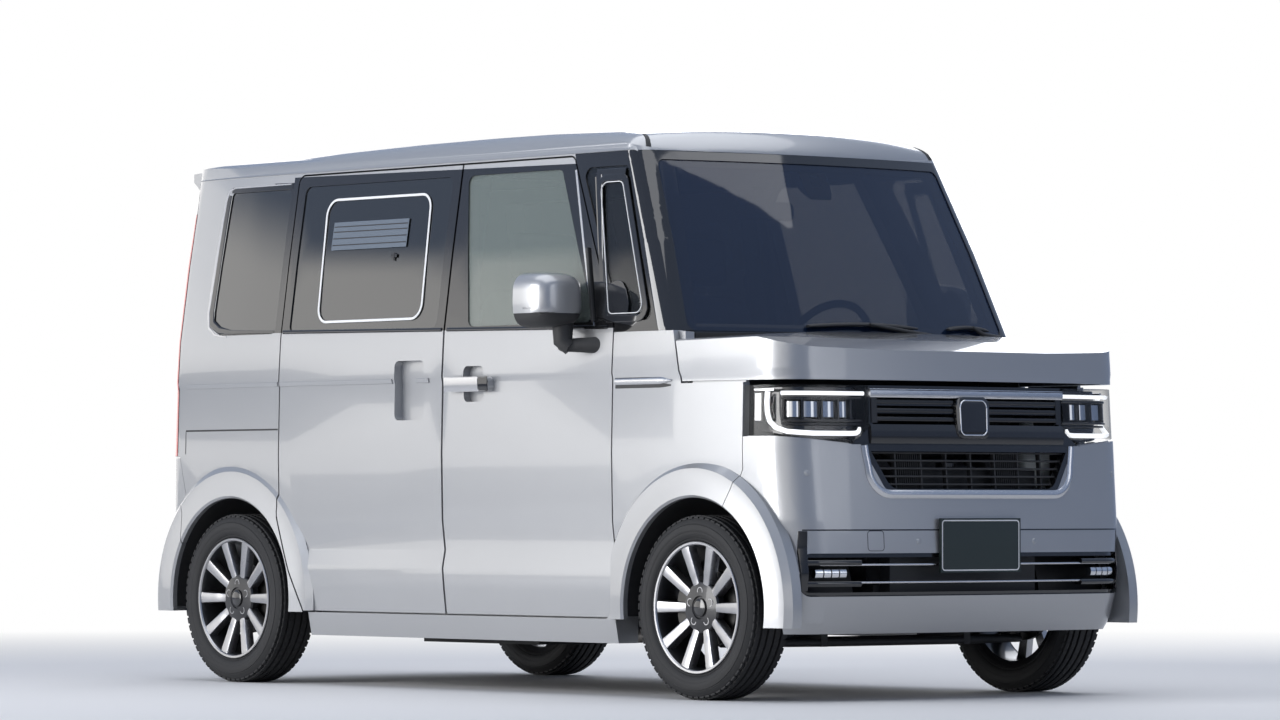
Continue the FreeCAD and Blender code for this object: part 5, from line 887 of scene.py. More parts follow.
class BodyForm:
    """The smooth outer form that the panels follow: a rounded plan outline at every height."""

    LOWER = ((0.165, 0.69, 1.612, -1.628), (0.24, 0.704, 1.664, -1.668), (0.325, 0.714, 1.686, -1.69),
             (0.39, 0.72, 1.69, -1.6975), (0.45, 0.709, 1.689, -1.697), (0.545, 0.72, 1.684, -1.694),
             (0.76, 0.724, 1.666, -1.686), (0.985, 0.719, 1.655, -1.681), (1.002, 0.723, 1.654, -1.681),
             (1.145, 0.715, 1.65, -1.677))
    UPPER = ((1.08, 0.7186, 1.19, -1.6788), (1.145, 0.715, 1.16, -1.677), (1.4, 0.68, 1.045, -1.672),
             (1.694, 0.634, 0.896, -1.656), (1.83, 0.613, 0.832, -1.65))
    NOSE = EndShape(4.3, 0.135, 9.5, 0.9)
    SCREEN = EndShape(2.7, 0.075)
    TAIL = EndShape(6.5, 0.11, 9.5, 0.9)
    WRAP_AXIS = (1.3, 0.42)
    REAR_AXIS = (-1.555, 0.54)
    WAIST = 1.145
    END_STEPS, CORNER_STEPS, SIDE_STEPS = 24, 16, 10
    END_POINTS = END_STEPS + CORNER_STEPS + 1
    WRAP_POINTS = 60  # from the middle of an end, round its corner and some way along the side
    SKIPPED = 30  # points of each end that a flank has no part in

    def __init__(self) -> None:
        """Start with no outlines drawn."""
        self.drawn: dict[tuple[float, float, bool], list[tuple[float, float]]] = {}

    def level(self, height: float, upper: bool) -> tuple[float, float, float]:
        """Half width, nose and tail at a height."""
        rows = self.UPPER if upper else self.LOWER
        if height <= rows[0][0]:
            return rows[0][1:]
        for low, high in zip(rows, rows[1:]):
            if height <= high[0]:
                share = (height - low[0]) / (high[0] - low[0])
                return tuple(a + (b - a) * share for a, b in zip(low[1:], high[1:]))
        return rows[-1][1:]

    def arc(self, middle: tuple[float, float], sign: int, radius: float, start: float, stop: float,
            steps: int) -> list[tuple[float, float]]:
        """Points of an arc of the plan, from one angle to another."""
        return [(middle[0] + sign * radius * math.cos(angle), middle[1] + radius * math.sin(angle))
                for angle in spread(start, stop, steps + 1)]

    def corner_points(self, half: float, end: float, sign: int, shape: EndShape,
                      proud: float) -> list[tuple[float, float]]:
        """Points from the middle of one end round its left corner to the straight side."""
        middle = (end - sign * shape.end_radius, 0.0)
        side = (sign * shape.bend, half - shape.side_radius)
        if shape.side_radius:
            first, second = shape.end_radius - shape.corner, shape.side_radius - shape.corner
            dx, dy = side[0] - middle[0], side[1]
            span = math.hypot(dx, dy)
            along = (first ** 2 - second ** 2 + span ** 2) / (2 * span)
            across = math.sqrt(max(first ** 2 - along ** 2, 0.0))
            foot = (middle[0] + dx / span * along, dy / span * along)
            options = [(foot[0] - dy / span * across * k, foot[1] + dx / span * across * k) for k in (1, -1)]
            centre = max(options, key=lambda option: option[1])
            stop = math.atan2(centre[1] - side[1], (centre[0] - side[0]) * sign)
        else:
            reach = math.sqrt((shape.end_radius - shape.corner) ** 2 - (half - shape.corner) ** 2)
            centre = (middle[0] + sign * reach, half - shape.corner)
            stop = math.pi / 2
        start = math.atan2(centre[1], (centre[0] - middle[0]) * sign)
        points = self.arc(middle, sign, shape.end_radius + proud, 0.0, start, self.END_STEPS)
        points += self.arc(centre, sign, shape.corner + proud, start, stop, self.CORNER_STEPS)[1:]
        if shape.side_radius:
            points += self.arc(side, sign, shape.side_radius + proud, stop, math.pi / 2, self.SIDE_STEPS)[1:]
        return points

    def outline(self, height: float, proud: float, upper: bool) -> list[tuple[float, float]]:
        """The left half of the plan outline at a height, from nose to tail."""
        key = (round(height, 5), round(proud, 5), upper)
        if key not in self.drawn:
            half, nose, tail = self.level(height, upper)
            front = self.corner_points(half, nose, 1, self.SCREEN if upper else self.NOSE, proud)
            rear = self.corner_points(half, tail, -1, self.TAIL, proud)
            self.drawn[key] = front + rear[::-1]
        return self.drawn[key]

    def seek(self, points: Sequence[tuple[float, float]], value: float,
             measure: Callable[[tuple[float, float]], float]) -> tuple[float, float]:
        """The place on a run of points where a measure reaches a value."""
        for first, second in zip(points, points[1:]):
            low, high = measure(first), measure(second)
            if min(low, high) <= value <= max(low, high) and low != high:
                share = (value - low) / (high - low)
                return tuple(a + (b - a) * share for a, b in zip(first, second))
        return min(points, key=lambda point: abs(measure(point) - value))

    def nose(self, across: float, height: float, proud: float = 0.0, upper: bool = False) -> Point:
        """A point of the nose, or of the windscreen's face, at a place across the car."""
        points = self.outline(height, proud, upper)[:self.END_POINTS]
        x, _ = self.seek(points, abs(across), lambda point: point[1])
        return (x, across, height)

    def tail(self, across: float, height: float, proud: float = 0.0, upper: bool = False) -> Point:
        """A point of the tail at a place across the car."""
        points = self.outline(height, proud, upper)[1 - self.END_POINTS:]
        x, _ = self.seek(points, abs(across), lambda point: point[1])
        return (x, across, height)

    def side(self, side: int, along: float, height: float, proud: float = 0.0,
             upper: bool | None = None) -> Point:
        """A point of the flank at a place along the car."""
        high = height > self.WAIST if upper is None else upper
        points = self.outline(height, proud, high)
        _, y = self.seek(points[self.SKIPPED:-self.SKIPPED], along, lambda point: point[0])
        return (along, side * y, height)

    def wrap(self, side: int, degrees: float, height: float, proud: float = 0.0) -> Point:
        """A point of a front corner, by its turn from straight ahead about an upright axis in the lamp."""
        points = self.outline(height, proud, False)[:self.WRAP_POINTS]
        axis = self.WRAP_AXIS
        x, y = self.seek(points, math.radians(degrees),
                         lambda point: math.atan2(point[1] - axis[1], point[0] - axis[0]))
        return (x, side * y, height)

    def rear_wrap(self, side: int, degrees: float, height: float, proud: float = 0.0) -> Point:
        """A point of a rear corner, by its turn about an upright axis in the corner, from straight back."""
        points = self.outline(height, proud, height > self.WAIST)[-self.WRAP_POINTS:]
        axis = self.REAR_AXIS
        x, y = self.seek(points, math.radians(degrees),
                         lambda point: math.atan2(point[1] - axis[1], axis[0] - point[0]))
        return (x, side * y, height)


FORM = BodyForm()
Place = Callable[[float, float, float], Point]


def add_strip(mesh: Mesh, path: Sequence[tuple[float, float]], width: float | Sequence[float], place: Place,
              proud: float, depth: float, crown: float = 0.0, closed: bool = False) -> None:
    """Add a moulded strip that follows a path drawn on the body's form.

    Args:
        mesh: The bmesh to add to.
        path: Points of its middle line, each a place along the surface and a height.
        width: Its width, or one for each point.
        place: Gives the point in space from a path point and a distance proud.
        proud: How far its edge stands out.
        depth: Its thickness inwards from its edge.
        crown: How much further its middle stands out.
        closed: Whether the path is a loop.
    """
    count = len(path)
    widths = [width] * count if isinstance(width, (int, float)) else list(width)
    rings = []
    for index, here in enumerate(path):
        ahead = path[(index + 1) % count] if closed else path[min(index + 1, count - 1)]
        behind = path[index - 1] if closed else path[max(index - 1, 0)]
        along = Vector((ahead[0] - behind[0], ahead[1] - behind[1])).normalized()
        side = Vector((-along.y, along.x))
        half = widths[index] / 2
        ring = []
        for offset, lift in ((-1.0, -depth), (-1.0, -0.0012), (-0.86, 0.0), (-0.5, crown * 0.75),
                             (0.0, crown),
                             (0.5, crown * 0.75), (0.86, 0.0), (1.0, -0.0012), (1.0, -depth)):
            spot = Vector(here) + side * half * offset
            ring.append(place(spot.x, spot.y, proud + lift))
        rings.append(ring)
    if closed:
        rings.append(rings[0])
    part = bmesh.new()
    add_tube(part, rings, capped=not closed)
    bmesh.ops.remove_doubles(part, verts=part.verts[:], dist=1e-6)
    merge_into(mesh, part)


def add_patch(mesh: Mesh, columns: Sequence[tuple[float, float, float]], place: Place, proud: float,
              depth: float, steps: int = 6) -> None:
    """Add a plate that follows the body's form.

    Args:
        mesh: The bmesh to add to.
        columns: Place along the surface, low height and high height of each column.
        place: Gives the point in space from a place, a height and a distance proud.
        proud: How far its face stands out.
        depth: Its thickness.
        steps: Faces in each column.
    """
    edge = min(0.0015, depth * 0.4)
    rings = []
    for at, low, high in columns:
        front = [place(at, low + (high - low) * k / steps, proud) for k in range(steps + 1)]
        back = [place(at, high - (high - low) * k / steps, proud - depth) for k in range(steps + 1)]
        rings.append([place(at, low - edge, proud - edge), *front, place(at, high + edge, proud - edge),
                      *back])
    add_tube(mesh, rings)


# Wheels and tyres

@dataclass
class RoadWheel(Kit):
    """One wheel: a treaded tyre, a ten-spoke rim, its disc and its caliper."""

    name: str
    centre: Point
    side: int
    hub_body: str
    tyre_radius: float = 0.2815
    rim_radius: float = 0.202
    spokes: int = 10
    lugs: int = 5
    tread_blocks: int = 64

    def build(self) -> None:
        """Make the tyre, the rim and the brake."""
        body = "wheel_" + self.name
        finish_piece(self.build_tyre(), body, "tyre", ["tyre_" + self.name])
        finish_piece(self.build_rim(), body, "alloy", ["wheel_" + self.name])
        finish_piece(self.build_brake(), self.hub_body, "brake_steel")
        finish_piece(self.build_disc(), body, "brake_steel")

    def out(self, distance: float) -> float:
        """A place across the car, measured outwards from the wheel's middle."""
        return self.centre[1] + self.side * distance

    def turn(self, mesh: Mesh, profile: Sequence[tuple[float, float]], sides: int, closed: bool = True,
             material: int = 0) -> None:
        """Add a form turned about the axle, from radii and distances outwards."""
        outwards = [(radius, self.side * along) for radius, along in profile]
        add_turned(mesh, outwards, "Y", self.centre, sides, closed, material)

    def build_tyre(self) -> Item:
        """The carcass with grooves and sidewall rings, and blocks round its shoulders."""
        r, bead = self.tyre_radius, self.rim_radius - 0.004
        wall = [(bead, 0.06), (bead + 0.004, 0.066), (bead + 0.01, 0.07), (bead + 0.013, 0.0686),
                (bead + 0.016, 0.0722),
                (bead + 0.03, 0.0785), (bead + 0.0325, 0.0782), (bead + 0.035, 0.0797), (r - 0.04, 0.08),
                (r - 0.03, 0.0785), (r - 0.0285, 0.0765), (r - 0.0265, 0.0775), (r - 0.014, 0.0715),
                (r - 0.0085, 0.0665)]
        profile = wall + [(r - 0.0085, 0.06)]
        for groove in (0.04, 0.014):
            profile += [(r - 0.0012, groove + 0.018), (r - 0.0004, groove + 0.0045),
                        (r - 0.0075, groove + 0.0036),
                        (r - 0.0075, groove - 0.0036), (r - 0.0002, groove - 0.0045)]
        profile += [(radius, -along) for radius, along in reversed(profile)]
        profile += [(bead - 0.006, -0.058), (bead - 0.006, 0.058)]
        mesh = bmesh.new()
        add_turned(mesh, profile, "Y", self.centre, 96)
        rubber = self.shop.get(Paint.RUBBER)
        carcass = mesh_object("tread_" + self.name, mesh, rubber)
        tyre = join_items("road_tyre_" + self.name, (carcass, self.build_blocks()), [rubber])
        tyre.data.materials.clear()
        tyre.data.materials.append(rubber)
        return tyre

    def build_blocks(self) -> Item:
        """Shoulder and centre tread blocks, set round the tyre by a node tree."""
        mesh = bmesh.new()
        r = self.tyre_radius
        pitch = 2 * math.pi * r / self.tread_blocks
        for low, high, drop in ((0.0605, 0.0705, 0.0052), (-0.0705, -0.0605, 0.0052)):
            add_box(mesh, (-pitch * 0.36, low, r - 0.0115), (pitch * 0.36, high, r - drop), 0.0012)
        for low, high in ((0.0445, 0.0595), (0.019, 0.0355), (-0.0355, -0.019), (-0.0595, -0.0445)):
            add_box(mesh, (-pitch * 0.4, low, r - 0.01), (pitch * 0.4, high, r - 0.0003), 0.0008)
        block = mesh_object("tread_block", mesh, None)
        return scatter_round(block, "tread_ring_" + self.name, self.tread_blocks, self.centre,
                             self.shop.get(Paint.RUBBER))

    def build_rim(self) -> Item:
        """The barrel, lip, hub, spokes, lug recesses and a bare cap."""
        mesh = bmesh.new()
        r = self.rim_radius
        barrel = [(r, 0.069), (r - 0.0025, 0.0705), (r - 0.0075, 0.07), (r - 0.0105, 0.066),
                  (r - 0.012, 0.056),
                  (r - 0.016, 0.044), (r - 0.019, -0.055), (r - 0.008, -0.06), (r, -0.064),
                  (r + 0.003, -0.056),
                  (r - 0.013, -0.05), (r - 0.012, 0.04), (r - 0.006, 0.056)]
        lip = [(r - 0.0002, 0.0692), (r - 0.002, 0.0716), (r - 0.0085, 0.0712), (r - 0.0112, 0.0668),
               (r - 0.008, 0.0655)]
        hub = [(0.0005, 0.056), (0.027, 0.056), (0.0285, 0.052), (0.033, 0.0515), (0.036, 0.056),
               (0.06, 0.0535),
               (0.076, 0.05), (0.08, 0.044), (0.078, 0.02), (0.05, 0.012), (0.0005, 0.012)]
        cap = [(0.0005, 0.06), (0.02, 0.0594), (0.0258, 0.0575), (0.027, 0.0545)]
        ring = [(0.0262, 0.0588), (0.0282, 0.0584), (0.029, 0.055), (0.0255, 0.056)]
        for profile, sides, closed, material in ((barrel, 96, True, 1), (lip, 96, True, 0),
                                                 (hub, 64, False, 1),
                                                 (cap, 48, False, 2), (ring, 48, True, 1)):
            self.turn(mesh, profile, sides, closed, material)
        base = mesh_object("rim_barrel_" + self.name, mesh)
        spokes = scatter_round(self.spoke(), "spokes_" + self.name, self.spokes, self.centre, None,
                               math.pi / self.spokes)
        lugs = scatter_round(self.lug(), "lugs_" + self.name, self.lugs, self.centre, None)
        wear = [self.shop.get(finish) for finish in (Paint.MACHINED, Paint.POCKET, Paint.GLOSS_BLACK,
                                                     Paint.STEEL_IN_PAINTED_SHADE)]
        return join_items("spoked_rim_" + self.name, (base, spokes, lugs), wear)

    def spoke(self) -> Item:
        """One spoke: a flat machined face on dark flanks, wider towards the rim."""
        mesh = bmesh.new()
        stations = [(0.052, 0.011, 0.049), (0.08, 0.0125, 0.052), (0.098, 0.013, 0.0545),
                    (0.104, 0.0136, 0.0562),
                    (0.13, 0.0142, 0.059), (0.155, 0.015, 0.0625), (0.178, 0.016, 0.0655),
                    (0.1915, 0.017, 0.0665)]
        rows = []
        for radius, half, face in stations:
            rows.append([(x, self.side * y, radius) for x, y in (
                (-half * 1.25, face - 0.03), (-half * 1.12, face - 0.004), (-half * 1.02, face - 0.0012),
                (-half * 0.8, face - 0.0005), (0.0, face), (half * 0.8, face - 0.0005),
                (half * 1.02, face - 0.0012), (half * 1.12, face - 0.004), (half * 1.25, face - 0.03))])
        add_tube(mesh, rows, material=1)
        bmesh.ops.recalc_face_normals(mesh, faces=mesh.faces[:])
        for face in mesh.faces:
            middle = face.calc_center_median()
            flat = abs(face.normal.y) > 0.9 and middle.y * self.side > 0.045 and middle.z > 0.103
            front = flat and abs(middle.x) < 0.0245 and face.normal.y * self.side > 0
            face.material_index = 0 if front else 1
        return mesh_object("spoke", mesh)

    def lug(self) -> Item:
        """One nut in its recess."""
        mesh = bmesh.new()
        for profile, sides, material in (
                ([(0.0005, 0.052), (0.0072, 0.0515), (0.0085, 0.0495), (0.0085, 0.04), (0.0005, 0.04)], 6, 3),
                ([(0.01, 0.0548), (0.0128, 0.0548), (0.0135, 0.05), (0.01, 0.049)], 24, 1)):
            add_turned(mesh, [(radius, self.side * along) for radius, along in profile], "Y",
                       (0.0, 0.0, 0.05), sides,
                       closed=sides == 24, material=material)
        return mesh_object("lug", mesh)

    def build_disc(self) -> Item:
        """The brake disc behind the spokes."""
        mesh = bmesh.new()
        self.turn(mesh, [(0.06, 0.008), (0.115, 0.008), (0.117, 0.006), (0.117, -0.008), (0.115, -0.01),
                         (0.064, -0.01), (0.064, -0.001), (0.06, 0.001)], 72)
        self.turn(mesh, [(0.0005, 0.03), (0.056, 0.029), (0.061, 0.026), (0.063, 0.003), (0.0005, 0.003)],
                  48, False)
        # The disc's dark colour is painted shade, standing for the shade behind the spokes.
        return mesh_object("brake_disc_" + self.name, mesh, self.shop.get(Paint.STEEL_IN_PAINTED_SHADE))

    def build_brake(self) -> Item:
        """The caliper, bent round the disc's edge."""
        mesh = bmesh.new()
        rings = []
        for step in range(9):
            angle = math.radians(150 + step * 7.5)
            section = ((0.088, 0.0125), (0.098, 0.0185), (0.118, 0.0185), (0.126, 0.0125), (0.127, -0.02),
                       (0.118, -0.026), (0.096, -0.026), (0.088, -0.02))
            rings.append([(self.centre[0] + r * math.cos(angle), self.out(y),
                           self.centre[2] + r * math.sin(angle))
                          for r, y in section])
        add_tube(mesh, rings)
        caliper = mesh_object("caliper_" + self.name, mesh, self.shop.get(Paint.CAST))
        soften = caliper.modifiers.new("round", "BEVEL")
        soften.width = 0.002
        soften.segments = 2
        return caliper


def join_items(name: str, items: Sequence[Item], materials: Sequence[Material]) -> Item:
    """Join objects into a new one that wears some materials, and remove them."""
    joined = bmesh.new()
    for item in items:
        joined.from_mesh(item.data)
        bpy.data.objects.remove(item)
    whole = mesh_object(name, joined, outwards=False)
    for material in materials:
        whole.data.materials.append(material)
    return whole


def scatter_round(item: Item, name: str, count: int, centre: Point, material: Material | None,
                  first_turn: float = 0.0) -> Item:
    """Set copies of a piece round an axle with a node tree and bake the result.

    Args:
        item: The piece, modelled round the origin and pointing up. It is removed.
        name: The new object's name.
        count: How many copies.
        centre: The middle of the axle.
        material: One material for all of it, or none to keep the piece's own indices.
        first_turn: The first copy's turn in radians.

    Returns:
        The baked object.
    """
    tree, given, result, names = new_geometry_tree("ring_of_pieces", Count="Int", First_turn="Float",
                                                   Centre="Vector")
    line = add_node(tree, "GeometryNodeMeshLine", {"Count": given["Count"], "Offset": (0.0, 0.0, 0.0)})
    index = tree.nodes.new("GeometryNodeInputIndex").outputs[0]
    share = math_node(tree, "DIVIDE", index, given["Count"])
    turn = add_node(tree, "ShaderNodeMath", {0: share, 1: 2 * math.pi, 2: given["First_turn"]},
                    operation="MULTIPLY_ADD")
    spin = add_node(tree, "ShaderNodeCombineXYZ", {"Y": turn.outputs[0]})
    place = add_node(tree, "GeometryNodeInstanceOnPoints", {
        "Points": line.outputs["Mesh"], "Instance": given["Geometry"], "Rotation": spin.outputs[0]})
    real = add_node(tree, "GeometryNodeRealizeInstances", {"Geometry": place.outputs["Instances"]})
    last = add_node(tree, "GeometryNodeSetPosition",
                    {"Geometry": real.outputs["Geometry"], "Offset": given["Centre"]})
    if material is not None:
        last = add_node(tree, "GeometryNodeSetMaterial", {"Geometry": last.outputs[0], "Material": material})
    tree.links.new(last.outputs[0], result)
    host = bpy.data.objects.new(name, item.data.copy())
    bpy.context.scene.collection.objects.link(host)
    modifier = host.modifiers.new("ring", "NODES")
    modifier.node_group = tree
    for label, value in (("Count", count), ("First_turn", first_turn), ("Centre", centre)):
        modifier[names[label]] = value
    bake_nodes(host)
    bpy.data.objects.remove(item)
    bpy.data.node_groups.remove(tree)
    return host


# Lamps, grilles and bumper trim

@dataclass
class FrontLamp(Kit):
    """One headlamp's inside, behind the clear CAD lens."""

    side: int
    label: str
    turn_inner: float = -2.0
    turn_outer: float = 64.0
    sink: float = 0.0045
    lens_low: float = 0.788
    lens_rise: float = 0.03
    rise_from: float = 30.0
    rise_over: float = 34.0

    def wrap(self, degrees: float, height: float, proud: float) -> Point:
        """A point of this lamp's face, sunk as the lens is."""
        return FORM.wrap(self.side, degrees, height, proud - self.sink)

    def low(self, degrees: float) -> float:
        """The lens's lower edge, which rises towards its outer end."""
        return self.lens_low + self.lens_rise * max(0.0,
                                                    min(1.0, (degrees - self.rise_from) / self.rise_over))

    def build(self) -> None:
        """Make the bowl, the light guide, the projectors and the turn lamp."""
        with self.piece("lamp_bowl_" + self.label, Paint.GLOSS_BLACK, slot="headlamp") as mesh:
            turns = spread(self.turn_inner, self.turn_outer, 24)
            add_patch(mesh, [(a, self.low(a) + 0.004, 0.948) for a in turns], self.wrap, -0.052, 0.004)
        self.build_guide()
        self.build_projectors()
        self.build_trim()

    def build_guide(self) -> None:
        """The C-shaped light guide and the bar over it."""
        with self.piece("light_guide_" + self.label, Paint.GUIDE) as mesh:
            corner = [(53.5, 0.935), (53.8, 0.905), (53.5, 0.872), (52.0, 0.845), (48.5, 0.826),
                      (43.0, 0.8145), (36.0, 0.811)]
            run = [(a, 0.809) for a in (30.0, 24.0, 18.0, 12.0, 7.0)]
            rise = [(4.0, 0.81), (2.4, 0.814), (1.7, 0.821), (1.5, 0.828)]
            path = corner + run + rise
            spine = [self.wrap(a, z, -0.013) for a, z in path]
            add_rod(mesh, spine, [0.0075] * (len(path) - 3) + [0.007, 0.006, 0.004], 12)
            top = [self.wrap(a, 0.93, -0.013) for a in spread(46.0, -1.6, 14)]
            add_rod(mesh, top, 0.0062, 12)

    def build_projectors(self) -> None:
        """Four lens elements in a bright strip, with dark ribs and uprights round them."""
        with self.piece("projectors_" + self.label, Paint.REFLECTOR) as bright:
            for start, stop in ((44.0, 36.5), (34.5, 25.5), (23.5, 15.0), (13.5, 7.0)):
                bulge = {round(a, 4): 0.007 * math.sin(math.pi * k / 6) for k,
                         a in enumerate(spread(start, stop, 7))}
                add_patch(bright, panel(start, stop, 7, 0.858, 0.905),
                          lambda a, z, p: self.wrap(a, z, p + bulge.get(round(a, 4), 0.0)), -0.03, 0.01)
        with self.piece("lamp_ribs_" + self.label, Paint.POCKET, slot="headlamp") as dark:
            for height, proud, rise in ((0.846, -0.018, 0.004), (0.912, -0.018, 0.006),
                                        (0.836, -0.024, 0.0035)):
                add_patch(dark, panel(46.0, -1.0, 18, height, height + rise), self.wrap, proud, 0.03, 2)
            for turn in (45.2, 35.5, 24.5, 14.2, 5.8):
                add_patch(dark, panel(turn - 0.5, turn + 0.5, 2, 0.85, 0.912), self.wrap, -0.02, 0.026, 2)

    def build_trim(self) -> None:
        """The upright turn lamp at the outer end and a thin bright strip over it."""
        with self.piece("turn_lamp_" + self.label, Paint.REFLECTOR) as mesh:
            add_patch(mesh, panel(58.0, 62.5, 6, 0.848, 0.93), self.wrap, -0.016, 0.012)
            add_patch(mesh, panel(50.0, 63.0, 6, 0.938, 0.944), self.wrap, -0.014, 0.006, 2)


@dataclass
class NoseTrim(Kit):
    """Grille bars, the blank badge, the bright surround and the bumper's lower fittings."""

    bar_half: float = 0.398
    badge_half: float = 0.066

    def nose(self, across: float, height: float, proud: float) -> Point:
        """A point of the nose."""
        return FORM.nose(across, height, proud)

    def build(self) -> None:
        """Make every piece of the front's trim."""
        self.build_bars()
        self.build_badge()
        self.build_surround()
        self.build_lower_grille()
        self.build_bumper_fittings()
        self.build_plate()

    def build_bars(self) -> None:
        """The bright bar, the slats' edges and the black band between the lamps."""
        with self.piece("grille_bright_bar", Paint.SATIN) as bright:
            add_strip(bright, row(-self.bar_half, self.bar_half, 31, 0.932), 0.026, self.nose, -0.001,
                      0.024, 0.0015)
        with self.piece("grille_slats", Paint.POCKET, slot="gloss_black") as slats:
            for height in (0.906, 0.88, 0.854):
                for side in (-1, 1):
                    add_strip(slats, row(side * 0.072, side * 0.37, 14, height), 0.013, self.nose, -0.008,
                              0.018, 0.001)
            for side in (-1, 1):
                add_strip(slats, column(side * 0.38, 0.842, 0.92, 5), 0.022, self.nose, -0.006, 0.018)
        with self.piece("grille_black_band", Paint.GLOSS_BLACK) as band:
            add_strip(band, row(-self.bar_half, self.bar_half, 31, 0.8085), 0.058, self.nose, -0.004,
                      0.022, 0.003)

    def build_badge(self) -> None:
        """A bare rounded boss in the grille's middle, with a thin bright rim."""
        half = self.badge_half
        loop = rounded_loop([(-half, 0.795, 0.024), (half, 0.795, 0.024), (half + 0.003, 0.924, 0.028),
                             (-half - 0.003, 0.924, 0.028)], 8)
        with self.piece("bare_boss", Paint.GLOSS_BLACK) as boss:
            middle = 0.8585
            rings = []
            for scale, proud in ((1.0, -0.022), (1.0, 0.0), (0.97, 0.0035), (0.9, 0.005), (0.6, 0.0062),
                                 (0.02, 0.0066)):
                rings.append([self.nose(y * scale, middle + (z - middle) * scale, proud) for y, z in loop])
            add_tube(boss, rings)
        with self.piece("boss_rim", Paint.BRIGHT) as rim:
            inner = [(y * 0.8, middle + (z - middle) * 0.82) for y, z in loop]
            add_strip(rim, inner, 0.005, self.nose, 0.0056, 0.003, 0.0014, closed=True)

    def surround_path(self) -> list[tuple[float, float]]:
        """The lower grille's outline, open at the top."""
        high, low, wide, narrow, bend = 0.774, 0.626, 0.432, 0.356, 0.08
        left = [(-wide + 0.004, high), (-wide + 0.008, 0.745), (-wide + 0.014, 0.715)]
        corner = rounded_loop([(-wide, high, 0), (-narrow - 0.046, low, bend), (0.0, low, 0)], 10)[1:12]
        path = [point for point in left if point[1] > corner[0][1] + 0.004] + corner
        return path + row(-narrow + 0.03, narrow - 0.03, 19, low) + [(-y, z) for y, z in reversed(path)]

    def build_surround(self) -> None:
        """The bright U round the lower grille."""
        with self.piece("lower_grille_surround", Paint.SATIN) as mesh:
            add_strip(mesh, self.surround_path(), 0.026, self.nose, 0.0035, 0.02, 0.0055)

    def build_lower_grille(self) -> None:
        """Thin slats and upright divisions in the lower grille."""
        with self.piece("lower_grille_slats", Paint.DARK, slot="gloss_black") as mesh:
            for index, height in enumerate((0.752, 0.728, 0.704, 0.68, 0.656)):
                half = 0.404 - 0.01 * index
                add_strip(mesh, row(-half, half, 25, height), 0.006, self.nose, -0.014, 0.02, 0.0008)
            for across in (-0.3, -0.2, -0.1, 0.0, 0.1, 0.2, 0.3):
                add_strip(mesh, column(across, 0.64, 0.765, 4), 0.006, self.nose, -0.018, 0.016)
            for start in (-0.3, 0.1):
                for k in range(12):
                    at = start + 0.006 + k * 0.0155 * 0.53
                    add_strip(mesh, column(at, 0.645, 0.762, 3), 0.0028, self.nose, -0.022, 0.01)

    def build_bumper_fittings(self) -> None:
        """The long slot's blades and fog lamps, the sensors and the towing cover."""
        with self.piece("slot_blades", Paint.SATIN) as blades:
            for height, shade in ((0.4135, 0.006), (0.36, 0.006)):
                add_strip(blades, row(-0.6, 0.6, 41, height), shade, self.nose, -0.006, 0.016, 0.0008)
        with self.piece("slot_wings", Paint.GLOSS_BLACK) as wings:
            for side in (-1, 1):
                for height in (0.42, 0.3555):
                    add_strip(wings, row(side * 0.455, side * 0.64, 14, height), 0.016, self.nose, -0.002,
                              0.03, 0.002)
        with self.piece("slot_frame", Paint.GLOSS_BLACK) as frame:
            for side in (-1, 1):
                add_strip(frame, column(side * 0.648, 0.335, 0.515, 10), 0.022, self.nose, 0.0012, 0.006)
                add_strip(frame, row(side * 0.15, side * 0.65, 24, 0.518), 0.0045, self.nose, 0.0012, 0.004)
        with self.piece("fog_lamps", Paint.REFLECTOR) as lamps:
            for side in (-1, 1):
                for start in (0.505, 0.533, 0.561, 0.589):
                    add_strip(lamps, row(side * start, side * (start + 0.024), 5, 0.387), 0.026, self.nose,
                              -0.01, 0.02, 0.003)
        with self.piece("parking_sensors", Paint.SILVER) as sensors:
            for across, height in ((-0.24, 0.483), (0.24, 0.483), (-0.63, 0.69), (0.63, 0.69)):
                loop = [(across + 0.0105 * math.cos(a), height + 0.0105 * math.sin(a)) for a in turns(24)]
                rings = [[self.nose(across + (y - across) * s, height + (z - height) * s, p) for y, z in loop]
                         for s, p in ((1.0, -0.006), (1.0, 0.0004), (0.86, 0.001), (0.8, 0.0004),
                                      (0.7, 0.0016), (0.02, 0.0022))]
                add_tube(sensors, rings)
        with self.piece("tow_cover_seam", Paint.DARK) as seam:
            cover = rounded_box(-0.432, -0.372, 0.455, 0.515, 0.01, 5)
            add_strip(seam, cover, 0.0022, self.nose, 0.0004, 0.002, 0.0, closed=True)

    def build_plate(self) -> None:
        """The blank plate's pale border."""
        with self.piece("plate_border", Paint.DECAL, slot="plate_paint") as border:
            loop = rounded_box(-0.158, 0.158, 0.395, 0.546, 0.01, 5)
            add_strip(border, loop, 0.0045, lambda y, z, p: (PLATE_FACE + p, y, z), 0.0, 0.001, 0.0006,
                      closed=True)


# The roof

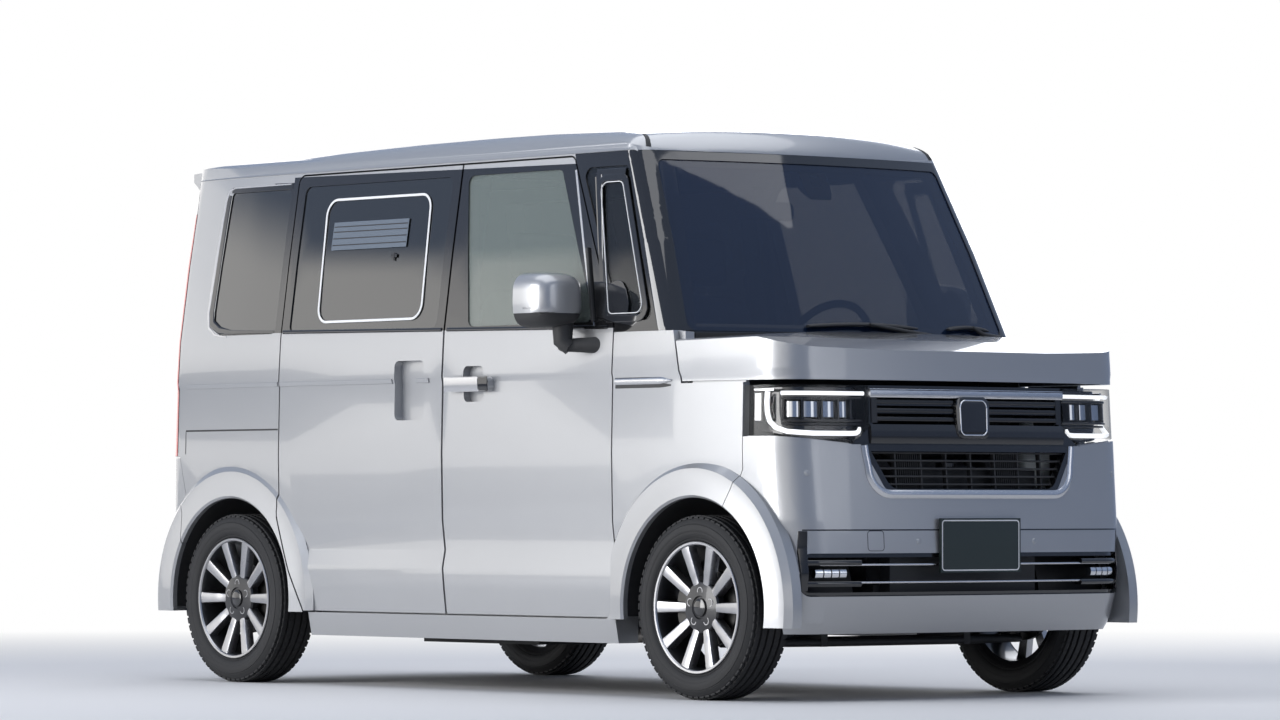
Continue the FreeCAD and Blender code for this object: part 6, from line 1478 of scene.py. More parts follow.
class RoofSkin(Kit):
    """The domed outer roof, which turns down over the windscreen, with its dark ditch strips."""

    CROWN = ((-1.66, 1.7345), (-1.6, 1.7385), (-1.4, 1.757), (-1.2, 1.771), (-0.8, 1.787), (-0.4, 1.7945),
             (0.0, 1.797), (0.3, 1.796), (0.6, 1.789), (0.75, 1.779), (0.82, 1.769), (0.92, 1.751))
    EDGE = ((-0.003, 0.0), (-0.006, 0.1), (-0.011, 0.3), (-0.019, 0.5), (-0.03, 0.68), (-0.044, 0.83),
            (-0.058, 0.93), (-0.072, 1.0))
    REAR = -1.618
    LEVEL = 1.7
    PROUD = 0.006
    FALL, HALF = 0.027, 0.56
    RIM, DIP, DIP_START, DIP_LENGTH = 1.698, 0.03, 0.79, 0.05
    DITCH = 0.55

    def crown(self, along: float, across: float) -> float:
        """The height of the domed middle."""
        rows = self.CROWN
        along = min(max(along, rows[0][0]), rows[-1][0])
        low, high = next((low, high) for low, high in zip(rows, rows[1:]) if along <= high[0])
        top = low[1] + (high[1] - low[1]) * (along - low[0]) / (high[0] - low[0])
        return top - self.FALL * min(abs(across) / self.HALF, 1.0) ** 2.4

    def rim(self, along: float) -> float:
        """The height of the roof's lower edge, which dips over the windscreen."""
        share = min(max((along - self.DIP_START) / self.DIP_LENGTH, 0.0), 1.0)
        return self.RIM - self.DIP * share * share * (3 - 2 * share)

    def ring(self, inset: float, rise: float, lift: float = 0.0) -> list[Point]:
        """One ring of the skin, at an inset from the outline and a share of the rise."""
        half = FORM.outline(self.LEVEL, inset + self.PROUD, True)
        front, rear = half[:41], half[41:]
        sides = [tuple(a + (b - a) * k / 40 for a, b in zip(front[-1], rear[0])) for k in range(1, 40)]
        half = front + sides + rear
        points = []
        for x, y in half + [(x, -y) for x, y in reversed(half[1:-1])]:
            x = max(x, self.REAR)
            low = self.rim(x)
            points.append((x, y, low + (self.crown(x, y) - low) * rise + lift))
        return points

    def build(self) -> None:
        """Make the skin and the ditch strips."""
        with self.piece("roof_skin", Paint.SILVER) as mesh:
            rings = [self.ring(-0.012, 0.0, 0.0015)] + [self.ring(inset, rise) for inset, rise in self.EDGE]
            edge = rings[-1]
            for share in (0.86, 0.7, 0.52, 0.34, 0.17, 0.001):
                rings.append([(x, y * share, self.crown(x, y * share)) for x, y, _ in edge])
            part = bmesh.new()
            add_tube(part, rings, capped=False)
            bmesh.ops.remove_doubles(part, verts=part.verts[:], dist=4e-4)
            bmesh.ops.holes_fill(part, edges=part.edges[:], sides=0)
            merge_into(mesh, part)
        with self.piece("roof_ditch_strips", Paint.DARK) as strips:
            for side, _ in SIDES:
                path = []
                for inset, rise in self.EDGE:
                    front = [point for point in self.ring(inset, rise)
                             if point[0] > 0.5 and point[1] * side > 0]
                    path.append(Vector(min(front,
                                           key=lambda point: abs(abs(point[1]) - 0.585 - inset * 0.3))))
                path += [Vector((x, side * self.DITCH, self.skin_height(x, self.DITCH)))
                         for x in spread(0.7, -1.59, 30)]
                self.add_ribbon(strips, path,
                                [0.017, 0.017, 0.016, 0.015, 0.013, 0.011, 0.009, 0.007] + [0.004] * 30)

    def skin_height(self, along: float, across: float) -> float:
        """The height of the skin near a side, at a place along the car."""
        half = FORM.side(1, along, self.LEVEL, 0.0, True)[1]
        inset = across - half
        rise = 1.0
        for low, high in zip(self.EDGE, self.EDGE[1:]):
            if high[0] + self.PROUD <= inset:
                share = (inset - low[0] - self.PROUD) / (high[0] - low[0])
                rise = low[1] + (high[1] - low[1]) * share
                break
        base = self.rim(along)
        return base + (self.crown(along, across) - base) * rise

    def add_ribbon(self, mesh: Mesh, path: Sequence[Vector], halves: Sequence[float]) -> None:
        """A flat strip across the car's width that follows points in space."""
        rings = []
        for k, (point, half) in enumerate(zip(path, halves)):
            ahead = (path[min(k + 1, len(path) - 1)] - path[max(k - 1, 0)]).normalized()
            up = Vector((0, 1, 0)).cross(ahead).normalized()
            up = up if up.z > 0 or up.x > 0 else -up
            rings.append([tuple(point + Vector((0, y * half, 0)) + up * rise)
                          for y, rise in ((-1.0, -0.003), (-0.9, 0.0006), (0.9, 0.0006), (1.0, -0.003))])
        add_tube(mesh, rings)


# Mirrors, handles and side trim

@dataclass
class SideTrim(Kit):
    """One side's mirror, door pieces, window trim and decals."""

    side: int
    label: str
    mirror_middle: Point = (0.618, 0.82, 1.23)

    def build(self) -> None:
        """Make this side's pieces."""
        self.build_mirror()
        self.build_handle()
        self.build_garnish()
        self.build_window_trim()
        self.build_door_edges()
        self.build_front_pane()

    def flank(self, along: float, height: float, proud: float) -> Point:
        """A point of this side's flank."""
        return FORM.side(self.side, along, height, proud)

    def shell_ring(self, along: float, scale: float, low: float, high: float) -> list[Point]:
        """One upright ring of the mirror's shell between two heights, shaped as a rounded box."""
        x0, y0, z0 = self.mirror_middle
        ring = []
        for angle in turns(40):
            c, s = (math.copysign(abs(value) ** (2 / 3.4), value)
                    for value in (math.cos(angle), math.sin(angle)))
            z = max(min(z0 + 0.0865 * scale * s, high), low)
            ring.append((x0 + along, self.side * (y0 + 0.0935 * scale * c), z))
        return ring

    def shell(self, mesh: Mesh, low: float, high: float, grow: float) -> None:
        """Add the part of the mirror's shell between two heights."""
        add_tube(mesh, [self.shell_ring(along, scale * grow, low, high) for along, scale in (
            (-0.07, 0.93), (-0.072, 1.0), (-0.03, 1.0), (0.01, 0.985), (0.038, 0.93), (0.056, 0.84),
            (0.067, 0.7),
            (0.0715, 0.56))])
        bmesh.ops.remove_doubles(mesh, verts=mesh.verts[:], dist=2e-5)

    def build_mirror(self) -> None:
        """The painted cap over a black shell, its stalk, indicator and glass."""
        side, body = self.side, "front_door_" + self.label
        x0, y0, z0 = self.mirror_middle
        with self.piece("mirror_cap_" + self.label, Paint.SILVER, body,
                        replaced=["mirror_" + self.label]) as cap:
            self.shell(cap, z0 - 0.042, z0 + 0.2, 1.0)
        with self.piece("mirror_shell_" + self.label, Paint.DARK, body) as base:
            self.shell(base, z0 - 0.2, z0 - 0.0425, 0.992)
            stalk = [(x0 + x, side * (y0 + y), z0 + z) for x, y, z in (
                (0.01, -0.04, -0.07), (0.012, -0.04, -0.128), (0.03, -0.055, -0.146))]
            add_rod(base, stalk, [0.034, 0.031, 0.027], 20)
            add_tube(base, [[(x0 + x + half_x * math.cos(a), side * (y0 + y),
                              z0 - 0.14 + half_z * math.sin(a))
                             for a in turns(24)]
                            for x, y, half_x,
                            half_z in ((0.012, -0.04, 0.03, 0.02), (0.06, -0.078, 0.03, 0.023),
                                                         (0.098, -0.112, 0.034, 0.026))])
        with self.piece("mirror_glass_" + self.label, Paint.MIRROR, body) as glass:
            add_tube(glass, [self.shell_ring(-0.0722, 0.9, 0, 9), self.shell_ring(-0.0735, 0.88, 0, 9)])
        with self.piece("mirror_indicator_" + self.label, Paint.LENS, body) as lamp:
            rows = []
            for degrees in spread(-10, 62, 9):
                angle = math.radians(degrees)
                x = x0 + 0.056 * math.sin(angle) - 0.01
                y = y0 + 0.0945 * math.cos(max(angle, 0) * 0.62)
                rows.append([(x, side * (y + out), z0 + up) for out, up in (
                    (-0.01, -0.03), (0.0006, -0.03), (0.001, -0.024), (-0.01, -0.022))])
            add_tube(lamp, rows)

    def build_handle(self) -> None:
        """The handle's bright grip and its dark end."""
        body = "front_door_" + self.label
        with self.piece("handle_grip_" + self.label, Paint.SATIN, body) as grip:
            add_strip(grip, row(-0.025, 0.15, 15, 0.9775), 0.047, self.flank, 0.0245, 0.002, 0.003)
        with self.piece("handle_end_" + self.label, Paint.GLOSS_BLACK, body) as end:
            add_strip(end, row(0.154, 0.2, 6, 0.9775), 0.047, self.flank, 0.0245, 0.002, 0.003)

    def build_garnish(self) -> None:
        """The slim bright bar behind the bonnet's corner, with a dark strip of painted shade under it."""
        with self.piece("fender_bar_" + self.label, Paint.SATIN) as bright:
            path = row(0.815, 1.085, 16, 0.975)
            add_strip(bright, path, [0.022] * 13 + [0.018, 0.012, 0.005], self.flank, 0.0035, 0.006, 0.002)
        # Dark strip under the bar: painted shade below the bar.
        with self.piece("fender_bar_painted_shade_" + self.label, Paint.DARK) as dark:
            add_strip(dark, row(0.815, 1.08, 16, 0.96), [0.014] * 13 + [0.012, 0.009, 0.005], self.flank,
                      0.0015, 0.004)

    def build_window_trim(self) -> None:
        """The pale outline and vent on the sliding door's glass, and the belt seals."""
        with self.piece("window_outline_" + self.label, Paint.DECAL) as pale:
            loop = rounded_loop([(-0.759, 1.195, 0.05), (-0.197, 1.195, 0.05), (-0.215, 1.6, 0.05),
                                 (-0.778, 1.6, 0.05)], 8)
            add_strip(pale, loop, 0.0085, self.flank, 0.0009, 0.0012, 0.0, closed=True)
        with self.piece("window_vent_" + self.label, Paint.SHADE) as vent:
            add_patch(vent, panel(-0.728, -0.319, 14, 1.432, 1.524), self.flank, 0.0004, 0.0008, 6)
        with self.piece("window_slats_" + self.label, Paint.POCKET, slot="privacy_glass") as slats:
            for height in (1.509, 1.492, 1.47, 1.448):
                add_strip(slats, row(-0.724, -0.323, 14, height), 0.004, self.flank, 0.0009, 0.0012)
            add_strip(slats, row(-0.392, -0.362, 4, 1.404), 0.012, self.flank, 0.0012, 0.0014)
            add_strip(slats, column(-0.378, 1.388, 1.414, 4), 0.008, self.flank, 0.0022, 0.0024)
        body = "front_door_" + self.label
        with self.piece("belt_seal_" + self.label, Paint.GLOSS_BLACK, body) as seal:
            add_strip(seal, [(x, 1.1545 - 0.013 * x) for x in spread(-0.048, 0.77, 24)], 0.012, self.flank,
                      0.003, 0.008, 0.001)
        with self.piece("rear_belt_seal_" + self.label, Paint.GLOSS_BLACK) as rear:
            add_strip(rear, [(x, 1.1545 - 0.013 * x) for x in spread(-0.945, -0.078, 26)], 0.012,
                      self.flank, 0.003, 0.008, 0.001)
        with self.piece("window_blade_" + self.label, Paint.DARK, body) as blade:
            add_strip(blade, [(0.7 - 0.29 * (z - 1.16), z) for z in spread(1.165, 1.395, 10)], 0.013,
                      self.flank, 0.008, 0.01, 0.002)

    def build_front_pane(self) -> None:
        """The front pane's border, light line and dark corner, a painted highlight on the pillar's edge, and
        the fender.
        """
        with self.piece("pane_border_" + self.label, Paint.BLACK_FILM) as frit:
            loop = rounded_loop([(0.757, 1.17, 0.02), (0.962, 1.17, 0.03), (0.776, 1.614, 0.03),
                                 (0.643, 1.614, 0.03)], 6)
            add_strip(frit, loop, 0.022, self.flank, 0.0042, 0.004, 0.0, closed=True)
            add_strip(frit, [(0.643 + 0.1 * k / 12, 1.622 - 0.43 * k / 12) for k in range(13)],
                      spread(0.036, 0.014, 13), self.flank,
                      0.0038, 0.004)
            add_strip(frit, row(0.632, 0.775, 10, 1.63), 0.024, self.flank, 0.0036, 0.004)
            heights = (1.225, 1.262, 1.28, 1.288, 1.288, 1.28, 1.258, 1.215)
            add_patch(frit, [(x, 1.168, z) for x, z in zip(spread(0.722, 0.864, 8), heights)], self.flank,
                      0.003, 0.003, 6)
        with self.piece("pane_line_" + self.label, Paint.DECAL) as line:
            loop = rounded_loop([(0.772, 1.186, 0.02), (0.942, 1.186, 0.025), (0.767, 1.6, 0.025),
                                 (0.659, 1.6, 0.025)], 6)
            add_strip(line, loop, 0.003, self.flank, 0.005, 0.003, 0.0, closed=True)
        # Plated strip along the door glass's front edge: a painted highlight on the pillar's edge.
        with self.piece("door_glass_edge_highlight_" + self.label, Paint.SATIN, "front_door_" + self.label) as bright:
            add_strip(bright, [(0.523 + 0.176 * k / 14, 1.645 - 0.495 * k / 14) for k in range(15)], 0.009,
                      self.flank, 0.0016, 0.003)
        with self.piece("fender_corner_" + self.label, Paint.SILVER) as corner:
            add_patch(corner, [(x, 1.086, 1.127 - 0.1 * (x - 1.084)) for x in spread(1.084, 1.1215, 4)],
                      lambda along, height, proud: (along, self.side * (0.6935 + proud), height), 0.0,
                      0.035, 3)
        with self.piece("flank_crease_" + self.label, Paint.SILVER) as crease:
            for start, end in ((-1.52, -0.962), (-0.95, -0.33), (-0.2, -0.135)):
                add_strip(crease, row(start, end, 24, 0.9935), 0.015, self.flank, 0.0042, 0.007)

    def build_door_edges(self) -> None:
        """The sliding door's rail cover: a dark slot and the upright line behind it."""
        with self.piece("rail_slot_" + self.label, Paint.DARK) as mesh:
            add_strip(mesh, row(-1.52, -0.962, 24, 0.844), 0.006, self.flank, 0.0008, 0.003)
            add_strip(mesh, column(-1.52, 0.765, 0.842, 5), 0.003, self.flank, 0.0007, 0.003)


# Glazing and wipers

@dataclass
class ScreenFittings(Kit):
    """The windscreen's black border, the camera housing, the inside mirror and the wipers."""

    def screen(self, across: float, height: float, proud: float) -> Point:
        """A point of the windscreen."""
        return FORM.nose(across, height, proud, upper=True)

    def build(self) -> None:
        """Make the pieces on and behind the windscreen."""
        self.build_border()
        self.build_camera_housing()
        self.build_inside_mirror()
        self.build_wipers()

    def build_border(self) -> None:
        """The printed border inside the glass."""
        with self.piece("screen_border", Paint.GLOSS_BLACK) as mesh:
            half_low, half_high = 0.64, 0.545
            for low, high in ((1.645, 1.688), (1.105, 1.15)):
                add_patch(mesh, panel(-0.56 if low > 1.5 else -0.66, 0.56 if low > 1.5 else 0.66, 25, low,
                                      high),
                          self.screen, -0.0062, 0.0012, 3)
            for side in (-1, 1):
                path = [(side * (half_low - (half_low - half_high) * (z - 1.15) / 0.5), z)
                        for z in spread(1.13, 1.66, 12)]
                add_strip(mesh, path, 0.05, self.screen, -0.0062, 0.0012)

    def build_camera_housing(self) -> None:
        """The forward camera's housing at the top of the glass."""
        with self.piece("camera_housing", Paint.DARK) as mesh:
            rings = []
            for height, half, depth in ((1.555, 0.04, 0.014), (1.575, 0.052, 0.03), (1.61, 0.056, 0.052),
                                        (1.65, 0.058, 0.06),
                                        (1.682, 0.058, 0.058)):
                front = [self.screen(y, height, -0.0085) for y in spread(-half, half, 7)]
                back = [(x - depth, y * 0.86, z) for x, y, z in reversed(front)]
                rings.append(front + back)
            add_tube(mesh, rings)
        with self.piece("camera_eye", Paint.GLOSS_BLACK) as eye:
            add_patch(eye, panel(-0.02, 0.02, 7, 1.6, 1.632), self.screen, -0.0075, 0.002, 4)

    def build_inside_mirror(self) -> None:
        """The inside mirror on its arm."""
        with self.piece("inside_mirror", Paint.DARK, slot="cabin_plastic") as mesh:
            loop = rounded_loop([(-0.115, 1.5, 0.022), (0.115, 1.5, 0.022), (0.118, 1.56, 0.026),
                                 (-0.118, 1.56, 0.026)], 6)
            rings = [[(x, y * s, 1.53 + (z - 1.53) * s) for y, z in loop]
                     for x, s in ((0.672, 0.93), (0.675, 1.0), (0.69, 1.0), (0.706, 0.88), (0.712, 0.6))]
            add_tube(mesh, rings)
            add_rod(mesh, [(0.705, 0.0, 1.545), (0.74, 0.0, 1.59), (0.79, 0.0, 1.64)],
                    [0.014, 0.01, 0.016], 12)
        with self.piece("inside_mirror_glass", Paint.MIRROR) as glass:
            add_tube(glass, [[(0.6716, y * s, 1.53 + (z - 1.53) * s) for y, z in loop] for s in (0.9, 0.02)])

    def build_wipers(self) -> None:
        """Two wipers lying along the foot of the glass."""
        with self.piece("front_wipers", Paint.DARK) as arms:
            for pivot, tip in ((0.25, -0.23), (0.6, 0.37)):
                base = Vector(self.screen(pivot, 1.122, 0.026))
                rise = Vector(self.screen(pivot - 0.08, 1.134, 0.03))
                end = Vector(self.screen((pivot + tip) / 2, 1.157, 0.022))
                foot = base - Vector((0, 0, 0.03))
                add_rod(arms, [foot, base, rise, end], [0.013, 0.013, 0.008, 0.005], 10)
                places = enumerate(spread(pivot - 0.03, tip, 13))
                blade = [(y, 1.148 + 0.009 * math.sin(math.pi * k / 12)) for k, y in places]
                add_strip(arms, blade, [0.007] + [0.012] * 11 + [0.007], self.screen, 0.014, 0.012, 0.004)
                add_strip(arms, blade, 0.003, self.screen, 0.005, 0.0045)


# The cabin

def add_cushion(mesh: Mesh, middle: Point, along: Vector, half: Point, crown: float,
                channels: Sequence[float] = (), bolster: float = 0.0, inset: float = 0.62) -> None:
    """Add a stuffed pad: a closed form, crowned, pulled in at its sewn channels and between its corners.

    Args:
        mesh: The bmesh to add to.
        middle: The pad's middle.
        along: Its lengthways direction, in an upright plane that runs along the car.
        half: Half its width, length and thickness.
        crown: How far its middle rises.
        channels: Places of the seams across it, from minus one to one.
        bolster: How far its sides rise over its middle.
        inset: Where the lengthways seams run, as a share of the half width.
    """
    along = along.normalized()
    face = Vector((0, 1, 0)).cross(along).normalized()
    if face.z < 0 and abs(face.z) > abs(face.x) or abs(face.x) >= abs(face.z) and face.x < 0:
        face = -face
    origin = Vector(middle)
    half_width, half_length, half_thick = half
    rings = []
    rows, sides = 56, 72
    for row in range(rows + 1):
        v = math.sin((row / rows - 0.5) * math.pi)
        v = max(min(v, 0.9995), -0.9995)
        end = (1 - abs(v) ** 7) ** (1 / 3.2)
        pull = 1.0 - 0.028 * (1 - v * v)
        ring = []
        for k in range(sides):
            angle = math.tau * (k + 0.5) / sides
            c, s = math.cos(angle), math.sin(angle)
            u = math.copysign(abs(c) ** 0.36, c)
            w = math.copysign(abs(s) ** 0.52, s)
            lift = 0.0
            if w > 0:
                lift += crown * (1 - u * u) * (1 - v * v)
                rise = min(max((abs(u) - inset) / (0.9 - inset), 0.0), 1.0)
                lift += bolster * rise * rise * (3 - 2 * rise) * (1 - v ** 6)
                for place in channels:
                    lift -= 0.009 * math.exp(-((v - place) / 0.035) ** 2) * min(1.0,
                                                                                max(0.0,
                                                                                    (inset - abs(u)) / 0.05))
                if bolster:
                    lift -= 0.009 * math.exp(-((abs(u) - inset) / 0.03) ** 2) * (1 - v ** 10)
                lift *= min(1.0, w * 1.6)
            round_end = 0.55 + 0.45 * end
            ring.append(origin + Vector((0, 1, 0)) * (u * half_width * pull * round_end)
                        + along * (v * half_length) + face * (w * half_thick * end + lift * end))
        rings.append(ring)
    add_tube(mesh, rings)


@dataclass(frozen=True)
class SeatPlan:
    """Where a seat's pads lie, in metres, seen from the side."""

    shift: float
    drop: float
    cushion: Point = (0.305, 0.0, 0.712)
    cushion_half: Point = (0.236, 0.236, 0.06)
    back_low: Point = (0.03, 0.0, 0.7)
    back_high: Point = (-0.072, 0.0, 1.285)
    head: Point = (-0.05, 0.0, 1.397)


@dataclass
class Seats(Kit):
    """The front seats and the rear bench, as sewn pads on plastic bases."""

    front: SeatPlan = SeatPlan(0.0, 0.0)
    rear: SeatPlan = SeatPlan(0.85, 0.03)

    def build(self) -> None:
        """Make every pad, post and base."""
        for side, label in SIDES:
            self.build_seat("front_" + label, self.front, side * 0.32, 0.236, "front_seats", [side * 0.32])
        self.build_seat("rear", self.rear, 0.0, 0.532, "rear_seat", [-0.28, 0.28])

    def shifted(self, plan: SeatPlan, place: Point, across: float) -> Point:
        """A place of the plan, for one seat."""
        return (place[0] - plan.shift, across, place[2] - plan.drop)

    def build_seat(self, label: str, plan: SeatPlan, across: float, half_width: float, node: str,
                   heads: Sequence[float]) -> None:
        """Make one seat.

        Args:
            label: The start of its pieces' names.
            plan: Where its pads lie.
            across: Its middle across the car.
            half_width: Half its width.
            node: The CAD node that it stands for.
            heads: Where its headrests stand across the car.
        """
        if len(heads) > 1:
            for share, name in ((-0.5, "_right"), (0.5, "_left")):
                self.build_pads(label + name, plan, across + share * half_width, half_width / 2 - 0.002, node)
        else:
            self.build_pads(label, plan, across, half_width, node)
        for number, place in enumerate(heads, 1):
            self.build_headrest("%s_headrest_%d" % (label, number), plan, place)
        self.build_base(label, plan, across, half_width)

    def add_pad(self, name: str, replaced: Sequence[str], *shape: object) -> None:
        """Make one padded piece, from what add_cushion takes."""
        pad = bmesh.new()
        add_cushion(pad, *shape)
        item = mesh_object(name, pad, self.shop.get(Paint.CLOTH))
        finish_piece(item, "body", "seat_cloth", replaced)

    def build_pads(self, name: str, plan: SeatPlan, across: float, half_width: float, node: str) -> None:
        """The cushion and the back of one seat."""
        _, length, thick = plan.cushion_half
        self.add_pad(name + "_cushion", [node], self.shifted(plan, plan.cushion, across),
                     Vector((1, 0, 0.06)),
                     (half_width, length, thick), 0.006, (-0.45, 0.05, 0.55), 0.016)
        low, high = Vector(self.shifted(plan, plan.back_low, across)), Vector(self.shifted(plan,
                                                                                           plan.back_high,
                                                                                           across))
        self.add_pad(name + "_backrest", [], (low + high) / 2, high - low,
                     (half_width, (high - low).length / 2, 0.05), 0.005, (-0.35, 0.15, 0.62), 0.012)

    def build_headrest(self, name: str, plan: SeatPlan, across: float) -> None:
        """One headrest with its two posts."""
        x, _, z = self.shifted(plan, plan.head, across)
        self.add_pad(name, [], (x, across, z), Vector((-0.06, 0, 1)), (0.122, 0.077, 0.04), 0.004)
        with self.piece(name + "_posts", Paint.SATIN) as posts:
            for y in (across - 0.06, across + 0.06):
                add_rod(posts, [(x - 0.018, y, z - 0.16), (x - 0.006, y, z - 0.06)], 0.0065, 12)
                add_turned(posts, [(0.0, 0.0), (0.014, 0.0), (0.014, 0.006), (0.0, 0.006)], "Z",
                           (x - 0.016, y, z - 0.112), 20,
                           closed=False)

    def build_base(self, label: str, plan: SeatPlan, across: float, half_width: float) -> None:
        """The moulded base, its runners and the recliner covers."""
        with self.piece(label + "_seat_base", Paint.CABIN) as base:
            low_x, high_x = 0.075 - plan.shift, 0.475 - plan.shift
            floor = 0.2465 if plan.shift == 0 else 0.4715
            top = 0.66 - plan.drop
            half = half_width - 0.055
            add_box(base, (low_x, across - half, floor + 0.06), (high_x, across + half, top), 0.02)
            for sign in (-1, 1):
                y = across + sign * (half - 0.03)
                add_box(base, (low_x - 0.01, y - 0.018, floor), (high_x + 0.02, y + 0.018, floor + 0.059),
                        0.006)
                cover = rounded_loop([(low_x - 0.085, top - 0.01, 0.03), (low_x + 0.06, top - 0.01, 0.03),
                                      (low_x + 0.03, top + 0.15, 0.05), (low_x - 0.07, top + 0.15, 0.04)], 5)
                inner, outer = across + sign * (half_width - 0.006), across + sign * (half_width + 0.007)
                add_tube(base, [[(x, y_at, z) for x, z in cover] for y_at in (inner, outer)])


@dataclass
class Cockpit(Kit):
    """The dashboard's fittings, the steering wheel, the pedals and the door cards."""

    wheel_middle: Point = (0.6, 0.32, 1.084)
    wheel_tilt: float = 28.0
    wheel_radius: float = 0.178

    def build(self) -> None:
        """Make the cockpit's pieces."""
        self.build_steering_wheel()
        self.build_hood()
        self.build_face()
        self.build_pedals()
        for side, label in SIDES:
            self.build_door_card(side, label)
            self.build_visor(side, label)
            self.build_belt(side, label)

    def wheel_point(self, across: float, up: float, ahead: float) -> Vector:
        """A point by the steering wheel's own directions."""
        angle = math.radians(self.wheel_tilt)
        axis = Vector((math.cos(angle), 0, -math.sin(angle)))
        rise = Vector((math.sin(angle), 0, math.cos(angle)))
        return Vector(self.wheel_middle) + Vector((0, 1, 0)) * across + rise * up + axis * ahead

    def build_steering_wheel(self) -> None:
        """A thick rim with grips, three spokes, and a padded boss."""
        with self.piece("steering_wheel_rim", Paint.CABIN, "steering_wheel",
                        replaced=["steering_wheel"]) as rim:
            rings = []
            for k in range(97):
                angle = math.tau * k / 96
                fat = 0.0128 + 0.0012 * max(0.0, math.cos(2 * angle)) ** 3
                middle = (self.wheel_radius * math.cos(angle), self.wheel_radius * math.sin(angle))
                ring = []
                for j in range(16):
                    turn = math.tau * j / 16
                    reach = 1 + fat * math.cos(turn) / self.wheel_radius
                    ring.append(self.wheel_point(middle[0] * reach, middle[1] * reach,
                                                 fat * 1.05 * math.sin(turn)))
                rings.append(ring)
            part = bmesh.new()
            add_tube(part, rings, capped=False)
            bmesh.ops.remove_doubles(part, verts=part.verts[:], dist=1e-6)
            merge_into(rim, part)
            for angle in (0.0, 180.0, 270.0):
                c, s = math.cos(math.radians(angle)), math.sin(math.radians(angle))
                rings = []
                for reach, half, thick, ahead in ((0.045, 0.03, 0.01, 0.004), (0.09, 0.024, 0.009, 0.002),
                                                  (0.135, 0.018, 0.008, 0.0),
                                                  (self.wheel_radius, 0.015, 0.007, 0.0)):
                    ring = []
                    for j in range(20):
                        turn = math.tau * j / 20
                        wide = half * math.copysign(abs(math.cos(turn)) ** 0.6, math.cos(turn))
                        deep = thick * math.copysign(abs(math.sin(turn)) ** 0.8, math.sin(turn))
                        ring.append(self.wheel_point(c * reach - s * wide, s * reach + c * wide,
                                                     ahead + deep))
                    rings.append(ring)
                add_tube(rim, rings)
        with self.piece("steering_wheel_boss", Paint.DARK, "steering_wheel", slot="cabin_plastic") as boss:
            rings = []
            for ahead, scale in ((0.022, 0.62), (0.018, 0.95), (0.0, 1.0), (-0.012, 0.97), (-0.019, 0.86),
                                 (-0.022, 0.55), (-0.0228, 0.03)):
                loop = rounded_loop([(-0.062, -0.03, 0.03), (-0.036, -0.06, 0.03), (0.036, -0.06, 0.03),
                                     (0.062, -0.03, 0.03),
                                     (0.06, 0.042, 0.03), (-0.06, 0.042, 0.03)], 5)
                rings.append([self.wheel_point(a * scale, b * scale, ahead) for a, b in loop])
            add_tube(boss, rings)
        with self.piece("steering_wheel_keys", Paint.GLOSS_BLACK, "steering_wheel") as keys:
            for sign in (-1, 1):
                for up in (-0.008, 0.008):
                    middle = self.wheel_point(sign * 0.098, up, -0.009)
                    add_rod(keys, [middle,
                                   middle + (self.wheel_point(0, 0, -0.012) - self.wheel_point(0, 0,
                                                                                               0)) * 0.35],
                            0.006, 14)

    def build_hood(self) -> None:
        """The instrument hood with its dark window, and the dashboard's padded top."""
        with self.piece("instrument_hood", Paint.CABIN) as hood:
            loop = rounded_loop([(0.165, 1.07, 0.02), (0.475, 1.07, 0.02), (0.455, 1.158, 0.045),
                                 (0.185, 1.158, 0.045)], 7)
            rings = []
            for x, scale in ((0.722, 1.0), (0.716, 0.985), (0.716, 0.9), (0.732, 0.87)):
                rings.append([(x, 0.32 + (y - 0.32) * scale, 1.112 + (z - 1.112) * scale) for y, z in loop])
            back = [[(x, 0.32 + (y - 0.32) * scale, 1.112 + (z - 1.112) * scale - sink) for y, z in loop]
                    for x, scale, sink in ((0.78, 0.97, 0.004), (0.85, 0.86, 0.014), (0.9, 0.7, 0.024),
                                           (0.915, 0.45, 0.03))]
            add_tube(hood, list(reversed(back)) + rings)
        with self.piece("instrument_window", Paint.GLOSS_BLACK) as window:
            add_tube(window, [[(x, 0.32 + (y - 0.32) * s, 1.112 + (z - 1.112) * s) for y, z in loop]
                              for x, s in ((0.7312, 0.86), (0.7296, 0.855))])
        with self.piece("dashboard_pad", Paint.DARK, slot="cabin_plastic") as top:
            rings = []
            for x, rise in ((0.735, 0.0), (0.745, 0.01), (0.8, 0.014), (0.9, 0.013), (0.98, 0.006),
                            (0.992, 0.0)):
                rings.append([(x, y, 1.1165 + (rise if 0 < k < 12 else 0)) for k,
                              y in enumerate(spread(-0.59, 0.59, 13))]
                             + [(x, y, 1.1163) for y in spread(0.585, -0.585, 13)])
            add_tube(top, rings)

    def face_point(self, across: float, height: float, proud: float) -> Point:
        """A point of the dashboard's sloping face."""
        share = (height - 0.84) / 0.2
        return (0.8 - 0.1 * share - proud, across, height)

